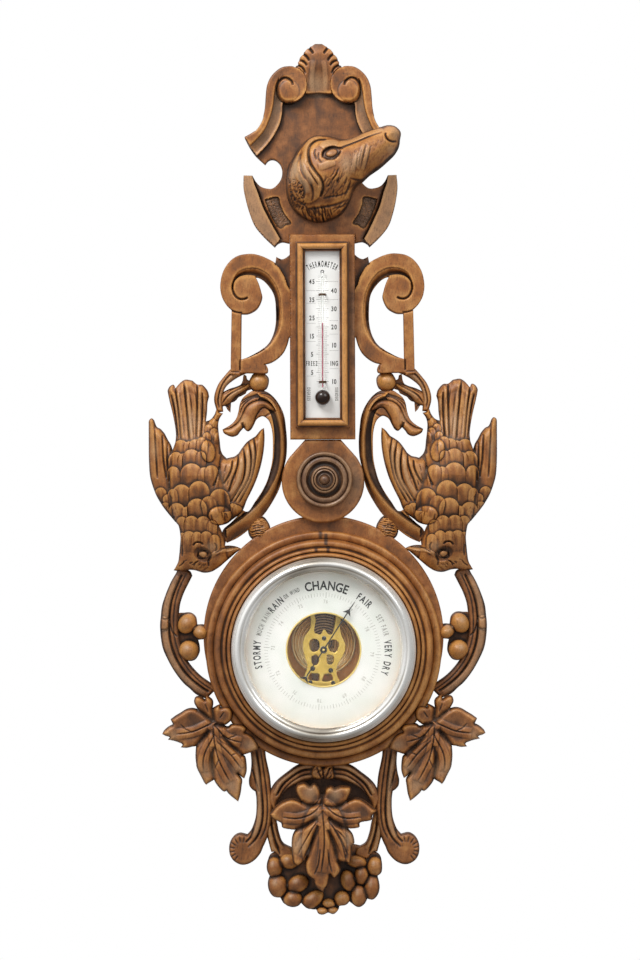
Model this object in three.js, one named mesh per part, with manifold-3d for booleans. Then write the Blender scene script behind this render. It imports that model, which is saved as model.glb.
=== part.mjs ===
// Aneroid barometer with a thermometer, in a carved walnut wall frame.
// Millimetres, +Z up. The back lies on the wall plane y = 0 and the front faces -Y.
// The origin is on the back of the crest board, just above the hanging plate.
import * as THREE from 'three';
import { mergeVertices } from 'three/addons/utils/BufferGeometryUtils.js';
import Module from 'manifold-3d';

const wasm = await Module();
wasm.setup();

// Sizes of the frame
const hangDrop = 433;
const boardDepth = 16;
const glueGap = 0.3;
const overrun = 2;
const carvedEdge = 2;
const ringMouldWidth = 13.7;
const ringBoardMargin = 7;
const ringBoardDepth = 22;
const ringBoardRound = 5;
const lobeMargin = 0.8;
const lobeRise = 10.4;
const roundelRadius = 33;
const roundelDepth = 22;
const roundelLap = 5.3;
const neckWidth = 28.6;
const bossRadius = 23;
const bossHeight = 12;
const bossRise = 1.9;
const bossAside = 1.2;
const boxWidth = 52;
const boxHeight = 163.6;
const boxDepth = 24;
const boxRise = 1.1;

// Side of the square in which each carving is drawn
const crestSpan = 168;
const pScrollSpan = 104;
const cScrollSpan = 144;
const birdSpan = 160;
const vineSpan = 112;
const leafSpan = 89.6;
const baseSpan = 156.8;

// How far each carving stands out
const crestRimHeight = 7;
const wingBandHeight = 3;
const shellHeight = 9;
const voluteEyeRadius = 9.8;
const voluteEyeHeight = 9;
const shellReach = 37;
const muzzleHeight = 30;
const skullHeight = 40;
const skullWidth = 32;
const muzzleWidth = 16;
const earWidth = 8.4;
const earHeight = 4.8;
const pScrollDepth = 18;
const pEyeRadius = 8.8;
const pEyeTop = 5.2;
const cScrollDepth = 14;
const cScrollRidge = 5;
const beadRadius = 7.2;
const budRadius = 8.4;
const twigDepth = 12;
const birdBack = 6;
const bodyHeight = 30;
const wingHeight = 12;
const vineDepth = 14;
const nutRadius = 6.6;
const nutWebWidth = 12.5;
const nutWebHeight = 13.2;
const leafBack = 14;
const leafHeight = 15;
const leafFold = 9.9;
const baseDepth = 16;
const footCurlRadius = 10.7;
const footCurlTop = 7.5;
const tongueWidth = 47;
const baseLeafHeight = 17;
const baseLeafFold = 14.1;
const grapeBack = 2;
const clusterDepth = 11;

// Sizes of the barometer
const drumRadius = 64.2;
const drumWall = 1.2;
const drumBack = 3;
const drumFront = 37;
const flangeWidth = 5.8;
const flangeThickness = 1.2;
const ledgeWidth = 2.5;
const ledgeThickness = 1;
const boreGap = 0.3;
const bezelLip = 3.4;
const bezelHeight = 11;
const sightMargin = 2.2;
const glassSeat = 2.6;
const glassThickness = 2;
const glassDepth = 42.6;
const retainerWidth = 2;
const retainerThickness = 1.6;
const dialThickness = 1.2;
const dialDepth = 35.2;
const dialEyeRadius = 29.6;
const trimWidth = 1.2;
const trimThickness = 0.6;
const handDepth = 39.2;
const handThickness = 0.8;
const handReach = 47.3;
const handTail = 29.8;
const handAngle = 33;
const hubRadius = 2.9;
const arborRadius = 0.9;
const arborBack = 24.5;
const chainDrumRadius = 1.6;
const chainDrumHeight = 1.2;

// Sizes of the movement
const basePlateMargin = 5;
const basePlateThickness = 2;
const footHeight = 1.8;
const footRadius = 4;
const capsuleRadius = 25.9;
const capsuleHeight = 8;
const capsuleRise = 4.5;
const capsuleStud = 3;
const postRadius = 2.2;
const springWidth = 16;
const springThickness = 1;
const springReach = 46;
const springTop = 23.4;
const springTip = 1;
const bridgeSpan = 64;
const bridgeDepth = 27.5;
const bridgeThickness = 1.4;
const pillarRadius = 2.4;
const armWidth = 5;
const armThickness = 1;
const armSide = 7;
const rockerDrop = 29;
const rockerDepth = 13;
const rockerRadius = 1.2;
const rockerSpan = 28;
const rockerArm = 11.4;
const crankLength = 3.5;
const bracketThickness = 2.4;
const bracketWidth = 6;
const linkRadius = 0.6;
const chainWidth = 0.8;
const chainPitch = 4;
const hairInner = 2.2;
const hairPitch = 1.1;
const hairTurns = 2.5;
const hairThickness = 0.3;
const hairHeight = 0.6;
const regulatorRise = 38;
const regulatorRadius = 2;
const regulatorHead = 4;
const regulatorHeadHeight = 1.6;
const slotWidth = 1;

// Sizes of the thermometer
const windowWidth = 27.2;
const windowHeight = 132.7;
const windowRise = 1.7;
const mouldingWidth = 8;
const mouldingHeight = 9;
const mouldingLip = 1.7;
const plateThickness = 1.5;
const plateGap = 0.3;
const tubeRadius = 1.6;
const boreRadius = 0.8;
const columnRadius = 0.5;
const bulbRadius = 6.4;
const tubeTopDrop = 17;
const bulbRise = 16.1;
const columnLength = 52;
const clipWire = 0.8;
const clipWidth = 1;
const clipDrop = 34.5;
const clipRise = 12.4;

// Sizes of the hanging plate
const hangerDrop = 26;
const hangerWidth = 26;
const hangerHeight = 40;
const hangerThickness = 2;
const hangerHole = 5;
const pocketDepth = 7;
const pocketLedge = 4;

// Facets
const roundFacets = 28;
const smallFacets = 18;
const tinyFacets = 10;

// Materials
const finish = (color, roughness, metalness = 0) =>
  new THREE.MeshStandardMaterial({ color, roughness, metalness });
const walnut = finish(0x966237, 0.5);
const darkWalnut = finish(0x6a482f, 0.5);
const brass = finish(0xd2b24e, 0.35, 1);
const nickel = finish(0xb9b5a8, 0.2, 1);
const steel = finish(0x33363c, 0.4, 1);
const alloy = finish(0x9a8250, 0.35, 1);
const card = finish(0xf4f4ec, 0.6);
const opal = finish(0xf2f2ee, 0.25);
const clear = finish(0xe8eef0, 0.05);
const spirit = finish(0xb03048, 0.3);
const bulbGlass = finish(0x241c18, 0.15);

// Solids: every helper gives a manifold, and mesh() turns it into a named part
const solidOf = (geometry) => {
  const bare = geometry.clone();
  bare.deleteAttribute('normal');
  bare.deleteAttribute('uv');
  const merged = mergeVertices(bare, 1e-4);
  const index = Uint32Array.from(merged.index.array);
  const solid = new wasm.Manifold(new wasm.Mesh({
    numProp: 3,
    vertProperties: Float32Array.from(merged.attributes.position.array),
    triVerts: index,
  }));
  if (solid.volume() > 0) return solid;
  for (let i = 0; i < index.length; i += 3) [index[i], index[i + 1]] = [index[i + 1], index[i]];
  return new wasm.Manifold(new wasm.Mesh({
    numProp: 3,
    vertProperties: Float32Array.from(merged.attributes.position.array),
    triVerts: index,
  }));
};

const geometryOf = (solid) => {
  const { vertProperties, triVerts } = solid.getMesh();
  const geometry = new THREE.BufferGeometry();
  geometry.setAttribute('position', new THREE.BufferAttribute(Float32Array.from(vertProperties), 3));
  geometry.setIndex(new THREE.BufferAttribute(Uint32Array.from(triVerts), 1));
  return geometry;
};

const join = (...solids) => solids.reduce((all, next) => all.add(next));
const less = (solid, ...tools) => tools.reduce((rest, tool) => rest.subtract(tool), solid);

const barometer = new THREE.Group();
const add = (name, solid, material) => {
  const mesh = new THREE.Mesh(geometryOf(solid), material);
  mesh.name = name;
  barometer.add(mesh);
};

// The same carving for the other side
const mirrored = (solid) => {
  const geometry = geometryOf(solid);
  geometry.scale(-1, 1, 1);
  return solidOf(geometry);
};
const addPair = (name, solid, material) => {
  add(`${name}_left`, solid, material);
  add(`${name}_right`, mirrored(solid), material);
};

// A drawing square: turns shares of its side into places on the frame
const drawing = (span, axisShare, seatShare, seatZ) => ([across, down]) =>
  new THREE.Vector2((across - axisShare) * span, seatZ - (down - seatShare) * span);

// A smooth line through hand-chosen shares; each run ends in a corner
const smooth = (runs, place, steps = 1) => {
  const line = [];
  let last = runs[runs.length - 1].at(-1);
  for (const run of runs) {
    const knots = [last, ...run].map(place);
    const count = knots.length > 2 ? Math.round((knots.length - 1) * steps) : 1;
    const points = knots.length > 2 ? new THREE.SplineCurve(knots).getPoints(count) : knots;
    line.push(...points.slice(1));
    last = run.at(-1);
  }
  return line;
};
const rail = (table, place, count) => new THREE.SplineCurve(table.map(place)).getSpacedPoints(count);

// Mirror a half outline about the frame's axis
const bothSides = (half) => [
  ...half,
  ...half.toReversed().map(({ x, y }) => new THREE.Vector2(-x, y)),
];

const offsetContour = (contour, inset) => contour.map((point, i) => {
  if (inset === 0) return point;
  const before = contour[(i + contour.length - 1) % contour.length];
  const after = contour[(i + 1) % contour.length];
  const first = point.clone().sub(before).normalize();
  const second = after.clone().sub(point).normalize();
  const inward = new THREE.Vector2(-first.y - second.y, first.x + second.x);
  const reach = Math.max(1 + first.dot(second), 0.6);
  return point.clone().addScaledVector(inward, inset / reach);
});

// An outline grown by the glue gap, to cut a neighbour with
const grown = (outline) =>
  offsetContour(THREE.ShapeUtils.isClockWise(outline) ? outline.toReversed() : outline, -glueGap);

const meshOf = (vertices, faces) => {
  const geometry = new THREE.BufferGeometry();
  geometry.setAttribute('position', new THREE.Float32BufferAttribute(vertices, 3));
  geometry.setIndex(faces);
  return geometry;
};

// A board sawn to an outline; layers give [depth, inset] from the back to the front
const board = (outline, layers, holes = []) => {
  const contours = [outline, ...holes].map((line, i) =>
    (THREE.ShapeUtils.isClockWise(line) === (i > 0) ? line : line.toReversed()));
  const vertices = [];
  const faces = [];
  const starts = [];
  for (const [depth, inset] of layers) {
    for (const contour of contours) {
      starts.push(vertices.length / 3);
      for (const point of offsetContour(contour, inset)) vertices.push(point.x, -depth, point.y);
    }
  }
  for (let layer = 0; layer + 1 < layers.length; layer += 1) {
    contours.forEach((contour, c) => {
      const low = starts[layer * contours.length + c];
      const high = starts[(layer + 1) * contours.length + c];
      contour.forEach((_, i) => {
        const j = (i + 1) % contour.length;
        faces.push(low + i, low + j, high + j, low + i, high + j, high + i);
      });
    });
  }
  const cap = THREE.ShapeUtils.triangulateShape(contours[0], contours.slice(1));
  const top = starts[(layers.length - 1) * contours.length];
  for (const [a, b, c] of cap) {
    faces.push(a, c, b);
    faces.push(top + a, top + b, top + c);
  }
  return solidOf(meshOf(vertices, faces));
};
const plainBoard = (outline, back, front, holes) => board(outline, [[back, 0], [front, 0]], holes);
const easedBoard = (outline, back, front, holes) =>
  board(outline, [[back, 0], [front - carvedEdge, 0], [front, carvedEdge / 2]], holes);

// A relief carved over an outline that its centre sees all of; rise gives the height of a point
const relief = (outline, centre, back, rise, rings) => {
  const contour = THREE.ShapeUtils.isClockWise(outline) ? outline.toReversed() : outline;
  const count = contour.length;
  const vertices = [];
  const faces = [];
  for (const { x, y } of contour) vertices.push(x, -back, y);
  for (let ring = 0; ring < rings; ring += 1) {
    const share = 1 - ring / rings;
    for (const point of contour) {
      const { x, y } = centre.clone().lerp(point, share);
      vertices.push(x, -back - rise(x, y, share), y);
    }
  }
  const backHub = vertices.length / 3;
  vertices.push(centre.x, -back, centre.y, centre.x, -back - rise(centre.x, centre.y, 0), centre.y);
  for (let i = 0; i < count; i += 1) {
    const j = (i + 1) % count;
    faces.push(backHub, j, i);
    for (let ring = 0; ring < rings; ring += 1) {
      const low = ring * count;
      const high = low + count;
      faces.push(low + i, low + j, high + j, low + i, high + j, high + i);
    }
    faces.push(backHub + 1, rings * count + i, rings * count + j);
  }
  return solidOf(meshOf(vertices, faces));
};

// A carved band between two edges; section gives [share across, share of the height]
const band = (left, right, back, heights, section) => {
  const vertices = [];
  const faces = [];
  const size = section.length + 2;
  left.forEach((point, i) => {
    vertices.push(point.x, -back, point.y);
    for (const [across, up] of section) {
      const { x, y } = point.clone().lerp(right[i], across);
      vertices.push(x, -back - heights(i / (left.length - 1)) * up, y);
    }
    vertices.push(right[i].x, -back, right[i].y);
  });
  for (let i = 0; i + 1 < left.length; i += 1) {
    for (let k = 0; k < size; k += 1) {
      const low = i * size + k;
      const side = i * size + (k + 1) % size;
      faces.push(low, side, side + size, low, side + size, low + size);
    }
  }
  const end = (left.length - 1) * size;
  for (let k = 1; k + 1 < size; k += 1) {
    faces.push(0, k + 1, k);
    faces.push(end, end + k, end + k + 1);
  }
  return solidOf(meshOf(vertices, faces));
};
const roundSection = [[0, 0.45], [0.25, 1], [0.75, 1], [1, 0.45]];
const ridgeSection = [[0, 0.3], [0.5, 1], [1, 0.3]];
const flatSection = [[0, 1], [1, 1]];
const level = (height) => () => height;

// Turned work about an axis square to the wall, through (x, z); profile gives [radius, depth]
const turned = (profile, x, z, facets = roundFacets) => {
  const points = profile.map(([radius, depth]) => new THREE.Vector2(radius, -depth));
  return solidOf(new THREE.LatheGeometry(points, facets).translate(x, 0, z));
};
const disc = (radius, back, front, x, z, facets = smallFacets) =>
  turned([[0, back], [radius, back], [radius, front], [0, front]], x, z, facets);
const ringProfile = (inner, outer, back, front) =>
  [[inner, back], [outer, back], [outer, front], [inner, front], [inner, back]];
const circle = (radius, x, z, facets = smallFacets) =>
  Array.from({ length: facets }, (_, i) => {
    const angle = (i / facets) * Math.PI * 2;
    return new THREE.Vector2(x + radius * Math.cos(angle), z + radius * Math.sin(angle));
  });
const block = (width, depthFrom, depthTo, low, high, x = 0) =>
  solidOf(new THREE.BoxGeometry(width, depthTo - depthFrom, high - low)
    .translate(x, -(depthFrom + depthTo) / 2, (low + high) / 2));
const pod = (radiusX, radiusY, radiusZ, x, depth, z, facets = 8) =>
  solidOf(new THREE.SphereGeometry(1, facets, 5).rotateX(Math.PI / 2).scale(radiusX, radiusY, radiusZ)
    .translate(x, -depth, z));

// Radii that follow from the drum outward and inward
const drumInner = drumRadius - drumWall;
const flangeRadius = drumRadius + flangeWidth;
const bezelRadius = flangeRadius + bezelLip;
const sightRadius = drumRadius - sightMargin;
const glassRadius = sightRadius + glassSeat;
const basePlateRadius = drumInner - basePlateMargin;
const caseRingRadius = bezelRadius + glueGap + ringMouldWidth;
const ringBoardRadius = caseRingRadius + ringBoardMargin;
const lobeRadius = ringBoardRadius + lobeMargin;

// Places that everything is set out from
const dialZ = -hangDrop;
const lobeZ = dialZ + lobeRise;
const roundelZ = lobeZ + lobeRadius + roundelRadius - roundelLap;
const boxBottom = roundelZ + roundelRadius + boxRise;
const boxTop = boxBottom + boxHeight;
const windowZ = (boxBottom + boxTop) / 2 + windowRise;
const boardSide = boxWidth / 2;

const ringTool = join(
  disc(ringBoardRadius + glueGap, -overrun, ringBoardDepth + glueGap, 0, dialZ, roundFacets),
  disc(lobeRadius + glueGap, -overrun, boardDepth + glueGap, 0, lobeZ, roundFacets),
);
const caseTool = disc(caseRingRadius + glueGap, ringBoardDepth, ringBoardDepth * 3, 0, dialZ, roundFacets);
const roundelTool = disc(roundelRadius + glueGap, -overrun, roundelDepth + overrun, 0, roundelZ, roundFacets);
const boxTool = block(boxWidth + glueGap * 2, -overrun, boxDepth + overrun, boxBottom - glueGap, boxTop + glueGap);

// Crest board: two volutes, a shell between them, rims and lower wings
const crest = drawing(crestSpan, 0.4835, 0.925, boxTop);
const crestHalfShares = [
  [[0.467, 0.02], [0.433, 0.037], [0.403, 0.07], [0.38, 0.11], [0.367, 0.127]],
  [[0.333, 0.125], [0.3, 0.13], [0.267, 0.15], [0.24, 0.18], [0.223, 0.22], [0.217, 0.267], [0.213, 0.32],
    [0.197, 0.39], [0.16, 0.432], [0.11, 0.461]],
  [[0.212, 0.587]],
  [[0.227, 0.57], [0.247, 0.563], [0.27, 0.57], [0.29, 0.593], [0.297, 0.627], [0.29, 0.66], [0.27, 0.687],
    [0.247, 0.703], [0.22, 0.703], [0.19, 0.693], [0.167, 0.67], [0.15, 0.641]],
  [[0.107, 0.64]],
  [[0.107, 0.7], [0.119, 0.76], [0.137, 0.82], [0.163, 0.88], [0.207, 0.933], [0.257, 0.981]],
  [[0.27, 0.967], [0.293, 0.957], [0.32, 0.963]],
];
const rimOuterShares = [[0.25, 0.165], [0.223, 0.22], [0.217, 0.267], [0.213, 0.32], [0.197, 0.39],
  [0.16, 0.432], [0.113, 0.463]];
const rimInnerShares = [[0.285, 0.185], [0.268, 0.23], [0.26, 0.28], [0.252, 0.33], [0.235, 0.38],
  [0.2, 0.44], [0.14, 0.502]];
const wingOuterShares = [[0.108, 0.642], [0.107, 0.7], [0.119, 0.76], [0.137, 0.82], [0.163, 0.88],
  [0.207, 0.933], [0.256, 0.979]];
const wingInnerShares = [[0.149, 0.643], [0.162, 0.685], [0.175, 0.72], [0.205, 0.8], [0.225, 0.84],
  [0.245, 0.88], [0.285, 0.948]];
const shellHalfShares = [
  [[0.467, 0.021], [0.433, 0.038], [0.403, 0.071], [0.382, 0.111]],
  [[0.39, 0.14], [0.415, 0.17], [0.425, 0.21], [0.42, 0.24], [0.44, 0.262], [0.475, 0.268]],
];
const voluteEyeShare = [0.331, 0.235];
const shellCentreShare = [0.4835, 0.235];

const crestHalf = smooth([...crestHalfShares, [[0.4835, 0.963]], [[0.4835, 0.018]]], crest);
const crestOutline = bothSides(crestHalf.slice(0, -2));
const halfRim = band(rail(rimOuterShares, crest, 9), rail(rimInnerShares, crest, 9),
  boardDepth - overrun, level(crestRimHeight + overrun), roundSection);
const halfWing = band(rail(wingOuterShares, crest, 8), rail(wingInnerShares, crest, 8),
  boardDepth - overrun, level(wingBandHeight + overrun), flatSection);
const eyePlace = crest(voluteEyeShare);
const voluteEye = turned([[0, boardDepth - overrun], [voluteEyeRadius, boardDepth - overrun],
  [voluteEyeRadius, boardDepth + voluteEyeHeight / 2], [voluteEyeRadius * 0.75, boardDepth + voluteEyeHeight],
  [0, boardDepth + voluteEyeHeight]], eyePlace.x, eyePlace.y, tinyFacets);
const shellCentre = crest(shellCentreShare);
const shellRise = (x, z, share) => {
  const reach = Math.hypot(x - shellCentre.x, z - shellCentre.y) / shellReach;
  return overrun + shellHeight * (0.55 + 0.45 * Math.sin(Math.min(reach, 1) * Math.PI)) * (1 - share ** 6 * 0.5);
};
const shell = relief(bothSides(smooth([[[0.467, 0.021]], ...shellHalfShares], crest).slice(1)),
  shellCentre, boardDepth - overrun, shellRise, 3);

const hangerZ = -hangerDrop;
const plateHalf = hangerHeight / 2;
const pocket = join(
  block(hangerWidth + glueGap * 2, -overrun, hangerThickness, hangerZ - plateHalf - glueGap,
    hangerZ + plateHalf + glueGap),
  block(hangerWidth - pocketLedge * 2, -overrun, pocketDepth, hangerZ - plateHalf + pocketLedge * 2,
    hangerZ + plateHalf - pocketLedge * 2),
);
const crestBoard = less(
  join(plainBoard(crestOutline, 0, boardDepth), halfRim, mirrored(halfRim), halfWing, mirrored(halfWing),
    voluteEye, mirrored(voluteEye), shell),
  boxTool, pocket,
);
add('hanger_plate', less(
  block(hangerWidth, 0, hangerThickness, hangerZ - plateHalf, hangerZ + plateHalf),
  disc(hangerHole, -overrun, hangerThickness + overrun, 0, hangerZ),
), brass);

// Hound's head, applied to the crest board
const headShares = [[0.315, 0.62], [0.31, 0.68], [0.315, 0.74], [0.335, 0.79], [0.37, 0.83], [0.41, 0.855],
  [0.45, 0.868], [0.49, 0.866], [0.53, 0.855], [0.57, 0.835], [0.6, 0.8], [0.62, 0.76], [0.635, 0.72],
  [0.655, 0.69], [0.675, 0.672], [0.71, 0.645], [0.76, 0.61], [0.8, 0.575], [0.83, 0.545], [0.85, 0.51],
  [0.855, 0.475], [0.86, 0.445], [0.85, 0.425], [0.83, 0.41], [0.8, 0.405], [0.765, 0.413], [0.72, 0.425],
  [0.68, 0.44], [0.64, 0.46], [0.6, 0.472], [0.56, 0.468], [0.52, 0.457], [0.48, 0.453], [0.44, 0.457],
  [0.41, 0.475], [0.375, 0.51], [0.345, 0.56], [0.325, 0.59]];
const headCentreShare = [0.52, 0.62];
const skullShare = [0.5, 0.6];
const noseShare = [0.8, 0.48];
const earShare = [0.42, 0.62];
const headCentre = crest(headCentreShare);
const skullPlace = crest(skullShare);
const nosePlace = crest(noseShare);
const earPlace = crest(earShare);
const headRise = (x, z, share) => {
  const along = nosePlace.clone().sub(skullPlace);
  const reach = along.length();
  const offset = new THREE.Vector2(x, z).sub(skullPlace);
  const forward = THREE.MathUtils.clamp(offset.dot(along) / reach ** 2, 0, 1);
  const side = offset.clone().addScaledVector(along, -forward).length();
  const width = THREE.MathUtils.lerp(skullWidth, muzzleWidth, forward);
  const top = THREE.MathUtils.lerp(skullHeight, muzzleHeight, forward);
  const dome = Math.sqrt(Math.max(1 - (side / (width * 1.25)) ** 2, 0.06));
  const ear = Math.exp(-(((x - earPlace.x) / earWidth) ** 2)) * earHeight;
  return (top * dome + ear) * Math.sqrt(Math.max(1 - share ** 8, 0)) * 0.8 + top * 0.14;
};
const headOutline = smooth([headShares], crest);
const headTool = plainBoard(grown(headOutline), boardDepth, boardDepth + crestRimHeight * 2);
add('crest_board', less(crestBoard, headTool), walnut);
add('dog_head', relief(headOutline, headCentre, boardDepth, headRise, 5), walnut);

// Box board behind the thermometer, and its mitred moulding
const plateFace = boxDepth + plateThickness;
const bulbDepth = plateFace + bulbRadius * 0.55;
const tubeTop = windowZ + windowHeight / 2 - tubeTopDrop;
const bulbZ = windowZ - windowHeight / 2 + bulbRise;
const bulbTool = pod(bulbRadius + plateGap, bulbRadius + plateGap, bulbRadius + plateGap, 0, bulbDepth, bulbZ);
const boxOutline = [[-boardSide, boxBottom], [boardSide, boxBottom], [boardSide, boxTop], [-boardSide, boxTop]]
  .map(([x, z]) => new THREE.Vector2(x, z));
add('thermometer_board', less(easedBoard(boxOutline, 0, boxDepth), bulbTool), walnut);

// Moulding section: share of the width out from the sight edge, and share of the height
const mouldingShares = [[0, 0.22], [0, 0.36], [0.18, 0.5], [0.32, 0.86], [0.5, 1], [0.72, 0.95], [0.84, 0.6],
  [1, 0.5]];
const mouldingRail = (length, width) => {
  const lip = mouldingLip / mouldingWidth;
  const section = [[lip, 0], [lip, mouldingShares[0][1]], ...mouldingShares, [1, 0]].toReversed();
  const vertices = [];
  const faces = [];
  for (const end of [-1, 1]) {
    for (const [out, up] of section) {
      vertices.push(end * (length / 2 + out * mouldingWidth), -boxDepth - up * mouldingHeight,
        width / 2 + out * mouldingWidth);
    }
  }
  const size = section.length;
  section.forEach((_, k) => {
    const next = (k + 1) % size;
    faces.push(k, next, next + size, k, next + size, k + size);
  });
  const flat = section.map(([out, up]) => new THREE.Vector2(out * mouldingWidth, up * mouldingHeight));
  for (const [a, b, c] of THREE.ShapeUtils.triangulateShape(flat, [])) {
    faces.push(a, c, b);
    faces.push(size + a, size + b, size + c);
  }
  return meshOf(vertices, faces);
};
const quarter = Math.PI / 2;
const topRail = mouldingRail(windowWidth, windowHeight);
const sideRail = mouldingRail(windowHeight, windowWidth);
const upright = (geometry, turn) => solidOf(geometry.clone().rotateY(turn).translate(0, 0, windowZ));
add('moulding_top', upright(topRail, 0), walnut);
add('moulding_bottom', upright(topRail, quarter * 2), walnut);
add('moulding_left', upright(sideRail, -quarter), walnut);
add('moulding_right', upright(sideRail, quarter), walnut);

// Thermometer
const plateEdge = mouldingLip - plateGap;
add('thermometer_plate', less(
  block(windowWidth + plateEdge * 2, boxDepth, plateFace, windowZ - windowHeight / 2 - plateEdge,
    windowZ + windowHeight / 2 + plateEdge),
  bulbTool,
), opal);
const rod = (radius, depth, low, high, facets = tinyFacets) =>
  solidOf(new THREE.CylinderGeometry(radius, radius, high - low, facets).rotateX(quarter)
    .translate(0, -depth, (low + high) / 2));
const bulbNeck = bulbZ + bulbRadius + plateGap;
add('thermometer_tube', less(
  rod(tubeRadius, bulbDepth, bulbNeck, tubeTop),
  rod(boreRadius, bulbDepth, bulbNeck + overrun / 2, tubeTop + overrun, 8),
), clear);
add('spirit_column', rod(columnRadius, bulbDepth, bulbNeck + overrun / 2 + plateGap,
  bulbNeck + overrun / 2 + columnLength, 8), spirit);
add('thermometer_bulb', pod(bulbRadius, bulbRadius, bulbRadius, 0, bulbDepth, bulbZ), bulbGlass);
const clipInner = tubeRadius + plateGap;
const clipOuter = clipInner + clipWire;
const wireClip = (z) => {
  const arc = (radius, from, to) => Array.from({ length: 7 }, (_, i) => {
    const angle = from + ((to - from) * i) / 6;
    return new THREE.Vector2(radius * Math.cos(angle), bulbDepth + radius * Math.sin(angle));
  });
  const shape = new THREE.Shape([
    new THREE.Vector2(clipOuter, plateFace), ...arc(clipOuter, 0, Math.PI),
    new THREE.Vector2(-clipOuter, plateFace), new THREE.Vector2(-clipInner, plateFace),
    ...arc(clipInner, Math.PI, 0), new THREE.Vector2(clipInner, plateFace),
  ]);
  const wire = new THREE.ExtrudeGeometry(shape, { depth: clipWidth, bevelEnabled: false });
  return solidOf(wire.scale(1, -1, 1).translate(0, 0, z - clipWidth / 2));
};
add('tube_clip_top', wireClip(windowZ + windowHeight / 2 - clipDrop), brass);
add('tube_clip_bottom', wireClip(bulbZ + clipRise), brass);

// P scrolls beside the box, each with its stem bar
const pScroll = drawing(pScrollSpan, 0.848, -0.0965, boxTop);
const pOuterShares = [
  [[0.6, 0.05]],
  [[0.56, 0.08], [0.53, 0.088], [0.495, 0.07]],
  [[0.49, 0.13]],
  [[0.44, 0.095], [0.38, 0.065], [0.32, 0.05], [0.27, 0.05], [0.21, 0.06], [0.155, 0.09], [0.11, 0.14],
    [0.08, 0.2], [0.065, 0.27], [0.065, 0.33], [0.08, 0.39], [0.11, 0.44], [0.15, 0.48]],
  [[0.14, 0.97]],
  [[0.21, 0.985]],
  [[0.22, 0.967], [0.3, 0.965], [0.41, 0.968], [0.428, 0.94], [0.415, 0.905], [0.395, 0.9]],
  [[0.45, 0.885], [0.5, 0.855], [0.545, 0.81], [0.575, 0.75], [0.61, 0.68]],
];
const pOpeningShares = [
  [[0.36, 0.23], [0.4, 0.255], [0.44, 0.3], [0.47, 0.35], [0.485, 0.41], [0.49, 0.48], [0.49, 0.56],
    [0.48, 0.63], [0.46, 0.69], [0.43, 0.74], [0.38, 0.785], [0.32, 0.82], [0.27, 0.845], [0.22, 0.862]],
  [[0.225, 0.51]],
  [[0.27, 0.51], [0.31, 0.495], [0.345, 0.47], [0.37, 0.43], [0.385, 0.38], [0.375, 0.33], [0.36, 0.28],
    [0.33, 0.225]],
];
const pEyeShare = [0.225, 0.31];
const pRidgeOuterShares = [[0.1, 0.22], [0.155, 0.12], [0.24, 0.085], [0.33, 0.085], [0.42, 0.12], [0.5, 0.2],
  [0.55, 0.32], [0.57, 0.5], [0.55, 0.66], [0.48, 0.8], [0.4, 0.86]];
const pRidgeInnerShares = [[0.16, 0.25], [0.195, 0.19], [0.25, 0.165], [0.32, 0.16], [0.39, 0.185],
  [0.45, 0.25], [0.5, 0.34], [0.52, 0.5], [0.5, 0.62], [0.44, 0.74], [0.36, 0.82]];
const pEye = pScroll(pEyeShare);
const pScrollBody = join(
  plainBoard(smooth(pOuterShares, pScroll), 0, pScrollDepth, [smooth(pOpeningShares, pScroll)]),
  band(rail(pRidgeOuterShares, pScroll, 10), rail(pRidgeInnerShares, pScroll, 10), pScrollDepth - overrun,
    level(overrun * 2), roundSection),
  turned([[0, pScrollDepth - overrun], [pEyeRadius, pScrollDepth - overrun],
    [pEyeRadius, pScrollDepth + overrun], [pEyeTop, pScrollDepth + overrun * 2],
    [0, pScrollDepth + overrun * 2]], pEye.x, pEye.y, tinyFacets),
);
const crestTool = plainBoard(grown(crestOutline), -overrun, boardDepth + crestRimHeight + overrun);
addPair('p_scroll', less(pScrollBody, boxTool, crestTool), walnut);

// C scrolls: a bead, a curled leaf over it, a long tail and a bud
const cScroll = drawing(cScrollSpan, 0.68, 0.6256, roundelZ);
const cBodyShares = [
  [[0.4, 0.15], [0.44, 0.2], [0.465, 0.26], [0.475, 0.33], [0.48, 0.4], [0.478, 0.47], [0.47, 0.52],
    [0.455, 0.58], [0.445, 0.64], [0.42, 0.7], [0.385, 0.76], [0.345, 0.815], [0.3, 0.86], [0.25, 0.905],
    [0.2, 0.94], [0.145, 0.965]],
  [[0.118, 0.93], [0.125, 0.89], [0.17, 0.85], [0.21, 0.81], [0.235, 0.785]],
  [[0.25, 0.792], [0.27, 0.785], [0.3, 0.74], [0.34, 0.68], [0.37, 0.62], [0.39, 0.55], [0.4, 0.49],
    [0.402, 0.42], [0.4, 0.36], [0.39, 0.31], [0.375, 0.28], [0.35, 0.262], [0.33, 0.265], [0.31, 0.28],
    [0.295, 0.31], [0.28, 0.335], [0.26, 0.345], [0.235, 0.325]],
  [[0.22, 0.345], [0.205, 0.365], [0.18, 0.375], [0.155, 0.37], [0.13, 0.355], [0.125, 0.34]],
  [[0.165, 0.31], [0.195, 0.28], [0.21, 0.24], [0.22, 0.19], [0.24, 0.155], [0.285, 0.112]],
  [[0.365, 0.112]],
];
const cRidgeOuterShares = [[0.25, 0.18], [0.3, 0.14], [0.36, 0.145], [0.41, 0.19], [0.44, 0.26], [0.455, 0.33],
  [0.46, 0.4], [0.455, 0.5], [0.44, 0.58], [0.41, 0.66], [0.36, 0.74], [0.29, 0.81], [0.2, 0.87]];
const cRidgeInnerShares = [[0.27, 0.215], [0.305, 0.185], [0.345, 0.18], [0.385, 0.215], [0.41, 0.27],
  [0.425, 0.33], [0.43, 0.4], [0.425, 0.49], [0.405, 0.57], [0.375, 0.64], [0.32, 0.72], [0.26, 0.77],
  [0.2, 0.82]];
const beadShare = [0.325, 0.072];
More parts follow.
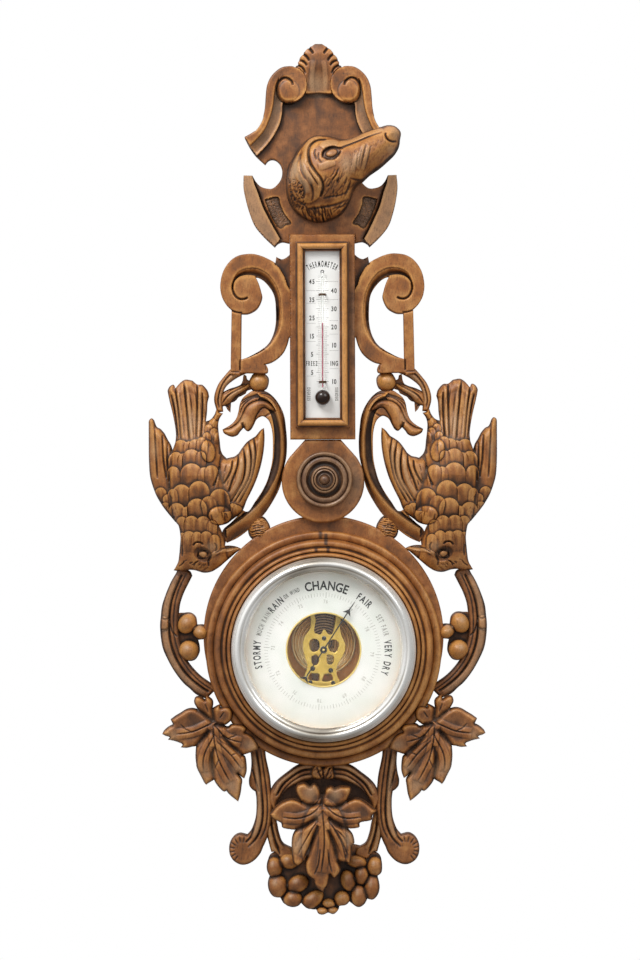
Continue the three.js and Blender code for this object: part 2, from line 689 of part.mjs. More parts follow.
const budShare = [0.325, 0.882];
const bead = cScroll(beadShare);
const bud = cScroll(budShare);
const scrollMiddle = cScrollDepth / 2;
const cScrollBody = less(join(
  plainBoard(smooth(cBodyShares, cScroll), 0, cScrollDepth),
  band(rail(cRidgeOuterShares, cScroll, 12), rail(cRidgeInnerShares, cScroll, 12), cScrollDepth - overrun,
    level(cScrollRidge + overrun), ridgeSection),
  pod(beadRadius, scrollMiddle, beadRadius * 0.9, bead.x, scrollMiddle, bead.y),
  pod(budRadius, scrollMiddle + overrun, budRadius, bud.x, scrollMiddle + overrun, bud.y),
), ringTool, roundelTool, boxTool);
const pScrollTool = plainBoard(grown(smooth(pOuterShares, pScroll)), -overrun, pScrollDepth + overrun * 3);
const cScrollSolid = less(cScrollBody, pScrollTool);
addPair('c_scroll', cScrollSolid, walnut);

// Leafy twigs from which the birds hang
const twigOuterShares = [[0.2, 0.012], [0.13, 0.04], [0.1, 0.08], [0.08, 0.13], [0.075, 0.17], [0.08, 0.2],
  [0.1, 0.235]];
const twigInnerShares = [[0.24, 0.03], [0.175, 0.06], [0.14, 0.095], [0.12, 0.13], [0.11, 0.17], [0.118, 0.2],
  [0.13, 0.225]];
const twigLeafShares = [[0.285, 0.085], [0.25, 0.06], [0.22, 0.09], [0.16, 0.11], [0.115, 0.13], [0.105, 0.17],
  [0.12, 0.19], [0.145, 0.2], [0.165, 0.24], [0.17, 0.195], [0.2, 0.16], [0.24, 0.14], [0.275, 0.11]];
const twigCentreShare = [0.18, 0.135];
const twigBand = band(rail(twigOuterShares, cScroll, 9), rail(twigInnerShares, cScroll, 9), 0,
  level(twigDepth), roundSection);
const twigLeaf = relief(smooth([twigLeafShares], cScroll, 1), cScroll(twigCentreShare), overrun,
  (x, z, share) => twigDepth * (0.5 + 0.4 * (1 - share)), 2);
const twigSolid = less(join(twigBand, twigLeaf), pScrollTool,
  pod(beadRadius + glueGap, scrollMiddle + glueGap, beadRadius * 0.9 + glueGap, bead.x, scrollMiddle, bead.y));
addPair('twig', twigSolid, walnut);

// Hanging birds: tail above, breast and head below, one wing spread to each side
const bird = drawing(birdSpan, 0.902, 0.5375, roundelZ);
const bodyLeftShares = [[0.15, 0.07], [0.14, 0.12], [0.158, 0.22], [0.165, 0.31], [0.15, 0.4], [0.135, 0.5],
  [0.13, 0.6], [0.15, 0.7], [0.18, 0.77], [0.188, 0.84], [0.178, 0.91], [0.2, 0.965], [0.25, 0.985]];
const bodyRightShares = [[0.24, 0.04], [0.318, 0.1], [0.318, 0.2], [0.35, 0.3], [0.375, 0.38], [0.42, 0.46],
  [0.43, 0.58], [0.43, 0.68], [0.4, 0.76], [0.41, 0.82], [0.42, 0.87], [0.39, 0.93], [0.32, 0.985]];
const bodyHeightShares = [0.3, 0.32, 0.42, 0.6, 0.8, 0.95, 1, 1, 0.9, 0.8, 0.8, 0.6, 0.3];
const bigWingShares = [[0.4, 0.43], [0.44, 0.415], [0.48, 0.395], [0.52, 0.34], [0.565, 0.31], [0.607, 0.268],
  [0.61, 0.31], [0.607, 0.37], [0.595, 0.44], [0.575, 0.51], [0.55, 0.57], [0.52, 0.63], [0.49, 0.69],
  [0.45, 0.73], [0.4, 0.755], [0.36, 0.72], [0.355, 0.6], [0.37, 0.5]];
const smallWingShares = [[0.19, 0.72], [0.135, 0.705], [0.1, 0.66], [0.07, 0.61], [0.05, 0.56], [0.035, 0.5],
  [0.03, 0.4], [0.03, 0.3], [0.045, 0.218], [0.07, 0.26], [0.11, 0.295], [0.14, 0.35], [0.17, 0.42],
  [0.2, 0.55]];
const beakShares = [[0.36, 0.84], [0.44, 0.858], [0.495, 0.877], [0.445, 0.91], [0.38, 0.95]];
const footShares = [[0.31, 0.22], [0.34, 0.22], [0.37, 0.175], [0.4, 0.195], [0.38, 0.26], [0.33, 0.3]];
const bigWingCentreShare = [0.48, 0.54];
const smallWingCentreShare = [0.1, 0.5];
const bodyHeights = (share) => {
  const at = share * (bodyHeightShares.length - 1);
  const low = Math.min(Math.floor(at), bodyHeightShares.length - 2);
  return bodyHeight * THREE.MathUtils.lerp(bodyHeightShares[low], bodyHeightShares[low + 1], at - low);
};
const wingRise = (x, z, share) => wingHeight * (0.55 + 0.45 * Math.sqrt(1 - share * share));
const birdSolid = less(join(
  band(rail(bodyLeftShares, bird, 13), rail(bodyRightShares, bird, 13), birdBack, bodyHeights, roundSection),
  relief(smooth([bigWingShares], bird, 1), bird(bigWingCentreShare), birdBack + overrun * 2, wingRise, 2),
  relief(smooth([smallWingShares], bird, 1), bird(smallWingCentreShare), birdBack + overrun, wingRise, 2),
  plainBoard(smooth([beakShares], bird, 1), birdBack + overrun * 2, birdBack + bodyHeight / 2),
  plainBoard(smooth([footShares], bird, 1), birdBack + overrun, birdBack + bodyHeight / 3),
), plainBoard(grown(smooth(cBodyShares, cScroll)), -overrun, cScrollDepth + glueGap),
band(rail(cRidgeOuterShares, cScroll, 12), rail(cRidgeInnerShares, cScroll, 12), -overrun,
  level(cScrollDepth + overrun + cScrollRidge + glueGap), ridgeSection));

// Vine stems that bend round the case ring, with three nuts each
const vine = drawing(vineSpan, 1.1986, 0.6018, dialZ);
const vineOuterShares = [[0.145, 0.06], [0.11, 0.12], [0.075, 0.2], [0.045, 0.29], [0.035, 0.37], [0.03, 0.44],
  [0.035, 0.52], [0.05, 0.6], [0.085, 0.68], [0.13, 0.76], [0.19, 0.84], [0.24, 0.885], [0.29, 0.93]];
const vineInnerShares = [[0.26, 0.08], [0.235, 0.13], [0.2, 0.2], [0.175, 0.27], [0.165, 0.33], [0.155, 0.41],
  [0.15, 0.5], [0.175, 0.58], [0.21, 0.66], [0.26, 0.735], [0.31, 0.79], [0.37, 0.835], [0.43, 0.875]];
const nutShares = [[0.225, 0.42], [0.325, 0.485], [0.235, 0.62]];
const nutSizeShares = [[1.35, 1.1], [1.15, 0.9], [1.25, 1.25]];
const nuts = nutShares.map((share, i) => {
  const { x, y } = vine(share);
  const [wide, tall] = nutSizeShares[i];
  return pod(nutRadius * wide, nutRadius, nutRadius * tall, x, vineDepth, y);
});
const nutWebShare = [0.23, 0.52];
const webPlace = vine(nutWebShare);
const nutWeb = pod(nutWebWidth, vineDepth / 2, nutWebHeight, webPlace.x, vineDepth / 2, webPlace.y);
const vineBody = join(band(rail(vineOuterShares, vine, 11), rail(vineInnerShares, vine, 11), 0,
  level(vineDepth), roundSection), nutWeb, ...nuts);
const vineSolid = less(vineBody, ringTool, caseTool);
const birdClear = less(birdSolid, ringTool, caseTool);
addPair('bird', less(birdClear, vineSolid.translate(0, -glueGap, 0), vineSolid, twigSolid,
  twigSolid.translate(0, -glueGap, 0)), walnut);

// Vine leaves that lap over the edge of the ring board
const leaf = drawing(leafSpan, 1.476, -0.3638, dialZ);
const leafShares = [
  [[0.33, 0.06], [0.38, 0.06], [0.415, 0.083]],
  [[0.43, 0.05], [0.46, 0.065], [0.485, 0.09], [0.49, 0.12], [0.485, 0.16]],
  [[0.52, 0.14], [0.555, 0.155]],
  [[0.6, 0.145], [0.64, 0.155], [0.665, 0.2], [0.65, 0.27], [0.585, 0.315]],
  [[0.65, 0.305], [0.7, 0.3], [0.76, 0.31], [0.79, 0.34], [0.78, 0.375]],
  [[0.83, 0.4], [0.865, 0.44], [0.89, 0.49], [0.895, 0.525]],
  [[0.86, 0.545], [0.8, 0.565], [0.755, 0.58]],
  [[0.785, 0.66], [0.785, 0.73], [0.765, 0.79]],
  [[0.71, 0.745]],
  [[0.745, 0.8], [0.74, 0.86], [0.73, 0.93], [0.71, 0.995]],
  [[0.63, 0.93], [0.605, 0.9]],
  [[0.545, 0.875], [0.495, 0.8]],
  [[0.445, 0.83], [0.425, 0.845]],
  [[0.38, 0.77], [0.345, 0.7], [0.33, 0.58], [0.335, 0.5]],
  [[0.25, 0.515], [0.2, 0.51]],
  [[0.205, 0.475]],
  [[0.15, 0.455], [0.085, 0.44]],
  [[0.035, 0.39]],
  [[0.09, 0.325], [0.13, 0.305]],
  [[0.11, 0.26]],
  [[0.2, 0.2], [0.3, 0.16], [0.35, 0.17]],
];
const leafCentreShare = [0.5, 0.36];
const leafCentre = leaf(leafCentreShare);
const leafRise = (centre, fold, height) => (x, z, share) => {
  const angle = Math.atan2(z - centre.y, x - centre.x);
  const reach = Math.hypot(x - centre.x, z - centre.y);
  const fan = 0.5 + 0.5 * Math.cos(angle * 5 + 0.6);
  return height * (0.45 + 0.4 * Math.min(reach / fold, 1) * fan + 0.15 * (1 - share ** 4));
};
const leafSolid = relief(smooth(leafShares, leaf, 1), leafCentre, leafBack,
  leafRise(leafCentre, leafFold, leafHeight), 3);
const leafClear = less(leafSolid, ringTool, caseTool, vineSolid, vineSolid.translate(0, -glueGap, 0));

// Bottom scrollwork: an arch under the ring and two curled feet
const base = drawing(baseSpan, 0.511, 0.088, dialZ - ringBoardRadius);
const archTopShares = [[0.511, 0.085], [0.45, 0.085], [0.39, 0.098], [0.33, 0.125], [0.265, 0.17], [0.218, 0.22],
  [0.19, 0.3]];
const archUnderShares = [[0.511, 0.145], [0.46, 0.145], [0.41, 0.155], [0.36, 0.178], [0.315, 0.215],
  [0.272, 0.258], [0.255, 0.31]];
const footOuterShares = [[0.14, 0.06], [0.13, 0.13], [0.135, 0.18], [0.155, 0.215], [0.165, 0.25], [0.165, 0.33],
  [0.155, 0.38], [0.13, 0.43], [0.1, 0.46]];
const footInnerShares = [[0.215, 0.02], [0.222, 0.09], [0.235, 0.15], [0.24, 0.21], [0.245, 0.27], [0.24, 0.34],
  [0.23, 0.41], [0.2, 0.48], [0.16, 0.54]];
const innerStemLeftShares = [[0.215, 0.29], [0.24, 0.4], [0.262, 0.47], [0.285, 0.55]];
const innerStemRightShares = [[0.255, 0.29], [0.285, 0.38], [0.305, 0.45], [0.345, 0.5]];
const footCurlShare = [0.098, 0.508];
const tongueFootShare = [0.511, 0.13];
const footCurl = base(footCurlShare);
const tongueTop = dialZ - ringBoardRadius + ringBoardRound;
const halfBase = join(
  band(rail(archTopShares, base, 8), rail(archUnderShares, base, 8), 0, level(baseDepth), roundSection),
  band(rail(footOuterShares, base, 9), rail(footInnerShares, base, 9), 0, level(baseDepth), roundSection),
  band(rail(innerStemLeftShares, base, 4), rail(innerStemRightShares, base, 4), 0, level(baseDepth - overrun),
    roundSection),
  turned([[0, 0], [footCurlRadius, 0], [footCurlRadius, baseDepth - overrun],
    [footCurlTop, baseDepth + overrun], [0, baseDepth + overrun]], footCurl.x, footCurl.y, tinyFacets),
);
const tongueFoot = base(tongueFootShare).y;
const tongue = block(tongueWidth, 0, baseDepth - overrun, tongueFoot, tongueTop);
const baseSolid = less(join(halfBase, mirrored(halfBase), tongue), ringTool);
add('base_scroll', baseSolid, walnut);
addPair('vine', vineSolid, walnut);
const baseTool = join(baseSolid, baseSolid.translate(0, -glueGap, 0));
addPair('vine_leaf', less(leafClear, baseTool), walnut);

// Leaf on the bottom scrollwork, and the bunch of grapes behind it
const baseLeafHalfShares = [
  [[0.485, 0.19], [0.455, 0.17], [0.44, 0.185]],
  [[0.41, 0.17], [0.375, 0.18], [0.37, 0.21], [0.395, 0.262]],
  [[0.345, 0.25], [0.3, 0.265], [0.265, 0.285], [0.23, 0.325]],
  [[0.28, 0.365], [0.3, 0.39], [0.35, 0.405], [0.38, 0.405]],
  [[0.36, 0.42], [0.345, 0.46], [0.345, 0.51], [0.375, 0.59]],
  [[0.4, 0.57], [0.425, 0.54]],
  [[0.415, 0.58], [0.42, 0.62], [0.45, 0.655], [0.465, 0.7], [0.505, 0.725]],
];
const baseLeafCentreShare = [0.511, 0.37];
const baseLeafCentre = base(baseLeafCentreShare);
const leafHalf = smooth([[[0.505, 0.225]], ...baseLeafHalfShares], base, 1).slice(1);
const baseLeafOutline = bothSides([base([0.508, 0.235]), ...leafHalf]);
const baseLeaf = relief(baseLeafOutline, baseLeafCentre, baseDepth,
  leafRise(baseLeafCentre, baseLeafFold, baseLeafHeight), 3);
add('base_leaf', less(baseLeaf, caseTool, ringTool), walnut);
const baseLeafTool = plainBoard(grown(baseLeafOutline), baseDepth - glueGap, baseDepth + baseLeafHeight * 2);

const grapeShares = [[0.255, 0.605, 0.04], [0.32, 0.575, 0.038], [0.27, 0.7, 0.047], [0.375, 0.69, 0.043],
  [0.35, 0.765, 0.04], [0.45, 0.77, 0.042], [0.5, 0.822, 0.026], [0.545, 0.785, 0.028], [0.6, 0.765, 0.037],
  [0.63, 0.675, 0.04], [0.7, 0.645, 0.037], [0.685, 0.755, 0.044], [0.755, 0.715, 0.045],
  [0.77, 0.605, 0.038], [0.675, 0.58, 0.038]];
const clusterShares = [[0.3, 0.52], [0.24, 0.6], [0.26, 0.7], [0.33, 0.77], [0.42, 0.8], [0.5, 0.83], [0.58, 0.79],
  [0.68, 0.77], [0.76, 0.71], [0.78, 0.6], [0.7, 0.53], [0.6, 0.48], [0.51, 0.46], [0.4, 0.48]];
const grapes = grapeShares.map(([across, down, radius]) => {
  const { x, y } = base([across, down]);
  return pod(radius * baseSpan, radius * baseSpan, radius * baseSpan, x, clusterDepth + grapeBack, y, 6);
});
const wallTool = block(baseSpan * 2, -baseDepth, 0, dialZ - baseSpan * 2, dialZ);
add('grapes', less(join(plainBoard(smooth([clusterShares], base, 1), grapeBack, clusterDepth), ...grapes),
  wallTool, baseLeafTool, baseTool), walnut);

// Roundel with shoulders that run up to the box, and its turned boss
const shoulderAngle = THREE.MathUtils.degToRad(37);
const shoulderX = roundelRadius * Math.cos(shoulderAngle) - carvedEdge;
const shoulderZ = roundelZ + roundelRadius * Math.sin(shoulderAngle) - carvedEdge;
const neckOutline = [[-shoulderX, shoulderZ], [shoulderX, shoulderZ], [neckWidth / 2, boxBottom - glueGap],
  [-neckWidth / 2, boxBottom - glueGap]].map(([x, z]) => new THREE.Vector2(x, z));
add('roundel', join(turned([[0, 0], [roundelRadius, 0], [roundelRadius, roundelDepth - carvedEdge],
  [roundelRadius - carvedEdge, roundelDepth], [0, roundelDepth]], 0, roundelZ, roundFacets),
plainBoard(neckOutline, 0, roundelDepth)), walnut);
const bossShares = [[1, 0], [1, 0.3], [0.95, 0.5], [0.87, 0.55], [0.83, 0.3], [0.78, 0.45], [0.72, 0.45],
  [0.6, 0.18], [0.52, 0.4], [0.46, 0.75], [0.36, 0.75], [0.3, 0.5], [0.2, 0.6], [0.16, 0.95], [0, 1]];
add('boss', turned([[0, roundelDepth], ...bossShares.map(([out, up]) =>
  [out * bossRadius, roundelDepth + up * bossHeight])], bossAside, roundelZ + bossRise, smallFacets), darkWalnut);

// Ring board and turned case ring
const boreRadiusWood = drumRadius + boreGap;
add('ring_board', less(
  join(
    turned([[0, 0], [ringBoardRadius, 0], [ringBoardRadius, ringBoardDepth - ringBoardRound],
      [ringBoardRadius - ringBoardRound * 0.4, ringBoardDepth - ringBoardRound * 0.3],
      [ringBoardRadius - ringBoardRound, ringBoardDepth], [0, ringBoardDepth]], 0, dialZ),
    disc(lobeRadius, 0, boardDepth, 0, lobeZ, roundFacets),
  ),
  disc(boreRadiusWood, -overrun, ringBoardDepth + overrun, 0, dialZ, roundFacets), roundelTool,
), walnut);
const ringRise = drumFront - ringBoardDepth;
const ringShares = [[0, 0.33], [0.145, 0.57], [0.317, 0.67], [0.495, 0.6], [0.6, 0.8], [0.717, 0.75],
  [0.883, 1.02], [1, 1.04]];
add('case_ring', turned([[boreRadiusWood, ringBoardDepth], [caseRingRadius, ringBoardDepth],
  ...ringShares.map(([into, up]) => [caseRingRadius - into * ringMouldWidth, ringBoardDepth + up * ringRise]),
  [bezelRadius + glueGap, drumFront], [boreRadiusWood, drumFront], [boreRadiusWood, ringBoardDepth]], 0, dialZ),
walnut);

// Drum case with its flange and the ledge that carries the dial
const regulatorZ = dialZ + regulatorRise;
const drum = turned([[0, drumBack], [drumRadius, drumBack], [drumRadius, drumFront], [flangeRadius, drumFront],
  [flangeRadius, drumFront + flangeThickness], [drumInner, drumFront + flangeThickness],
  [drumInner, dialDepth], [drumInner - ledgeWidth, dialDepth],
  [drumInner - ledgeWidth, dialDepth - ledgeThickness], [drumInner, dialDepth - ledgeThickness],
  [drumInner, drumBack + drumWall], [0, drumBack + drumWall]], 0, dialZ);
const regulatorHole = disc(regulatorRadius + boreGap, 0, dialDepth / 2, 0, regulatorZ, tinyFacets);
add('drum_case', less(drum, regulatorHole), brass);

// Bezel, glass, retaining ring and dial
const bezelBack = drumFront + flangeThickness + boreGap;
const glassFront = glassDepth + glassThickness;
const bezelInner = glassRadius + boreGap;
add('bezel', turned([[bezelInner, bezelBack], [bezelRadius, bezelBack], [bezelRadius, bezelBack + bezelHeight * 0.25],
  [bezelRadius - bezelHeight * 0.13, bezelBack + bezelHeight * 0.6],
  [bezelRadius - bezelHeight * 0.32, bezelBack + bezelHeight * 0.88],
  [bezelRadius - bezelHeight * 0.53, bezelBack + bezelHeight],
  [bezelRadius - bezelHeight * 0.63, bezelBack + bezelHeight * 0.97],
  [bezelRadius - bezelHeight * 0.68, bezelBack + bezelHeight * 0.8],
  [sightRadius + bezelHeight * 0.25, bezelBack + bezelHeight * 0.78], [sightRadius, bezelBack + bezelHeight * 0.66],
  [sightRadius, glassFront], [bezelInner, glassFront], [bezelInner, bezelBack]], 0, dialZ), nickel);
add('bezel_glass', turned([[0, glassDepth], [glassRadius, glassDepth], [glassRadius, glassFront],
  [0, glassFront]], 0, dialZ), clear);
add('glass_retainer', turned(ringProfile(glassRadius - retainerWidth, glassRadius,
  glassDepth - retainerThickness - boreGap, glassDepth - boreGap), 0, dialZ), brass);
const dialFront = dialDepth + dialThickness;
add('dial', turned(ringProfile(dialEyeRadius, drumInner - boreGap, dialDepth, dialFront), 0, dialZ), card);
const trimInner = dialEyeRadius - boreGap;
add('dial_trim_ring', turned([[trimInner - trimWidth / 2, dialDepth], [trimInner, dialDepth], [trimInner, dialFront],
  [trimInner + trimWidth, dialFront], [trimInner + trimWidth, dialFront + trimThickness],
  [trimInner - trimWidth / 2, dialFront + trimThickness], [trimInner - trimWidth / 2, dialDepth]], 0, dialZ, smallFacets),
brass);

// Hand: arrow at one end, crescent at the other, on its arbor
const handTurn = THREE.MathUtils.degToRad(handAngle);
const handShares = [[0.06, 0.02], [0.7, 0.013], [0.72, 0.075], [0.78, 0.02], [1, 0]];
const tailShares = [[-0.06, 0.02], [-0.52, 0.016], [-0.565, 0.075], [-0.63, 0.1], [-0.6, 0.05], [-0.59, 0]];
const handSide = [...tailShares.toReversed(), ...handShares];
const handOutline = [...handSide, ...handSide.slice(1, -1).toReversed().map(([along, side]) => [along, -side])]
  .map(([along, side]) => {
    const reach = along < 0 ? (along / 0.63) * handTail : along * handReach;
    const wide = side * handReach;
    return new THREE.Vector2(reach * Math.sin(handTurn) + wide * Math.cos(handTurn),
      dialZ + reach * Math.cos(handTurn) - wide * Math.sin(handTurn));
  });
const handFront = handDepth + handThickness;
const arborHole = disc(arborRadius + boreGap / 2, 0, handFront * 2, 0, dialZ, tinyFacets);
add('hand', less(join(plainBoard(handOutline, handDepth, handFront),
  turned([[0, handDepth], [hubRadius, handDepth], [hubRadius, handFront], [hubRadius * 0.8, handFront + handThickness],
    [0, handFront + handThickness]], 0, dialZ, tinyFacets * 2)), arborHole), steel);
add('hand_arbor', turned([[0, arborBack], [chainDrumRadius, arborBack], [chainDrumRadius, arborBack + chainDrumHeight],
  [arborRadius, arborBack + chainDrumHeight], [arborRadius, handFront + handThickness], [0, handFront + handThickness]],
0, dialZ, tinyFacets), brass);

// Base plate on three feet
const plateBack = drumBack + drumWall + footHeight;
const plateTop = plateBack + basePlateThickness;
const feet = [0, 1, 2].map((i) => {
  const angle = quarter + (i * Math.PI * 2) / 3;
  const reach = basePlateRadius - footRadius * 2;
  return disc(footRadius, drumBack + drumWall, plateBack + overrun / 2, reach * Math.cos(angle),
    dialZ + reach * Math.sin(angle), tinyFacets);
});
const capsuleZ = dialZ + capsuleRise;
add('base_plate', less(join(disc(basePlateRadius, plateBack, plateTop, 0, dialZ), ...feet), regulatorHole),
  brass);

// Corrugated capsule with its stud below and its post above
const capsuleBack = plateTop + capsuleStud;
const ripples = 4;
const ripple = 0.5;
const capsuleTop = Array.from({ length: ripples * 2 }, (_, i) => {
  const radius = capsuleRadius * 0.92 - (capsuleRadius * 0.62 * i) / (ripples * 2 - 1);
  return [radius, capsuleBack + capsuleHeight - (i % 2 ? ripple * 2 : 0)];
});
add('capsule', turned([[0, plateTop], [postRadius * 1.6, plateTop], [postRadius * 1.6, capsuleBack],
  [capsuleRadius, capsuleBack + ripple], [capsuleRadius, capsuleBack + capsuleHeight - ripple * 2], ...capsuleTop,
  [postRadius, capsuleBack + capsuleHeight], [postRadius, springTop + springThickness],
  [0, springTop + springThickness]], 0, capsuleZ, smallFacets), alloy);

// C-shaped main spring over the capsule
const springBack = plateTop;
const springMiddle = (springBack + springTop + springThickness) / 2;
const springBend = (springTop + springThickness - springBack) / 2;
const bendZ = dialZ + springReach - springBend;
const springArc = (radius) => Array.from({ length: 9 }, (_, i) => {
  const angle = -quarter + (i / 8) * Math.PI;
  return new THREE.Vector2(springMiddle + radius * Math.sin(angle), bendZ + radius * Math.cos(angle));
});
const springInner = springBend - springThickness;
const springPoints = [
  new THREE.Vector2(springBack, bendZ - springWidth / 4), ...springArc(springBend),
  new THREE.Vector2(springTop + springThickness, dialZ + springTip), new THREE.Vector2(springTop, dialZ + springTip),
  ...springArc(springInner).toReversed(), new THREE.Vector2(springBack + springThickness, bendZ - springWidth / 4),
];
// A strip bent to a shape drawn as (depth, z), of the given width across
const strip = (points, width, x = 0) => {
  const bent = new THREE.ExtrudeGeometry(new THREE.Shape(points), { depth: width, bevelEnabled: false });
  const turn = new THREE.Matrix4().makeBasis(
    new THREE.Vector3(0, -1, 0), new THREE.Vector3(0, 0, 1), new THREE.Vector3(1, 0, 0));
  return solidOf(bent.applyMatrix4(turn).translate(x - width / 2, 0, 0));
};
const postTool = disc(postRadius + boreGap, springTop - overrun, springTop + overrun * 2, 0, capsuleZ, tinyFacets);
add('main_spring', less(strip(springPoints, springWidth), postTool, regulatorHole), steel);

// Pierced bridge that carries the hand, with its four pillars
const bridge = drawing(bridgeSpan, 0.527, 0.483, dialZ);
const bridgeShares = [
  [[0.33, -0.06]],
  [[0.41, -0.06]],
  [[0.415, 0.05], [0.43, 0.12], [0.42, 0.18], [0.41, 0.25], [0.42, 0.285]],
  [[0.45, 0.29], [0.48, 0.3], [0.505, 0.28], [0.52, 0.245], [0.535, 0.24], [0.555, 0.25], [0.57, 0.28],
    [0.6, 0.3], [0.63, 0.3]],
  [[0.65, 0.26], [0.665, 0.19], [0.68, 0.11], [0.69, 0.03], [0.7, -0.06]],
  [[0.76, -0.06]],
  [[0.745, 0.08], [0.73, 0.17], [0.735, 0.24], [0.75, 0.31], [0.775, 0.37], [0.795, 0.42], [0.795, 0.49],
    [0.775, 0.54], [0.75, 0.59], [0.715, 0.645], [0.69, 0.7], [0.685, 0.76], [0.7, 0.83], [0.74, 0.9]],
  [[0.81, 0.97]],
  [[0.77, 1.03]],
  [[0.64, 0.965], [0.53, 0.975], [0.42, 0.965], [0.27, 1.03]],
  [[0.22, 0.97]],
  [[0.275, 0.85], [0.3, 0.78], [0.325, 0.71], [0.32, 0.66], [0.3, 0.6], [0.28, 0.52], [0.27, 0.45], [0.275, 0.38],
    [0.3, 0.31], [0.34, 0.26], [0.365, 0.2], [0.37, 0.13], [0.36, 0.04]],
];
const heartShares = [[0.41, 0.42, 0.07], [0.645, 0.44, 0.07]];
const windowShares = [
  [[0.375, 0.56], [0.44, 0.55], [0.47, 0.62], [0.45, 0.67], [0.4, 0.68], [0.375, 0.64]],
  [[0.565, 0.55], [0.64, 0.56], [0.655, 0.61], [0.63, 0.67], [0.57, 0.66]],
  [[0.36, 0.78], [0.465, 0.79], [0.465, 0.875], [0.39, 0.87], [0.33, 0.85]],
  [[0.535, 0.79], [0.62, 0.79], [0.635, 0.87], [0.51, 0.88]],
];
const pillarShares = [[0.355, -0.03], [0.73, -0.03], [0.25, 0.98], [0.79, 0.985]];
const bridgeHoles = [
  ...heartShares.map(([across, down, radius]) => {
    const { x, y } = bridge([across, down]);
    return circle(radius * bridgeSpan, x, y, 10);
  }),
  ...windowShares.map((window) => window.map(bridge)),
];
const bridgeFront = bridgeDepth + bridgeThickness;
const pillars = pillarShares.map((share) => {
  const { x, y } = bridge(share);
  return disc(pillarRadius, plateTop, bridgeDepth + bridgeThickness / 2, x, y, tinyFacets);
});
add('skeleton_bridge', less(join(plainBoard(smooth(bridgeShares, bridge, 1), bridgeDepth, bridgeFront, bridgeHoles),
  ...pillars), disc(arborRadius + boreGap, arborBack, handDepth, 0, dialZ, tinyFacets)), brass);

// Main arm on the spring, with the link rod that works the rocker
const armBack = springTop + springThickness;
const rockerZ = dialZ - rockerDrop;
const crankZ = rockerZ - crankLength;
const linkFront = armBack + armThickness;
const linkBack = rockerDepth + linkRadius + boreGap * 2;
const armPivotZ = dialZ + springTip + armWidth / 2;
add('main_arm', join(
  block(armWidth, armBack + boreGap, linkFront + boreGap, crankZ - armWidth / 2, armPivotZ + armWidth / 2, -armSide),
  disc(linkRadius, linkBack, linkFront, -armSide, crankZ, 8),
), steel);

// Rocker with its upright arm and crank, between two brackets
const across = (radius, depth, z, from, to) =>
  solidOf(new THREE.CylinderGeometry(radius, radius, to - from, tinyFacets).rotateZ(quarter)
    .translate((from + to) / 2, -depth, z));
const chainX = -(chainDrumRadius + chainWidth / 2 + boreGap);
const rockerTip = rockerDepth + rockerArm;
add('rocker_arbor', join(
  across(rockerRadius, rockerDepth, rockerZ, -rockerSpan / 2, rockerSpan / 2),
  block(chainWidth * 2, rockerDepth, rockerTip, rockerZ - rockerRadius * 0.7, rockerZ + rockerRadius * 0.7, chainX),
  block(linkRadius * 3, rockerDepth - linkRadius, rockerDepth + linkRadius, crankZ - linkRadius * 2, rockerZ,
    -armSide),
), steel);
const rockerHole = across(rockerRadius + boreGap, rockerDepth, rockerZ, -rockerSpan, rockerSpan);
const bracketSide = rockerSpan / 2 - bracketThickness;
const bracketTop = rockerDepth + rockerRadius * 2.5;
const brackets = [-1, 1].map((side) => block(bracketThickness, plateTop, bracketTop, rockerZ - bracketWidth / 2,
  rockerZ + bracketWidth / 2, side * (bracketSide + bracketThickness / 2)));
const bracketBar = block(rockerSpan, plateTop, plateTop + bracketThickness / 2, rockerZ - bracketWidth / 2,
  rockerZ + bracketWidth / 2);
add('rocker_bracket', less(join(bracketBar, ...brackets), rockerHole), brass);

// Chain of flat links from the rocker's arm to the drum on the hand arbor
const chainTop = dialZ + chainWidth;
const chainEnd = rockerZ + rockerRadius * 0.7 + boreGap;
const chainLinks = Math.round((chainTop - chainEnd) / chainPitch);
const linkLength = (chainTop - chainEnd) / chainLinks;
const chainSide = Array.from({ length: chainLinks }, (_, i) => {
  const z = chainEnd + i * linkLength;
  return [[chainWidth * 0.3, z], [chainWidth * 0.5, z + linkLength * 0.3], [chainWidth * 0.5, z + linkLength * 0.7]];
}).flat();
const chainOutline = [...chainSide, [chainWidth * 0.3, chainTop], ...[...chainSide, [chainWidth * 0.3, chainTop]]
  .toReversed().map(([x, z]) => [-x, z])].map(([x, z]) => new THREE.Vector2(chainX + x, z));
const chainBack = arborBack + boreGap;
add('chain', plainBoard(chainOutline, chainBack, chainBack + chainWidth), steel);

// Hairspring: a flat spiral between the bridge and the chain drum
const hairBack = bridgeDepth - boreGap - hairHeight;
const hairSteps = Math.round(hairTurns * 12);
const hairLine = (side) => Array.from({ length: hairSteps + 1 }, (_, i) => {
  const turn = (i / hairSteps) * hairTurns;
  const radius = hairInner + turn * hairPitch + side * hairThickness / 2;
  return new THREE.Vector2(radius * Math.cos(turn * Math.PI * 2), dialZ + radius * Math.sin(turn * Math.PI * 2));
});
add('hairspring', band(hairLine(-1), hairLine(1), hairBack, level(hairHeight), flatSection), steel);

// Regulating screw, reached from the back
add('regulating_screw', less(
  turned([[0, drumBack - boreGap - regulatorHeadHeight], [regulatorHead, drumBack - boreGap - regulatorHeadHeight],
    [regulatorHead, drumBack - boreGap], [regulatorRadius, drumBack - boreGap],
    [regulatorRadius, springBack + springThickness], [0, springBack + springThickness]], 0, regulatorZ, tinyFacets * 2),
  block(regulatorHead * 3, 0, drumBack - boreGap - regulatorHeadHeight / 2, regulatorZ - slotWidth / 2,
    regulatorZ + slotWidth / 2),
), steel);

export default barometer;
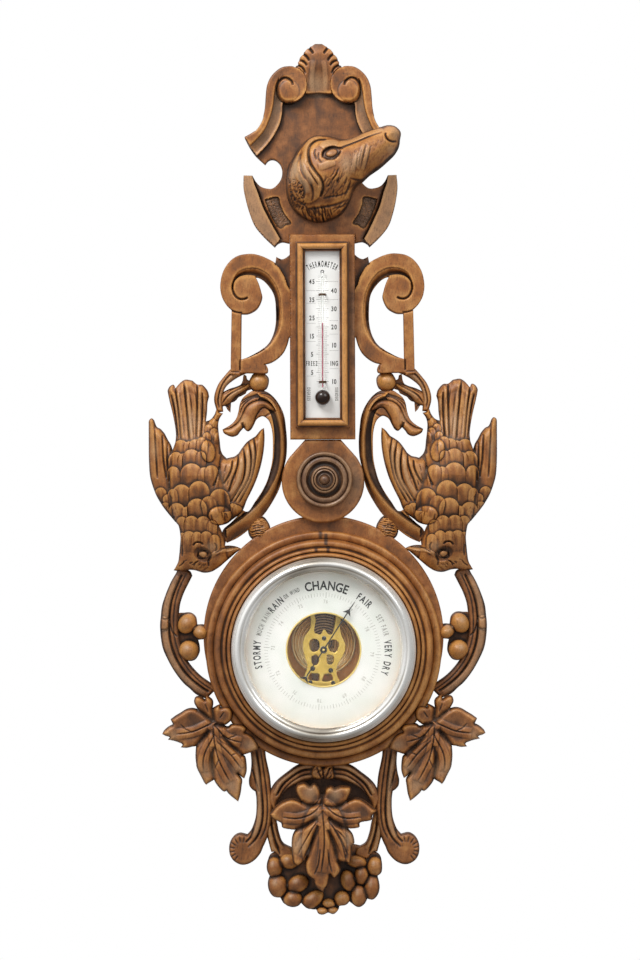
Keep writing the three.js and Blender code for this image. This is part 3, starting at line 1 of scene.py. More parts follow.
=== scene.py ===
# %% [markdown]
# Aneroid barometer in a carved walnut wall frame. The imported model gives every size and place. This script
# carves the wood, turns the rings, and gives each piece the finish of the real one. Lengths in the carving
# cells are millimetres, because a carver's drawing is; they become metres when a mesh is made.

# %% Load the frame
import math

import bpy
import numpy as np
from mathutils import Matrix, Vector
from mathutils.geometry import delaunay_2d_cdt


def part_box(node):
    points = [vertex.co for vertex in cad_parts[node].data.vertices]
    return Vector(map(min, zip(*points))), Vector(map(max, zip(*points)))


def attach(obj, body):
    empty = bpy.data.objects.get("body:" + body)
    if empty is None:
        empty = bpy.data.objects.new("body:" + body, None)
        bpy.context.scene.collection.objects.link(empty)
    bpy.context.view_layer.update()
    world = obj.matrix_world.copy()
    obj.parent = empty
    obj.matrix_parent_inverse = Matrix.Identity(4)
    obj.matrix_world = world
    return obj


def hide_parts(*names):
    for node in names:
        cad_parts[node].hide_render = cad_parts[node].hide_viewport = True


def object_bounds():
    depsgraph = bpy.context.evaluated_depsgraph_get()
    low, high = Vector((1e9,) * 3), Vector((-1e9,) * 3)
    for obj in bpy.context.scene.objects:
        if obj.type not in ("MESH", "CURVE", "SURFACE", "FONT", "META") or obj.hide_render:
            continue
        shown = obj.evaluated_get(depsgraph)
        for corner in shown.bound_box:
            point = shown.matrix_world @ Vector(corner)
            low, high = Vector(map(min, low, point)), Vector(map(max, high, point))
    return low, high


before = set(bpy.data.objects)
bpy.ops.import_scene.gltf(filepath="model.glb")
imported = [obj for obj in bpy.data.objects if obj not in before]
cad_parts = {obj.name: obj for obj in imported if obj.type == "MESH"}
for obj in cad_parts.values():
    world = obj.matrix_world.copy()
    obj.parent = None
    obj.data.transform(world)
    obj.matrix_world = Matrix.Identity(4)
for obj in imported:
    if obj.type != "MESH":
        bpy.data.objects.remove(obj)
cad_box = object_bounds()
MM = 0.001
print("CAD box in mm:", [[round(value / MM, 1) for value in corner] for corner in cad_box])


# %% [markdown]
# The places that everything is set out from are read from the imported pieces, so the carvings follow the
# frame if it changes. Each carving was drawn in a square, so a point of a drawing is two numbers: how many
# thousandths of the square's side it lies across, and how many down. A square is hung on the frame by its
# span in millimetres, by the thousandth where the frame's axis lies, and by one level whose height is known.

# %% Places and drawing squares
def middle(node):
    """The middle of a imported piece, as x and z in millimetres."""
    low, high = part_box(node)
    return (low.x + high.x) / 2 / MM, (low.z + high.z) / 2 / MM


def depths(node):
    """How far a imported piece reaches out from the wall: its back and its front, in millimetres."""
    low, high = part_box(node)
    return -high.y / MM, -low.y / MM


DIAL_Z = middle("bezel")[1]
ROUNDEL_Z = middle("roundel")[1]
BOX_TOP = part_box("thermometer_board")[1].z / MM
BOX_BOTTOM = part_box("thermometer_board")[0].z / MM
LIMIT_LOW, LIMIT_HIGH = ((corner[0] / MM, corner[2] / MM) for corner in cad_box)
FOREMOST = -cad_box[0][1] / MM


def square(span, axis, level, height):
    """A drawing square: turns thousandths of its span into millimetres on the frame."""

    def place(points):
        points = np.asarray(points, float)
        across = (points[..., 0] / 1000 - axis / 1000) * span
        up = height - (points[..., 1] / 1000 - level / 1000) * span
        return np.stack([across, up], -1)

    return place


CREST_SPAN, CREST_AXIS = 168, 483.5
BIRD_SPAN = 160
BASE_AXIS = 511
crest = square(CREST_SPAN, CREST_AXIS, level=925, height=BOX_TOP)
hound = square(span=120, axis=443.6, level=928.3, height=BOX_TOP)
p_scroll = square(span=104, axis=848, level=-96.5, height=BOX_TOP)
c_scroll = square(span=144, axis=680, level=625.6, height=ROUNDEL_Z)
bird = square(BIRD_SPAN, axis=902, level=537.5, height=ROUNDEL_Z)
vine = square(span=112, axis=1198.6, level=601.8, height=DIAL_Z)
leaf = square(span=89.6, axis=1476, level=-363.8, height=DIAL_Z)
base = square(span=156.8, axis=BASE_AXIS, level=-514, height=DIAL_Z)
bridge = square(span=64, axis=527, level=483, height=DIAL_Z)
print("Dial at", round(DIAL_Z, 1), "roundel at", round(ROUNDEL_Z, 1), "box top at", round(BOX_TOP, 1))


# %% [markdown]
# A carver works from lines: an outline sawn first, then grooves, ridges and scales cut along drawn curves.
# These helpers turn a few listed points into smooth lines and measure how far a spot is from them.

# %% Lines
# PITCH is the distance of points along a carved line, in millimetres. EVERYWHERE is more than any piece is
# wide, and CHUNK is how many spots are measured at a time.
PITCH = 0.55
EVERYWHERE = 400
CHUNK = 4096


def curve(points, steps=6):
    """A smooth line through given points."""
    p = np.asarray(points, float)
    if len(p) < 3:
        return p
    q = np.concatenate([2 * p[:1] - p[1:2], p, 2 * p[-1:] - p[-2:-1]])
    t = np.linspace(0, 1, steps, endpoint=False)[:, None, None]
    a, b, c, d = q[:-3], q[1:-2], q[2:-1], q[3:]
    line = b + t * (c - a) / 2 + t**2 * (a - 2.5 * b + 2 * c - d / 2) + t**3 * (1.5 * (b - c) + (d - a) / 2)
    return np.concatenate([line.transpose(1, 0, 2).reshape(-1, p.shape[1]), p[-1:]])


def even(line, pitch=PITCH):
    """The same line with points an equal pitch apart."""
    run = np.r_[0, np.cumsum(np.hypot(*np.diff(line, axis=0).T))]
    at = np.linspace(0, run[-1], max(1, round(run[-1] / pitch)) + 1)
    return np.stack([np.interp(at, run, line[:, k]) for k in (0, 1)], 1)


def trace(place, start, runs):
    """An open line in millimetres from start; each run is smooth and ends in a corner."""
    line, last = [place([start])], start
    for run in runs:
        line.append(even(curve(place([last, *run])))[1:])
        last = run[-1]
    return np.concatenate(line)


def outline(place, runs):
    """A closed outline in millimetres."""
    return trace(place, runs[-1][-1], runs)[1:]


def symmetric(place, start, runs):
    """A closed outline from its left half, about the frame's axis."""
    left = trace(place, start, runs)
    return np.concatenate([left, left[::-1] * (-1, 1)])


def inside(spot, ring):
    """Which spots lie inside a closed outline."""
    found = np.zeros(len(spot), bool)
    a, b = ring, np.roll(ring, -1, 0)
    for first in range(0, len(spot), CHUNK):
        x, y = spot[first : first + CHUNK, 0, None], spot[first : first + CHUNK, 1, None]
        crossed = (a[:, 1] > y) != (b[:, 1] > y)
        rise = np.where(b[:, 1] == a[:, 1], 1, b[:, 1] - a[:, 1])
        at = a[:, 0] + (y - a[:, 1]) / rise * (b[:, 0] - a[:, 0])
        found[first : first + CHUNK] = ((x < at) & crossed).sum(1) % 2 == 1
    return found


def to_line(spot, line, limit):
    """The spots within limit of a line: which, how far off, how far along (0 to 1) and on which side."""
    near = np.flatnonzero(((spot > line.min(0) - limit) & (spot < line.max(0) + limit)).all(1))
    step = np.diff(line, axis=0)
    length = np.maximum(np.hypot(*step.T), 1e-9)
    run = np.r_[0, np.cumsum(length)]
    off = np.full(len(near), 1e9)
    along = np.zeros(len(near))
    side = np.ones(len(near))
    for i in range(len(step)):
        gap = spot[near] - line[i]
        share = np.clip(gap @ step[i] / length[i] ** 2, 0, 1)
        away = np.hypot(*(gap - share[:, None] * step[i]).T)
        closer = away < off
        off[closer] = away[closer]
        along[closer] = (run[i] + share[closer] * length[i]) / run[-1]
        side[closer] = np.sign(step[i][0] * gap[closer, 1] - step[i][1] * gap[closer, 0])
    kept = off < limit
    return near[kept], off[kept], along[kept], side[kept]


def ease(share):
    """A soft step from 0 to 1."""
    share = np.clip(share, 0, 1)
    return share * share * (3 - 2 * share)


def dome(share):
    """A round shoulder: 0 at the edge, 1 where the share reaches 1."""
    return np.sqrt(1 - (1 - np.clip(share, 0, 1)) ** 2)


def pillow(ring, spot, step=1.3):
    """A skin blown up over a closed outline: how high each spot lies, 1 at the highest."""
    low = ring.min(0) - 2 * step
    size = np.ceil((ring.max(0) - low) / step).astype(int) + 3
    x, y = np.meshgrid(*(low[k] + step * np.arange(size[k]) for k in (0, 1)), indexing="ij")
    within = inside(np.stack([x.ravel(), y.ravel()], 1), ring).reshape(x.shape)
    skin = np.zeros(x.shape)
    for _ in range(1200):
        skin[1:-1, 1:-1] = (skin[:-2, 1:-1] + skin[2:, 1:-1] + skin[1:-1, :-2] + skin[1:-1, 2:]) / 4 + 1
        skin[~within] = 0
    at = np.clip((spot - low) / step, 0, size - 2)
    cell = np.floor(at).astype(int)
    share = at - cell
    height = np.zeros(len(spot))
    for i in (0, 1):
        for j in (0, 1):
            part = (share[:, 0] if i else 1 - share[:, 0]) * (share[:, 1] if j else 1 - share[:, 1])
            height += part * skin[np.minimum(cell[:, 0] + i, size[0] - 1),
                                  np.minimum(cell[:, 1] + j, size[1] - 1)]
    return height / skin.max()


print("Carved lines have a point every", PITCH, "mm")


# %% [markdown]
# The relief itself could be sculpted with a brush or built from subdivision surfaces. Here each carving is
# a height over its sawn outline, as real relief carving is: the outline, then points a little over half a
# millimetre apart, a height for each, and straight walls to a flat back. Crisp edges get points of their
# own on both sides, so that a feather ends in a clean step. Hollows are marked dark and raised edges pale
# in the attribute "tone": old polish gathers in the one and wears off the other, and painted shade and a
# painted sheen are laid on the same places.

# %% The carving bench
# CRISP_GAP is how far the points of a crisp edge stand from it. Near the front of the imported model, SOFT_TOP
# millimetres behind its foremost point, heights are closed up softly, so that no carving passes it.
CRISP_GAP = 0.12
SOFT_TOP = 1.5


class Carving:
    """One carved piece, made of strokes that are cut in turn once its points are known."""

    def __init__(self, place, rims, back, level, rounding=1.2, pitch=PITCH):
        self.place, self.back, self.rounding, self.pitch = place, back, rounding, pitch
        self.rims = [np.clip(ring, LIMIT_LOW, LIMIT_HIGH) for ring in rims]
        self.level = level
        self.strokes, self.crisp, self.pockets = [], [], []

    def line(self, points):
        """A smooth open line through drawn points, in millimetres."""
        return curve(self.place(points))

    def ring(self, points):
        """A smooth closed line through drawn points, in millimetres."""
        line = self.line([*points, points[0]])
        return line[:-1]

    def mark(self, line):
        """Asks for points on both sides of a crisp edge."""
        line = even(line, self.pitch)
        step = np.gradient(line, axis=0)
        across = np.stack([-step[:, 1], step[:, 0]], 1) / np.maximum(np.hypot(*step.T), 1e-9)[:, None]
        self.crisp += [line + across * CRISP_GAP, line - across * CRISP_GAP]

    def shape(self, stroke):
        """Adds a stroke: a function of this carving."""
        self.strokes.append(stroke)
        return self

    def flat(self, points, height, slope=0.5, tone=0, pale=0, crisp=True):
        """Sets the height inside an outline; outside it the wood falls away over slope."""
        ring = self.ring(points)
        if crisp:
            self.mark(np.concatenate([ring, ring[:1]]))

        def stroke(c):
            near, off, _, _ = to_line(c.spot, np.concatenate([ring, ring[:1]]), EVERYWHERE)
            within = inside(c.spot[near], ring)
            share = ease(np.where(within, 1, 1 - off / slope))
            value = height(c.spot[near]) if callable(height) else height
            c.height[near] += (value - c.height[near]) * share
            c.tone[near] += tone * share
            c.pale[near] += (pale - c.pale[near]) * share

        return self.shape(stroke)

    def swell(self, points, rise, shoulder, tone=0):
        """Raises the inside of an outline with a round shoulder."""
        ring = self.ring(points)
        self.mark(np.concatenate([ring, ring[:1]]))

        def stroke(c):
            near, off, _, _ = to_line(c.spot, np.concatenate([ring, ring[:1]]), EVERYWHERE)
            within = inside(c.spot[near], ring)
            near, off = near[within], off[within]
            c.height[near] += rise * dome(off / shoulder)
            c.tone[near] += tone * ease(off / shoulder)

        return self.shape(stroke)

    def band(self, left, right, section, tone=0, pale=0):
        """Carves a band between two lines; section gives the height for shares across and along."""
        left, right = self.line(left), self.line(right)
        self.mark(left)
        self.mark(right)

        def stroke(c):
            ring = np.concatenate([left, right[::-1]])
            near = np.flatnonzero(inside(c.spot, ring))
            _, to_left, along, _ = to_line(c.spot[near], left, EVERYWHERE)
            _, to_right, along_right, _ = to_line(c.spot[near], right, EVERYWHERE)
            across = to_left / np.maximum(to_left + to_right, 1e-6)
            value = section(across, (along + along_right) / 2)
            c.height[near] = value
            c.tone[near] += tone
            c.pale[near] += pale

        return self.shape(stroke)

    def cut(self, points, width, depth, dark=0.6, taper=0.25, lean=0):
        """A groove along a line, run out at its ends. Lean shifts its steep side. Dark darkens the groove, as
        settled wax and as painted shade.
        """
        line = self.line(points)

        def stroke(c):
            near, off, along, side = to_line(c.spot, line, width * 1.6)
            ends = dome(np.minimum(along, 1 - along) / taper) if taper else 1
            reach = width * (1 + 0.6 * lean * side)
            share = np.clip(1 - off / reach, 0, 1) ** 1.5 * ends
            c.height[near] -= depth * share
            c.tone[near] -= dark * share * 0.5

        return self.shape(stroke)

    def ridge(self, points, width, height, pale=0.3, taper=0.25, tone=0):
        """A raised line, run out at its ends."""
        line = self.line(points)

        def stroke(c):
            near, off, along, _ = to_line(c.spot, line, width)
            ends = dome(np.minimum(along, 1 - along) / taper) if taper else 1
            share = dome(1 - off / width) * ends
            c.height[near] += height * share
            c.pale[near] += pale * share
            c.tone[near] += tone * share

        return self.shape(stroke)

    def oval(self, centre, wide, tall, turn=0):
        """An oval: its outline, and a measure of how far out a spot lies, 1 on the outline."""
        middle_point = self.place(centre)
        angle = math.radians(turn)
        axes = np.array([[math.cos(angle), math.sin(angle)], [-math.sin(angle), math.cos(angle)]])
        around = np.linspace(0, 2 * math.pi, 40)
        edge = middle_point + np.stack([wide * np.cos(around), tall * np.sin(around)], 1) @ axes
        return edge, lambda spot: np.hypot(*((spot - middle_point) @ axes.T / (wide, tall)).T)

    def ball(self, centre, wide, tall, low, top, turn=0, tone=0):
        """A ball or nut: half of it stands out of the wood, and a ring of painted shade darkens the wood just
        round it.
        """
        edge, measure = self.oval(centre, wide, tall, turn)
        self.mark(edge)

        def stroke(c):
            out = measure(c.spot)
            near = np.flatnonzero(out < 1.25)
            out = out[near]
            bulge = low + (top - low) * np.sqrt(np.clip(1 - out**2, 0, 1))
            c.height[near] = np.where(out < 1, np.maximum(c.height[near], bulge), c.height[near])
            # A ring of painted shade round the ball, where it meets the wood.
            c.tone[near] += np.where(out < 1, tone, -1.2 * (1.25 - out))

        return self.shape(stroke)

    def bump(self, centre, wide, tall, rise, turn=0, tone=0, pale=0):
        """Swells the wood by rise over an oval, or sinks a dish where rise is negative; a thin line of painted
        shade darkens its edge.
        """
        edge, measure = self.oval(centre, wide, tall, turn)
        self.mark(edge)

        def stroke(c):
            out = measure(c.spot)
            share = np.sqrt(np.clip(1 - out**2, 0, 1))
            c.height += rise * share
            # A thin line of painted shade just outside the edge.
            c.tone += tone * share - 0.6 * np.clip(1 - abs(out - 1.05) / 0.1, 0, 1)
            c.pale += pale * share

        return self.shape(stroke)

    def feather(self, tip, root, wide, lift, seed=0, barbs=3):
        """A feather or scale over the form below it: low at its root, a crisp step at its tip. Its tone is
        painted light, darker at the root and paler at the tip, with barb lines, and painted shadow lies on the
        wood just past its tip.
        """
        tip, root = self.place([tip])[0], self.place([root])[0]
        axis = tip - root
        length = np.hypot(*axis)
        axis = axis / length
        normal = np.array([-axis[1], axis[0]])
        turn = np.linspace(-math.pi / 2, math.pi / 2, 24)
        nose = min(wide * 0.55, length * 0.8)
        rim = np.stack([np.cos(turn) * nose + length - nose, np.sin(turn) * wide / 2], 1)
        rim = np.concatenate([[[0, -wide / 2]], rim, [[0, wide / 2]]])
        self.mark(root + rim[:, :1] * axis + rim[:, 1:] * normal)

        def stroke(c):
            gap = c.spot - root
            along, side = gap @ axis, gap @ normal
            near = np.flatnonzero((along > -1) & (along < length + 2) & (abs(side) < wide / 2 + 2))
            along, side = along[near], side[near]
            past = np.clip((along - length + nose) / nose, 0, None)
            out = np.hypot(past, side / (wide / 2))
            within = (out < 1) & (along > 0)
            crown = 1 - 0.35 * (side / (wide / 2)) ** 2
            value = c.form[near] + lift * ease(along / length + 0.15) * crown
            stripe = np.cos((side / wide + 0.03 * seed) * math.pi * 2 * (barbs + 0.5)) * 0.5 - 0.5
            value += stripe * 0.28 * ease((along / length - 0.25) * 3) * (abs(side) < wide * 0.4)
            c.height[near] = np.where(within, value, c.height[near])
            # Painted light: the scale is darker at its root and paler towards its tip; the stripes are its
            # barbs.
            wear_and_painted_light = 0.25 * stripe + 0.75 * ease(along / length) - 0.35
            c.tone[near] = np.where(within, wear_and_painted_light, c.tone[near])
            # Painted shadow of the crisp tip on the scale below it.
            painted_tip_shadow = (~within) & (out < 1.35) & (along > length * 0.3)
            c.tone[near] -= np.where(painted_tip_shadow, (1.35 - out) / 0.35 * 0.45, 0)

        return self.shape(stroke)

    def strokes_of_fur(self, points, direction, count, length, width, depth, seed, dark=0.5):
        """Short knife cuts scattered over an area, as in fur or stippling, each darkened by dark as settled wax
        and painted shade.
        """
        ring = self.ring(points)
        draw = np.random.default_rng(seed)

        def stroke(c):
            low, high = ring.min(0), ring.max(0)
            places = draw.uniform(low, high, (count * 3, 2))
            places = places[inside(places, ring)][:count]
            for point in places:
                angle = math.radians(direction + draw.uniform(-16, 16))
                reach = length * draw.uniform(0.6, 1.2) / 2
                step = np.array([math.cos(angle), math.sin(angle)]) * reach
                near, off, along, _ = to_line(c.spot, np.stack([point - step, point + step]), width)
                share = (1 - off / width) * dome(np.minimum(along, 1 - along) / 0.3)
                c.height[near] -= depth * share
                c.tone[near] -= dark * share * 0.5

        return self.shape(stroke)

    def tint(self, centre, wide, tall, tone=0, pale=0, turn=0):
        """Darkens or pales a soft patch of the surface; here mostly painted shade and painted highlights."""
        measure = self.oval(centre, wide, tall, turn)[1]

        def stroke(c):
            share = ease(1 - measure(c.spot))
            c.tone += tone * share
            c.pale += pale * share

        return self.shape(stroke)

    def settle(self):
        """Keeps the surface so far as the form that feathers lie on."""

        def stroke(c):
            c.form = c.height.copy()

        return self.shape(stroke)

    def scatter(self):
        """Lays out the points: the rims, both sides of crisp edges, and an even field between."""
        rims = np.concatenate(self.rims)
        crisp = np.concatenate(self.crisp) if self.crisp else np.zeros((0, 2))
        low, high = rims.min(0), rims.max(0)
        field = []
        rows = np.arange(low[1] + self.pitch / 2, high[1], self.pitch * 0.866)
        ahead = [np.roll(ring, -1, 0) for ring in self.rims]
        for i, y in enumerate(rows):
            x = np.arange(low[0] + self.pitch * (0.25 + 0.5 * (i % 2)), high[0], self.pitch)
            meets = []
            for a, b in zip(self.rims, ahead):
                hit = (a[:, 1] > y) != (b[:, 1] > y)
                meets.append(a[hit, 0] + (y - a[hit, 1]) / (b[hit, 1] - a[hit, 1]) * (b[hit, 0] - a[hit, 0]))
            kept = x[np.searchsorted(np.sort(np.concatenate(meets)), x) % 2 == 1]
            field.append(np.stack([kept, np.full(len(kept), y)], 1))
        field = np.concatenate(field)
        if len(crisp):
            within = sum(inside(crisp, ring).astype(int) for ring in self.rims) % 2 == 1
            crisp = crisp[within]
            _, first = np.unique(np.round(crisp / 0.2).astype(int), axis=0, return_index=True)
            crisp = crisp[first]
            field = field[~crowded(field, crisp, self.pitch * 0.5)]
            crisp = crisp[~crowded(crisp, rims, self.pitch * 0.4)]
        field = field[~crowded(field, rims, self.pitch * 0.5)]
        self.spot = np.concatenate([rims, crisp, field])
        self.rim = np.full(len(self.spot), 1e9)
        for ring in self.rims:
            closed = np.concatenate([ring, ring[:1]])[:: 2 if len(ring) > 400 else 1]
            for first in range(0, len(self.spot), CHUNK):
                gap = self.spot[first : first + CHUNK,
                                None].astype(np.float32) - closed[None].astype(np.float32)
                off = np.sqrt((gap**2).sum(2).min(1))
                self.rim[first : first + CHUNK] = np.minimum(self.rim[first : first + CHUNK], off)

    def carve(self):
        """Cuts every stroke and returns points in metres, triangles, tone and pale."""
        self.scatter()
        count = len(self.spot)
        self.height = np.full(count, float(self.level)) if not callable(self.level) else self.level(self)
        self.tone, self.pale = np.zeros(count), np.zeros(count)
        self.form = self.height.copy()
        for stroke in self.strokes:
            stroke(self)
        if self.rounding:
            self.height -= self.rounding * (1 - dome(self.rim / self.rounding))
        over = np.maximum(self.height - FOREMOST + SOFT_TOP, 0)
        self.height = np.maximum(self.height - over + SOFT_TOP * np.tanh(over / SOFT_TOP), self.back + 0.4)
        front = fill(self.spot, self.rims)
        # Painted shade in hollows and a painted sheen on raised edges, together with settled wax and wear.
        self.tone += hollows(self.height, front, self.rim)
        points = [np.stack([self.spot[:, 0], -self.height, self.spot[:, 1]], 1)]
        triangles, total = [front], count
        steps = [self.rims, *[[ring] for ring, _ in self.pockets], []]
        above = 0
        for outer, inner, depth in zip(steps, steps[1:], [self.back, *[depth for _, depth in self.pockets]]):
            flat = np.concatenate(outer + inner)
            points.append(np.stack([flat[:, 0], np.full(len(flat), -depth), flat[:, 1]], 1))
            triangles.append(fill(flat, outer + inner)[:, ::-1] + total)
            start = 0
            for ring in outer:
                i = start + np.arange(len(ring))
                j = start + (np.arange(len(ring)) + 1) % len(ring)
                after = np.roll(ring, -1, 0)
                turned_left = (ring[:, 0] * after[:, 1] - after[:, 0] * ring[:, 1]).sum() > 0
                hole = start > 0 and above == 0
                if turned_left == hole:
                    i, j = j, i
                wall = [np.stack([above + i, total + i, total + j], 1),
                        np.stack([above + i, total + j, above + j], 1)]
                triangles += wall
                start += len(ring)
            above = total + start
            total += len(flat)
        points = np.concatenate(points)
        behind = np.zeros(len(points) - count)
        tone, pale = np.concatenate([self.tone, behind - 0.3]), np.concatenate([self.pale, behind])
        return points * MM, np.concatenate(triangles), tone, pale


def fill(spot, rings):
    """Triangles over flat points, inside the rings that the first of them form."""
    edges, start = [], 0
    for ring in rings:
        size = len(ring)
        edges += [(start + i, start + (i + 1) % size) for i in range(size)]
        start += size
    _, _, found, sources, _, _ = delaunay_2d_cdt([Vector(point) for point in spot], edges, [], 0, 1e-7, True)
    source = np.array([s[0] if s else 0 for s in sources])
    triangles = source[np.array(found)]
    all_rim = (triangles < start).all(1)
    centre = spot[triangles[all_rim]].mean(1)
    within = sum(inside(centre, ring).astype(int) for ring in rings) % 2 == 1
    keep = np.ones(len(triangles), bool)
    keep[np.flatnonzero(all_rim)[~within]] = False
    triangles = triangles[keep]
    a, b, c = (spot[triangles[:, k]] for k in range(3))
    area = (b - a)[:, 0] * (c - a)[:, 1] - (b - a)[:, 1] * (c - a)[:, 0]
    triangles[area < 0] = triangles[area < 0][:, ::-1]
    return triangles[abs(area) > 1e-9]


def crowded(points, others, reach):
    """Which points have one of the others about reach away or nearer."""

    def keys(array, shift):
        cell = np.floor(array / reach).astype(np.int64) + shift
        return cell[:, 0] * 1000003 + cell[:, 1]

    taken = np.unique(keys(others, np.array([0, 0])))
    found = np.zeros(len(points), bool)
    for x in (-1, 0, 1):
        for y in (-1, 0, 1):
            found |= np.isin(keys(points, np.array([x, y])), taken)
    return found


def hollows(height, triangles, rim):
    """Dark in hollows and pale on raised edges, from each height against its smoothed neighbours: settled wax
    and wear, and with them painted shade in the hollows and a painted sheen on the edges.
    """
    pairs = np.concatenate([triangles[:, [0, 1]], triangles[:, [1, 2]], triangles[:, [2, 0]]])
    a, b = np.concatenate([pairs[:, 0], pairs[:, 1]]), np.concatenate([pairs[:, 1], pairs[:, 0]])
    share = np.maximum(np.bincount(a, minlength=len(height)), 1)
    smooth, result = height.copy(), np.zeros(len(height))
    for step in range(40):
        smooth = np.bincount(a, smooth[b], len(height)) / share
        if step == 3:
            result += 0.3 * np.clip((height - smooth) / 0.35, -1, 1)
        if step == 14:
            result += 0.4 * np.clip((height - smooth) / 0.9, -1, 1)
    result += 0.5 * np.clip((height - smooth) / 2, -1, 1)
    return result * ease(rim / 0.8)


def mesh_from(name, points, triangles, smooth_angle=50, **attributes):
    """A mesh object from arrays of points in metres and triangles."""
    mesh = bpy.data.meshes.new(name)
    mesh.vertices.add(len(points))
    mesh.vertices.foreach_set("co", np.asarray(points, np.float32).ravel())
    mesh.loops.add(len(triangles) * 3)
    mesh.loops.foreach_set("vertex_index", np.asarray(triangles, np.int32).ravel())
    mesh.polygons.add(len(triangles))
    mesh.polygons.foreach_set("loop_start", np.arange(0, len(triangles) * 3, 3, dtype=np.int32))
    mesh.polygons.foreach_set("use_smooth", np.ones(len(triangles), bool))
    mesh.update(calc_edges=True)
    mesh.set_sharp_from_angle(angle=math.radians(smooth_angle))
    for key, values in attributes.items():
        mesh.attributes.new(key, "FLOAT", "POINT").data.foreach_set("value", values.astype(np.float32))
    made = bpy.data.objects.new(name, mesh)
    bpy.context.scene.collection.objects.link(made)
    return made


def dress(piece, body, material, slot, *nodes):
    """Gives a piece its finish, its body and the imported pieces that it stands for."""
    piece.data.materials.clear()
    piece.data.materials.append(material)
    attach(piece, body)
    if nodes:
        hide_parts(*nodes)
    return piece


print("No carving reaches further from the wall than", round(FOREMOST, 1), "mm")


# %% [markdown]
# Materials start from what each surface is. One function turns a colour as it is seen on screen into the
# linear numbers that shaders use, and one adds a node with its settings and links.

# %% Node helpers
def colour(code):
    """A shader colour from an sRGB hex value."""
    values = [int(code[i : i + 2], 16) / 255 for i in (1, 3, 5)]
    return (*[v / 12.92 if v <= 0.04045 else ((v + 0.055) / 1.055) ** 2.4 for v in values], 1)


def add_node(tree, kind, inputs=(), stops=(), **settings):
    """Adds a node. Inputs pairs a socket's name or number with a value or with an output to link."""
    made = tree.nodes.new(kind)
    for key, value in settings.items():
        setattr(made, key, value)
    for key, value in dict(inputs).items():
        if isinstance(value, bpy.types.NodeSocket):
            tree.links.new(value, made.inputs[key])
        else:
            made.inputs[key].default_value = value
    if stops:
        ramp = made.color_ramp
        while len(ramp.elements) < len(stops):
            ramp.elements.new(1)
        for element, (place, value) in zip(ramp.elements, stops):
            element.position = place
            element.color = colour(value)
    return made


def new_material(name):
    """An empty node material: its tree and its shader, already linked to the output."""
    made = bpy.data.materials.new(name)
    made.use_nodes = True
    made.node_tree.nodes.clear()
    shader = add_node(made.node_tree, "ShaderNodeBsdfPrincipled")
    add_node(made.node_tree, "ShaderNodeOutputMaterial", {"Surface": shader.outputs[0]})
    return made, made.node_tree, shader


print("Mid grey on screen is", round(colour("#808080")[0], 3), "in linear light")


# %% [markdown]
# The frame is European walnut, stained, waxed and a century old. Walnut has long fine pores and a soft
# figure along the grain, which runs upright in every piece here. Wax and dust lie dark in the hollows, and
# shade is painted there as well. Handling has worn the raised edges to a paler, slightly grey brown, and the
# same colour is laid on crests as a painted sheen and painted highlights. The tone and pale attributes drive
# that, and pores 0.35 mm wide are drawn wider than real ones, so that they show in a picture of this size.

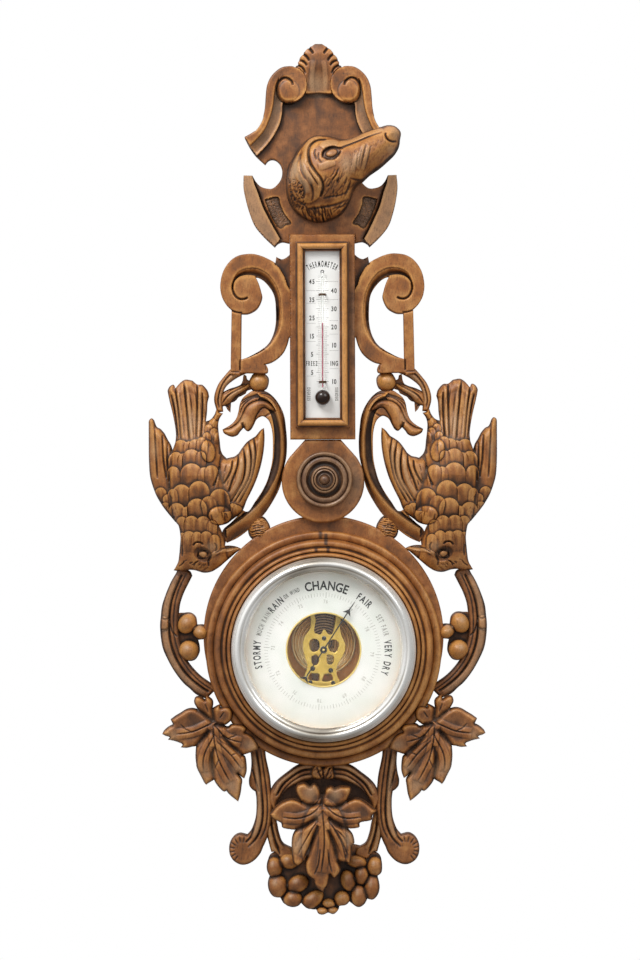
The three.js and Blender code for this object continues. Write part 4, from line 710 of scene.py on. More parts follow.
# %% Walnut
def walnut(name, dark, low, mid, high, wear_and_painted_light, shine=0.42):
    """Waxed carved walnut from its dark hollows to its worn edges, with painted shade in its hollows and a
    painted sheen on its edges.
    """
    made, tree, shader = new_material(name)
    place = add_node(tree, "ShaderNodeTexCoord").outputs["Object"]
    along = add_node(tree, "ShaderNodeMapping", {"Vector": place, "Scale": (1, 1, 0.16)}).outputs[0]
    figure = add_node(tree, "ShaderNodeTexNoise", {"Vector": along, "Scale": 90, "Detail": 4}).outputs[0]
    cloud = add_node(tree, "ShaderNodeTexNoise",
                     {"Vector": place, "Scale": 75, "Detail": 6, "Roughness": 0.62}).outputs[0]
    fine = add_node(tree, "ShaderNodeMapping", {"Vector": place, "Scale": (1, 1, 0.14)}).outputs[0]
    pores = add_node(tree, "ShaderNodeTexNoise", {"Vector": fine, "Scale": 1500, "Detail": 2}).outputs[0]
    speck = add_node(tree, "ShaderNodeTexNoise", {"Vector": place, "Scale": 900, "Detail": 3}).outputs[0]
    tone = add_node(tree, "ShaderNodeAttribute", attribute_name="tone").outputs["Fac"]
    pale = add_node(tree, "ShaderNodeAttribute", attribute_name="pale").outputs["Fac"]
    level = add_node(tree, "ShaderNodeMapRange", {0: tone, 1: -1.6, 2: 1.6, 3: 0, 4: 1}).outputs[0]
    stir = add_node(tree, "ShaderNodeMath", {0: cloud, 1: 0.62, 2: -0.31},
                    operation="MULTIPLY_ADD").outputs[0]
    grain = add_node(tree, "ShaderNodeMath", {0: figure, 1: 0.3, 2: -0.15},
                     operation="MULTIPLY_ADD").outputs[0]
    mixed = add_node(tree, "ShaderNodeMath", {0: level, 1: stir}, operation="ADD").outputs[0]
    mixed = add_node(tree, "ShaderNodeMath", {0: mixed, 1: grain}, operation="ADD").outputs[0]
    stops = [(0.12, dark), (0.36, low), (0.56, mid), (0.8, high)]
    wood = add_node(tree, "ShaderNodeValToRGB", {0: mixed}, stops=stops).outputs[0]
    # The pale attribute mixes in the wear colour, which also serves as painted sheen and painted highlights.
    rubbed_and_sheen = add_node(tree, "ShaderNodeMath", {0: pale, 1: stir}, operation="ADD", use_clamp=True).outputs[0]
    wood = add_node(
        tree, "ShaderNodeMix", {"Factor": rubbed_and_sheen, 6: wood, 7: colour(wear_and_painted_light)}, data_type="RGBA"
    ).outputs[2]
    open_pore = add_node(tree, "ShaderNodeMapRange", {0: pores, 1: 0.3, 2: 0.44, 3: 0.62, 4: 1}).outputs[0]
    dust = add_node(tree, "ShaderNodeMapRange", {0: speck, 1: 0.34, 2: 0.5, 3: 0.8, 4: 1}).outputs[0]
    flecks = add_node(tree, "ShaderNodeMath", {0: open_pore, 1: dust}, operation="MULTIPLY").outputs[0]
    wood = add_node(
        tree, "ShaderNodeMix", {"Factor": 1.0, 6: wood, 7: flecks}, data_type="RGBA", blend_type="MULTIPLY"
    ).outputs[2]
    gloss = add_node(tree, "ShaderNodeMapRange",
                     {0: mixed, 1: 0.1, 2: 0.8, 3: shine + 0.22, 4: shine}).outputs[0]
    shader.inputs["Specular IOR Level"].default_value = 0.65
    tree.links.new(wood, shader.inputs["Base Color"])
    tree.links.new(gloss, shader.inputs["Roughness"])
    bump = add_node(tree, "ShaderNodeBump",
                    {"Height": flecks, "Strength": 0.35, "Distance": 0.00012}).outputs[0]
    tree.links.new(bump, shader.inputs["Normal"])
    return made


# Waxed walnut gives the frame its warm brown, dark in every hollow from wax and painted shade, and paler where
# hands have rubbed it and where a sheen is painted. The boss at the roundel was stained darker and polished
# more, so it reads as a black-brown button.
walnut_wood = walnut("waxed_walnut", "#3A2210", "#5F3817", "#9C5E26", "#D0924C", "#BC9670")
dark_wood = walnut("stained_walnut", "#1E120A", "#3C2617", "#6A472F", "#A07A57", "#957A60", 0.36)
print("Woods:", walnut_wood.name, "and", dark_wood.name)


# %% [markdown]
# The crest board carries two volutes, a shell between them, a hollow field behind the hound and two
# curved wings. Only its left half is drawn, and the right half is its mirror image.

# %% Crest board
def both(*points):
    """The same points for the left half and the right half of the crest."""
    return [points, tuple((2 * CREST_AXIS - x, y) for x, y in points)]


CREST_START = (CREST_AXIS, 18)
CREST_RUNS = [
    [(467, 20), (450, 27), (434.5, 41.5)], [(424, 43), (412, 56), (407.5, 71)],
    [(397, 73), (388, 85), (385.5, 99)], [(380, 105), (381, 114), (379, 120)], [(372, 122), (367, 127)],
    [(333, 125), (300, 130), (267, 150), (240, 180), (223, 220), (217, 267), (213, 320), (205, 360),
     (190, 395), (160, 432), (110, 461)], [(135, 505), (165, 545), (212, 587)],
    [(227, 570), (247, 563), (270, 570), (290, 593), (297, 627), (290, 660), (270, 687), (247, 703),
     (220, 703), (190, 693), (167, 670), (150, 641)], [(107, 640)],
    [(107, 700), (119, 760), (137, 820), (163, 880), (207, 933), (257, 981)],
    [(270, 967), (293, 957), (327.5, 963)], [(327.5, 923.2)],
]
BOARD_FRONT = -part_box("dog_head")[1].y / MM
RIM_FRONT = BOARD_FRONT + 7
board = Carving(crest, [symmetric(crest, CREST_START, CREST_RUNS)], 0.1, BOARD_FRONT - 2, rounding=0.9)


# The field behind the hound: its middle on the drawing, its reach in millimetres, and how far it swells.
FIELD_MIDDLE, FIELD_REACH, FIELD_SWELL = (470, 620), (52, 62), 1.6


def field_hollow(c):
    """The field behind the hound is a shallow hollow, deepest under the shell and the volutes."""
    share = (c.spot - crest([FIELD_MIDDLE])[0]) / FIELD_REACH
    c.height += FIELD_SWELL * ease(1.1 - np.hypot(*share.T))


board.shape(field_hollow)
RIM_OUTER = [
    (365, 128), (333, 124), (300, 128), (267, 148), (240, 178), (222, 220), (215, 267), (211, 320),
    (205, 360), (190, 395), (160, 432), (108, 460),
]
RIM_INNER = [
    (360, 160), (335, 163), (305, 168), (285, 185), (272, 210), (266, 235), (260, 280), (252, 330),
    (235, 380), (210, 430), (175, 470), (138, 505),
]
COVE_INNER = [
    (320, 240), (318, 250), (315, 260), (312, 270), (308, 285), (303, 300), (300, 315), (298, 350),
    (285, 400), (255, 455), (220, 500), (172, 548),
]
hanger_low, hanger_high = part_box("hanger_plate")
# The hanger plate is let into the back: a shallow seat as large as the plate, and a deeper one for the nail.
for room, depth in ((0.3, 2.2), (-4, 7)):
    left, right = hanger_low.x / MM - room, hanger_high.x / MM + room
    low, high = hanger_low.z / MM - room * 2, hanger_high.z / MM + room * 2
    board.pockets.append((np.array([(left, low), (right, low), (right, high), (left, high)]), depth))
for outer, inner, cove in zip(both(*RIM_OUTER), both(*RIM_INNER), both(*COVE_INNER)):
    # The cove's pale is a painted sheen.
    board.band(inner, cove, lambda u, t: RIM_FRONT - 1.6 - 3.4 * dome(u / 0.75) + 1.2 * ease((u - 0.7) / 0.3),
               pale=0.35)
    board.band(outer, inner, lambda u, t: RIM_FRONT - 1.2 + 1.2 * dome(np.minimum(u, 1 - u) / 0.3), tone=0.1)
    board.cut(inner, 0.9, 1.2, 0.9, taper=0)
    board.cut(cove, 0.8, 0.5, 0.8, taper=0)

VOLUTE = [
    (278, 215), (275, 250), (285, 275), (300, 290), (330, 298), (370, 290), (400, 270), (420, 240),
    (425, 210), (415, 170), (390, 140), (362, 128), (330, 126), (300, 150), (286, 180),
]
VOLUTE_LINE = [
    (356, 216), (350, 198), (335, 184), (315, 179), (295, 186), (280, 205), (274, 230), (276, 255),
    (286, 277), (303, 292), (330, 299), (360, 294),
]
for points, groove in zip(both(*VOLUTE), both(*VOLUTE_LINE)):
    board.flat(list(points), RIM_FRONT - 0.1, slope=0.4, crisp=False)
    board.cut(groove, 1.7, 2.8, 0.9, taper=0.1, lean=0.5 if points[0][0] < CREST_AXIS else -0.5)
for side, x in ((1, 335), (-1, 632)):
    board.bump((x, 243), 8.4, 8.4, 0.9)
    board.tint((x, 235), 11, 11, tone=0.2)
    # Painted shadow under each volute.
    board.tint((x - side * 12, 318), 17, 4.5, tone=-0.9, turn=side * 12)

SHELL_LEFT = [
    (CREST_AXIS, 18), (467, 20), (440, 35), (420, 50), (400, 75), (385, 100), (368, 126), (390, 137),
    (410, 158), (422, 185), (426, 210), (422, 240), (424, 253),
]
shell = SHELL_LEFT + [(CREST_AXIS, 248)] + [(2 * CREST_AXIS - x, y) for x, y in SHELL_LEFT[:0:-1]]


def shell_height(points):
    """The shell's throat is hollow between the volutes and swells to a scalloped lip above them."""
    share = (crest([(0, 260)])[0][1] - points[:, 1]) / -CREST_SPAN
    across = abs(points[:, 0]) / CREST_SPAN
    lip = ease(share / 0.15)
    throat = BOARD_FRONT + 1.2 + 3.4 * np.clip(across / 0.055, 0, 1.2) ** 2
    crown = BOARD_FRONT + 9 - 4.5 * np.clip(across / 0.11, 0, 1) ** 2 - 3 * ease((share - 0.19) / 0.06)
    return throat * (1 - lip) + crown * lip


board.flat(shell, shell_height, slope=0.4)
LOBE_CUTS = [
    ((434, 40.5), (443, 47), (451, 57), (457, 68)), ((406.5, 70), (419, 76), (430, 88), (437, 102)),
    ((385, 98), (400, 100), (415, 109), (426, 124)),
    ((366, 126), (382, 122), (397, 128), (410, 142), (418, 162)),
]
for number, points in enumerate(LOBE_CUTS):
    for line in both(*points):
        board.cut(line, 1.8 - 0.1 * number, 2.8, 1.1, taper=0.6)
for line in both((453, 250), (449, 200), (452, 150), (459, 100)):
    board.ridge(line, 2.2, 0.6, pale=0.4, taper=0.4)
# A painted highlight in the shell's hollow throat, and a painted shadow along the field under the shell.
board.tint((475, 210), 11, 14, pale=0.75)
board.tint((CREST_AXIS, 262), 26, 2.6, tone=-1.2)

WING_OUTER = [(107, 640), (107, 700), (119, 760), (137, 820), (163, 880), (207, 933), (257, 981)]
WING_INNER = [(149, 643), (160, 685), (175, 720), (200, 790), (225, 840), (250, 887), (283, 945)]
WING_STEP = [(165, 668), (173, 690), (187, 720), (212, 785), (238, 835), (262, 880), (292, 940)]
PANEL = [
    (213, 757), (272, 745), (283, 780), (303, 825), (333, 868), (310, 876), (284, 892), (260, 860),
    (236, 815),
]
for outer, inner, step, panel in zip(both(*WING_OUTER), both(*WING_INNER), both(*WING_STEP), both(*PANEL)):
    board.band(inner, step, lambda u, t: BOARD_FRONT - 3.4 + 2.6 * u, tone=-0.7)
    board.band(outer, inner, lambda u, t: BOARD_FRONT + 2.2 + 0.8 * u, pale=0.55)
    board.flat([*panel], BOARD_FRONT - 3.2, slope=0.35, tone=-0.35, pale=0.15)
    board.cut([*panel, panel[0]], 0.6, 0.7, 1.0, taper=0)
for side, panel in enumerate(both(*PANEL)):
    board.strokes_of_fur([*panel], 70 if side else 110, 420, 0.7, 0.45, 0.35, 11 + side, dark=0.5)
print("The crest board is cut with", len(board.strokes), "strokes")


# %% [markdown]
# Colours and grain can be judged only in a picture, so the stage and the camera come before the rest of
# the carving. The camera stands 3.4 m off, straight in front, as the photographer's did.

# %% Camera and light
EYE_DISTANCE = 3.4
FOCUS_DEPTH = 0.015
VIEW_HEIGHT = 0.768
PICTURE_WIDTH, PICTURE_HEIGHT = 640, 960
SCENE_MIDDLE = Vector((-0.0024, 0, -0.2981))
CAMERA_ROLL = 0.2
camera_data = bpy.data.cameras.new("camera")
camera_data.sensor_fit = "VERTICAL"
camera_data.sensor_height = 36
camera_data.lens = camera_data.sensor_height * EYE_DISTANCE / VIEW_HEIGHT
camera = bpy.data.objects.new("camera", camera_data)
camera.location = SCENE_MIDDLE + Vector((0, -EYE_DISTANCE - FOCUS_DEPTH, 0))
camera.rotation_euler = (math.radians(90), math.radians(CAMERA_ROLL), 0)
bpy.context.scene.collection.objects.link(camera)
bpy.context.scene.camera = camera
bpy.context.scene.view_settings.view_transform = "Standard"
print("Lens", round(camera_data.lens, 1), "mm for a picture", PICTURE_WIDTH, "by", PICTURE_HEIGHT)


def area_light(name, place, target, size, power):
    """A soft square lamp that faces the frame."""
    data = bpy.data.lights.new(name, "AREA")
    data.size = size
    data.energy = power
    lamp = bpy.data.objects.new(name, data)
    lamp.location = place
    lamp.rotation_euler = (Vector(target) - Vector(place)).to_track_quat("-Z", "Y").to_euler()
    bpy.context.scene.collection.objects.link(lamp)


area_light("key", place=(-0.6, -0.85, 0.85), target=(0, 0, -0.1), size=0.6, power=15.5)
area_light("fill", place=(0.95, -1.0, 0.65), target=(0, 0, -0.15), size=0.9, power=7)
world = bpy.data.worlds.new("world")
bpy.context.scene.world = world
world.use_nodes = True
world.node_tree.nodes.clear()
rays = add_node(world.node_tree, "ShaderNodeLightPath").outputs
seen = add_node(
    world.node_tree, "ShaderNodeMath", {0: rays["Is Camera Ray"], 1: rays["Is Transmission Ray"]},
    operation="MAXIMUM"
).outputs[0]
way = add_node(world.node_tree, "ShaderNodeNewGeometry").outputs["Incoming"]
FROM_WINDOW = (0.35, 0.1, -0.93)
ROOM_LIGHT = 0.47
upward = add_node(
    world.node_tree, "ShaderNodeVectorMath", {0: way, 1: FROM_WINDOW}, operation="DOT_PRODUCT"
).outputs["Value"]
ceiling = add_node(world.node_tree, "ShaderNodeMapRange",
                   {0: upward, 1: 0.0, 2: 0.7, 3: 0.22, 4: 1.0}).outputs[0]
room = add_node(
    world.node_tree, "ShaderNodeMix", {0: rays["Is Glossy Ray"], 2: ROOM_LIGHT, 3: ceiling}
).outputs[0]
power = add_node(world.node_tree, "ShaderNodeMix", {0: seen, 2: room, 3: 1.0}).outputs[0]
sky = add_node(world.node_tree, "ShaderNodeBackground",
               {"Color": colour("#FFFFFF"), "Strength": power}).outputs[0]
add_node(world.node_tree, "ShaderNodeOutputWorld", {"Surface": sky})


# %% [markdown]
# Now a carving becomes a mesh with its finish. The crest is the first. The top of the real one leans and is
# a little narrower than it should be, as hand work is, so the points of its mesh are then moved over.

# %% Make the crest
def carved(name, carving, body, material, slot, *nodes, stain=0):
    """Carves a piece; a stain above 0 is paler and below 0 darker than the rest of the wood."""
    points, triangles, tone, pale = carving.carve()
    print(name, len(triangles), "triangles")
    return dress(mesh_from(name, points, triangles, tone=tone + stain, pale=pale),
                 body, material, slot, *nodes)


def in_walnut(name, carving, *nodes, stain=0):
    """Carves a piece of the frame in waxed walnut."""
    return carved(name, carving, "frame", walnut_wood, "walnut", *nodes, stain=stain)


def walnut_pair(name, carving, node=None, stain=0):
    """Carves a left piece and mirrors it for the right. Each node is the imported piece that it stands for."""
    points, triangles, tone, pale = carving.carve()
    print(name, len(triangles), "triangles on each side")
    for side, way in (("_left", 1), ("_right", -1)):
        piece = mesh_from(name + side, points * (way, 1, 1), triangles[:, ::way],
                          tone=tone + stain, pale=pale)
        nodes = [] if node is None else [node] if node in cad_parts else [node + side]
        dress(piece, "frame", walnut_wood, "walnut", *nodes)


# Over LEAN_FULL millimetres above the box the crest moves LEAN millimetres over and narrows by NARROW.
LEAN, LEAN_FULL, NARROW = 2.4, 80, 0.055
crest_piece = in_walnut("carved_crest", board, "crest_board", stain=-0.12)
for vertex in crest_piece.data.vertices:
    share = min(max((vertex.co.z - BOX_TOP * MM) / (LEAN_FULL * MM), 0), 1)
    vertex.co.x -= share * (LEAN * MM + NARROW * vertex.co.x)

# %% [markdown]
# The hound's head is glued on the board. A puffy form is solved first, as a skin blown up over the outline,
# and the features are cut into it: the ear with its locks, the eye in its socket, the crease of the muzzle,
# the nostril and the fur. A sculpted mesh would do as well, but strokes stay easy to move.

# %% Hound's head
HEAD = [
    (212, 500), (203, 585), (208, 669), (236, 739), (285, 795), (341, 830), (397, 848), (453, 846),
    (509, 830), (565, 802), (607, 753), (635, 697), (656, 641), (684, 599), (716, 578), (761, 536),
    (831, 487), (887, 438), (929, 396), (957, 347), (965, 298), (971, 256), (957, 228), (929, 207),
    (887, 200), (838, 211.5), (775, 228), (719, 249), (663, 277), (607, 294), (551, 288), (495, 273),
    (439, 267), (383, 273), (341, 298), (292, 347), (250, 417), (222, 459),
]
HEAD_FRONT = depths("dog_head")[1]


def head_form(c):
    """The skull swells over the ear, the muzzle tapers to the nose and the neck sinks back to the board."""
    swell = pillow(c.rims[0], c.spot) ** 0.45
    neck = ease((c.spot[:, 1] - hound((0, 860))[1]) / 40)
    rise = HEAD_FRONT - BOARD_FRONT - 1
    return BOARD_FRONT + rise * dome(c.rim / 12) * (0.3 + 0.7 * swell) * (0.5 + 0.5 * neck)


head = Carving(hound, [outline(hound, [HEAD])], BOARD_FRONT - 5, head_form, rounding=0.6)
EAR = [
    (470, 303), (420, 308), (375, 330), (352, 370), (348, 420), (362, 480), (400, 537), (430, 575),
    (443, 615), (439, 650), (425, 695), (370, 730), (320, 725), (270, 700), (240, 640), (235, 560),
    (250, 480), (280, 400), (320, 335), (370, 290), (420, 283),
]
head.swell(EAR, 2.6, 5)
# Painted shade on the stippled patch at the foot of the ear.
head.tint((270, 660), 13, 17, tone=-0.55)
head.tint((550, 650), 20, 14, tone=-0.25)
head.tint((600, 330), 30, 7, tone=-0.4, turn=14)
head.cut([(475, 306), (420, 312), (380, 336), (359, 370), (354, 420), (368, 480),
         (405, 537), (436, 576), (449, 615), (445, 650), (430, 690)], 2.0, 3.4, 1.0, 0.1)
head.ridge([(450, 290), (400, 297), (362, 325), (343, 370), (339, 420), (352, 480),
           (390, 540), (420, 578), (435, 615), (430, 655)], 2.2, 1.2, 0.3, 0.2, 0.5)
for points in (
    [(350, 300), (320, 345), (300, 400), (285, 450), (265, 500), (262, 560), (275, 600)],
    [(330, 360), (305, 420), (302, 470), (315, 530), (345, 580)],
    [(345, 460), (360, 520), (395, 580), (430, 630)],
    [(290, 530), (300, 580), (325, 620), (330, 660), (320, 700)],
    [(350, 570), (375, 620), (385, 670), (375, 720)],
    [(300, 340), (270, 400), (250, 460), (238, 520)],
):
    head.cut(points, 1.9, 1.9, 0.75, 0.5)
for points in (
    [(275, 460), (280, 530), (305, 580), (335, 610), (350, 670)],
    [(310, 440), (325, 510), (360, 570), (385, 610)],
    [(290, 410), (265, 470), (250, 540), (260, 600)],
):
    head.ridge(points, 2.4, 0.8, 0.75, 0.4)
head.bump((505, 405), 7.8, 5.6, -3.0, 16, tone=-0.4)
head.bump((508, 405), 4.8, 3.1, 3.2, 20, pale=0.35)
for points, width, depth in (
    ([(448, 440), (452, 400), (478, 374), (520, 362), (555, 370), (585, 375)], 1.5, 2.4),
    ([(455, 435), (490, 449), (530, 442), (556, 412), (570, 388)], 1.2, 1.6),
    ([(400, 375), (395, 410), (410, 450)], 1.4, 1.0),
    ([(425, 400), (420, 440), (445, 475)], 1.2, 0.8),
    ([(556, 379), (620, 348), (700, 313), (770, 283), (845, 256)], 1.6, 2.2),
    ([(865, 262), (867, 290), (883, 314), (912, 322), (940, 315)], 1.7, 3.2),
    ([(965, 325), (940, 372), (900, 415), (860, 447)], 1.1, 1.0),
    ([(630, 570), (680, 572), (720, 566), (770, 528)], 1.3, 1.3),
    ([(350, 762), (420, 757), (500, 745), (560, 727), (620, 695)], 1.8, 2.0),
    ([(450, 700), (500, 688), (560, 678), (620, 650)], 1.4, 1.2),
):
    head.cut(points, width, depth, 1.0, 0.25)
head.ridge([(440, 372), (470, 343), (510, 333), (550, 343)], 3.4, 1.8, 0.55, 0.4)
head.ridge([(420, 500), (470, 487), (530, 462)], 3.2, 1.1, 0.4, 0.4)
head.ridge([(530, 352), (600, 327), (690, 292), (770, 262), (850, 236)], 2.6, 1.6, 0.35, 0.3, 0.5)
# Painted highlights on the muzzle.
head.tint((605, 480), 9, 12, pale=0.6)
head.tint((930, 270), 7, 7, pale=0.55)
head.tint((900, 370), 6, 5, pale=0.5)
for points in (
    [(665, 400), (660, 460), (645, 540)],
    [(722, 340), (702, 420), (680, 510)],
    [(752, 350), (735, 430), (710, 510)],
    [(690, 390), (680, 440), (667, 500)],
):
    head.ridge(points, 1.9, 0.9, 0.45, 0.5)
    head.cut([(x + 14, y) for x, y in points], 1.2, 0.8, 0.5, 0.5)
head.strokes_of_fur([(310, 770), (420, 765), (500, 760), (500, 820), (420, 843), (340, 820)],
                    112, 90, 6.5, 0.8, 0.7, 3, 0.4)
head.strokes_of_fur([(460, 560), (560, 520), (600, 550), (640, 600), (600, 680), (460, 690)],
                    62, 80, 6, 0.8, 0.5, 4, 0.35)
head.strokes_of_fur([(520, 750), (620, 700), (660, 630), (620, 760), (550, 810)], 40, 80, 5, 0.7, 0.5, 5, 0.4)
head.strokes_of_fur([(220, 560), (300, 600), (330, 700), (330, 770), (250, 730)],
                    100, 240, 1.3, 0.7, 0.7, 6, 0.6)
head.strokes_of_fur([(550, 460), (930, 240), (930, 380), (700, 570)], 70, 160, 3, 0.5, 0.25, 7, 0.25)
in_walnut("carved_hound", head, "dog_head", stain=0.05)


# %% [markdown]
# Beside the box stand two scrolls shaped like the letter P. The board is pierced; a flat outer band turns
# into the eye, and its inner edge is cut back to a cove. One side is drawn and mirrored.

# %% P scrolls
P_OUTER = [
    [(620, 20), (600, 50)], [(585, 65), (560, 82), (530, 88), (495, 70)], [(486, 118)],
    [(440, 92), (380, 65), (320, 50), (270, 50), (210, 60), (155, 90), (110, 140), (80, 200), (65, 270),
     (65, 330), (80, 390), (110, 440), (150, 480)], [(140, 970)], [(210, 985)],
    [(220, 967), (300, 965), (410, 968), (428, 940), (415, 905), (395, 900)],
    [(450, 885), (500, 855), (545, 810), (575, 750), (592, 690)], [(620, 690)],
]
P_OPENING = [
    [(360, 230), (400, 255), (440, 300), (470, 350), (485, 410), (490, 480), (490, 560), (480, 630),
     (460, 690), (430, 740), (380, 785), (320, 820), (270, 845), (220, 862)], [(225, 510)],
    [(270, 510), (310, 495), (345, 470), (370, 430), (385, 380), (375, 330), (360, 280), (335, 225)],
]
P_BEVEL = [
    (152, 320), (153, 280), (168, 235), (195, 195), (230, 172), (270, 160), (330, 157), (390, 178),
    (440, 215), (480, 270), (510, 330), (527, 400), (532, 500), (527, 580), (512, 640), (480, 700),
    (440, 755), (370, 805), (270, 850),
]
P_INNER = [
    (158, 322), (163, 286), (182, 250), (210, 226), (240, 215), (275, 211), (330, 218), (380, 240),
    (420, 275), (455, 320), (475, 380), (488, 440), (492, 500), (488, 580), (475, 640), (452, 700),
    (410, 760), (340, 812), (260, 850),
]
P_EYE = [(276, 384), (250, 395), (215, 396), (185, 378), (165, 345), (158, 310), (164, 275)]
P_FRONT = depths("p_scroll_left")[1] - 3.5
scroll = Carving(p_scroll, [outline(p_scroll, P_OUTER), outline(p_scroll, P_OPENING)], 0.3, P_FRONT, 1.0)
scroll.band(P_BEVEL, P_INNER, lambda u, t: P_FRONT - 0.8 - 4.6 * ease(u * 1.2), tone=-0.05)
scroll.flat([(486, 125), (495, 70), (530, 88), (600, 50), (630, 300), (592, 310), (560, 220),
            (520, 155)], P_FRONT - 7, 0.4, tone=-0.3)
scroll.cut(P_EYE, 1.5, 3.0, 1.3, 0.12)
scroll.cut(P_BEVEL, 0.6, 0.4, 0.4, 0)
scroll.cut([(140, 480), (190, 498), (235, 503)], 1.2, 1.8, 1.0, 0.2)
scroll.cut([(215, 860), (213, 900), (213, 950)], 1.2, 1.8, 1.0, 0.3)
scroll.cut([(143, 955), (210, 957)], 1.0, 0.8, 0.5, 0.2)
scroll.cut([(400, 898), (410, 920), (410, 950)], 1.0, 0.8, 0.4, 0.4)
scroll.tint((180, 700), 5, 40, tone=0.25)
walnut_pair("carved_p_scroll", scroll, "p_scroll", stain=0.2)

# %% [markdown]
# Below them two larger C scrolls carry a ball on top and a bud at the foot. Their inner face is a deep
# cove with a bright arris, and the leaf that curls over the top ends in two lobes.

# %% C scrolls
C_BODY = [
    [(352, 120), (400, 148), (440, 200), (465, 260), (475, 330), (480, 400), (478, 470), (470, 520),
     (455, 580), (450, 620), (430, 680), (385, 760), (345, 815), (300, 860), (250, 905), (200, 940),
     (145, 965)], [(118, 930), (125, 890), (170, 850), (210, 810), (235, 785)],
    [(250, 792), (270, 785), (300, 740), (340, 680), (370, 620), (390, 550), (400, 490), (402, 420),
     (400, 360), (390, 310), (375, 280), (350, 262), (330, 265), (310, 280), (295, 310), (280, 335),
     (260, 345), (238, 325)], [(220, 345), (205, 365), (180, 375), (155, 370), (130, 355), (122, 335)],
    [(165, 310), (195, 280), (210, 240), (220, 190), (240, 155), (285, 122)],
]
C_ARRIS = [
    (330, 150), (380, 175), (415, 220), (435, 280), (447, 340), (452, 400), (448, 500), (432, 580),
    (395, 660), (335, 740), (275, 800), (190, 860), (140, 890),
]
C_INSIDE = [
    (310, 210), (350, 205), (385, 240), (402, 290), (410, 350), (410, 420), (405, 500), (385, 580),
    (350, 670), (300, 745), (250, 790), (200, 830), (140, 870),
]
C_RIM = depths("c_scroll_left")[1] - 1
C_FACE = C_RIM - 4
big_scroll = Carving(c_scroll, [outline(c_scroll, C_BODY)], 0.5, C_FACE, 1.4)
big_scroll.band([(300, 118), (360, 125), (400, 148), (440, 200), (465, 260), (475, 330),
                (480, 400), (478, 470), (470, 520), (450, 600), (390, 750), (300, 860), (145, 965)],
                C_ARRIS, lambda u, t: C_FACE - 1 + (C_RIM - C_FACE + 1) * ease(u), tone=0.05)
big_scroll.band(C_ARRIS, C_INSIDE, lambda u, t: C_RIM - 7 * dome(u * 1.1), tone=-0.5)
big_scroll.ridge(C_ARRIS, 1.5, 0.5, 0.25, 0.1, 0.9)
CURL = [
    (420, 235), (390, 190), (350, 172), (300, 180), (260, 205), (235, 250), (215, 290), (170, 325),
    (125, 340), (155, 370), (200, 370), (235, 330), (260, 345), (290, 315), (310, 260), (345, 215),
    (385, 225),
]
big_scroll.flat(CURL, C_FACE - 1, 0.5)
big_scroll.swell(CURL, 3.6, 6, tone=0.3)
for out in (0, 12, 24):
    big_scroll.cut([(212 - out / 2, 270 - out), (240 - out, 200 - out / 2), (300, 158 - out / 2),
                    (360 + out / 2, 163 - out), (405 + out, 205 - out), (425 + out, 250)], 0.9, 1.1, 0.9, 0.3)
big_scroll.cut([(245, 330), (235, 310), (233, 295)], 2.2, 3, 1.0, 0.5)
big_scroll.tint((235, 280), 7, 8, pale=0.35)
for points in ([(350, 270), (400, 240)], [(240, 795), (220, 820)]):
    big_scroll.cut(points, 1.5, 1, 0.6)
walnut_pair("carved_c_scroll", big_scroll, "c_scroll", stain=0.08)
NECK_BALL = [
    [(378, 45), (380, 75), (370, 105), (352, 120)], [(352, 135), (290, 135)],
    [(290, 120), (275, 100), (270, 70), (280, 45), (300, 20), (355, 20)],
]
ball = Carving(c_scroll, [outline(c_scroll, NECK_BALL)], 1, 5, 0.8)
ball.ball((325, 70), 7.9, 7.6, 7, 17, tone=0.3)
# A painted highlight at the upper left of the ball.
ball.tint((315, 55), 4, 4, pale=0.5)
walnut_pair("ball_finial", ball)
BUD = [
    [(345, 820), (370, 845), (385, 880), (378, 920), (360, 945)], [(335, 965)],
    [(300, 955), (270, 930), (262, 890), (280, 850), (310, 825)],
]
bud = Carving(c_scroll, [outline(c_scroll, BUD)], 1, 9, 1.4, pitch=0.45)
bud.swell([(345, 825), (370, 850), (382, 885), (370, 930), (330, 960), (285, 940), (265, 900),
          (280, 855), (310, 828)], 9, 8)
for number in range(11):
    down = 840 + 10.5 * number
    bud.cut([(270, down + 12), (300, down + 4 * (number % 3)), (340, down), (380, down + 12)],
            0.8, 0.9, 0.8, 0.2)
bud.strokes_of_fur([(270, 840), (380, 840), (380, 950), (270, 950)], 0, 90, 3, 0.6, 0.6, 8, 0.5)
bud.tint((325, 890), 8, 8, pale=0.25)
walnut_pair("bud", bud)

# %% [markdown]
# Under each C scroll a twig hangs down, and the bird's tail is tied to it. A small leaf lies over the stem.

# %% Leafy twigs over the birds
TWIG = [
    [(225, -20), (255, 0), (255, 22)],
    [(215, 40), (175, 65), (142, 95), (125, 130), (118, 170), (122, 200), (125, 235)],
    [(95, 235), (82, 205), (75, 170), (80, 130), (100, 80), (130, 40), (160, 5)], [(190, -20)],
]
LEAFLET = [
    [(282, 110), (260, 118), (250, 135)], [(225, 148), (210, 155), (200, 168)],
    [(185, 180), (170, 185), (168, 200), (165, 240)], [(150, 225), (138, 205), (125, 205), (118, 215)],
    [(105, 190), (100, 160), (115, 130)], [(160, 108), (200, 95), (225, 82), (235, 60)],
    [(240, 30), (255, 35)], [(260, 55), (275, 65), (285, 90)],
]
TWIG_FRONT = depths("twig_left")[1]
twig = Carving(c_scroll, [outline(c_scroll, TWIG)], 0.8, TWIG_FRONT - 1.5, 3.2)
twig.cut([(210, 0), (155, 40), (115, 100), (98, 170), (105, 220)], 1.2, 1.6, 0.8, 0.2)
twig.ridge([(235, 10), (180, 45), (135, 90), (113, 150), (110, 200)], 1.4, 0.6, 0.5, 0.2)
walnut_pair("carved_twig", twig, "twig")
leaflet = Carving(c_scroll, [outline(c_scroll, LEAFLET)], 1, TWIG_FRONT - 6, 0.8, pitch=0.45)
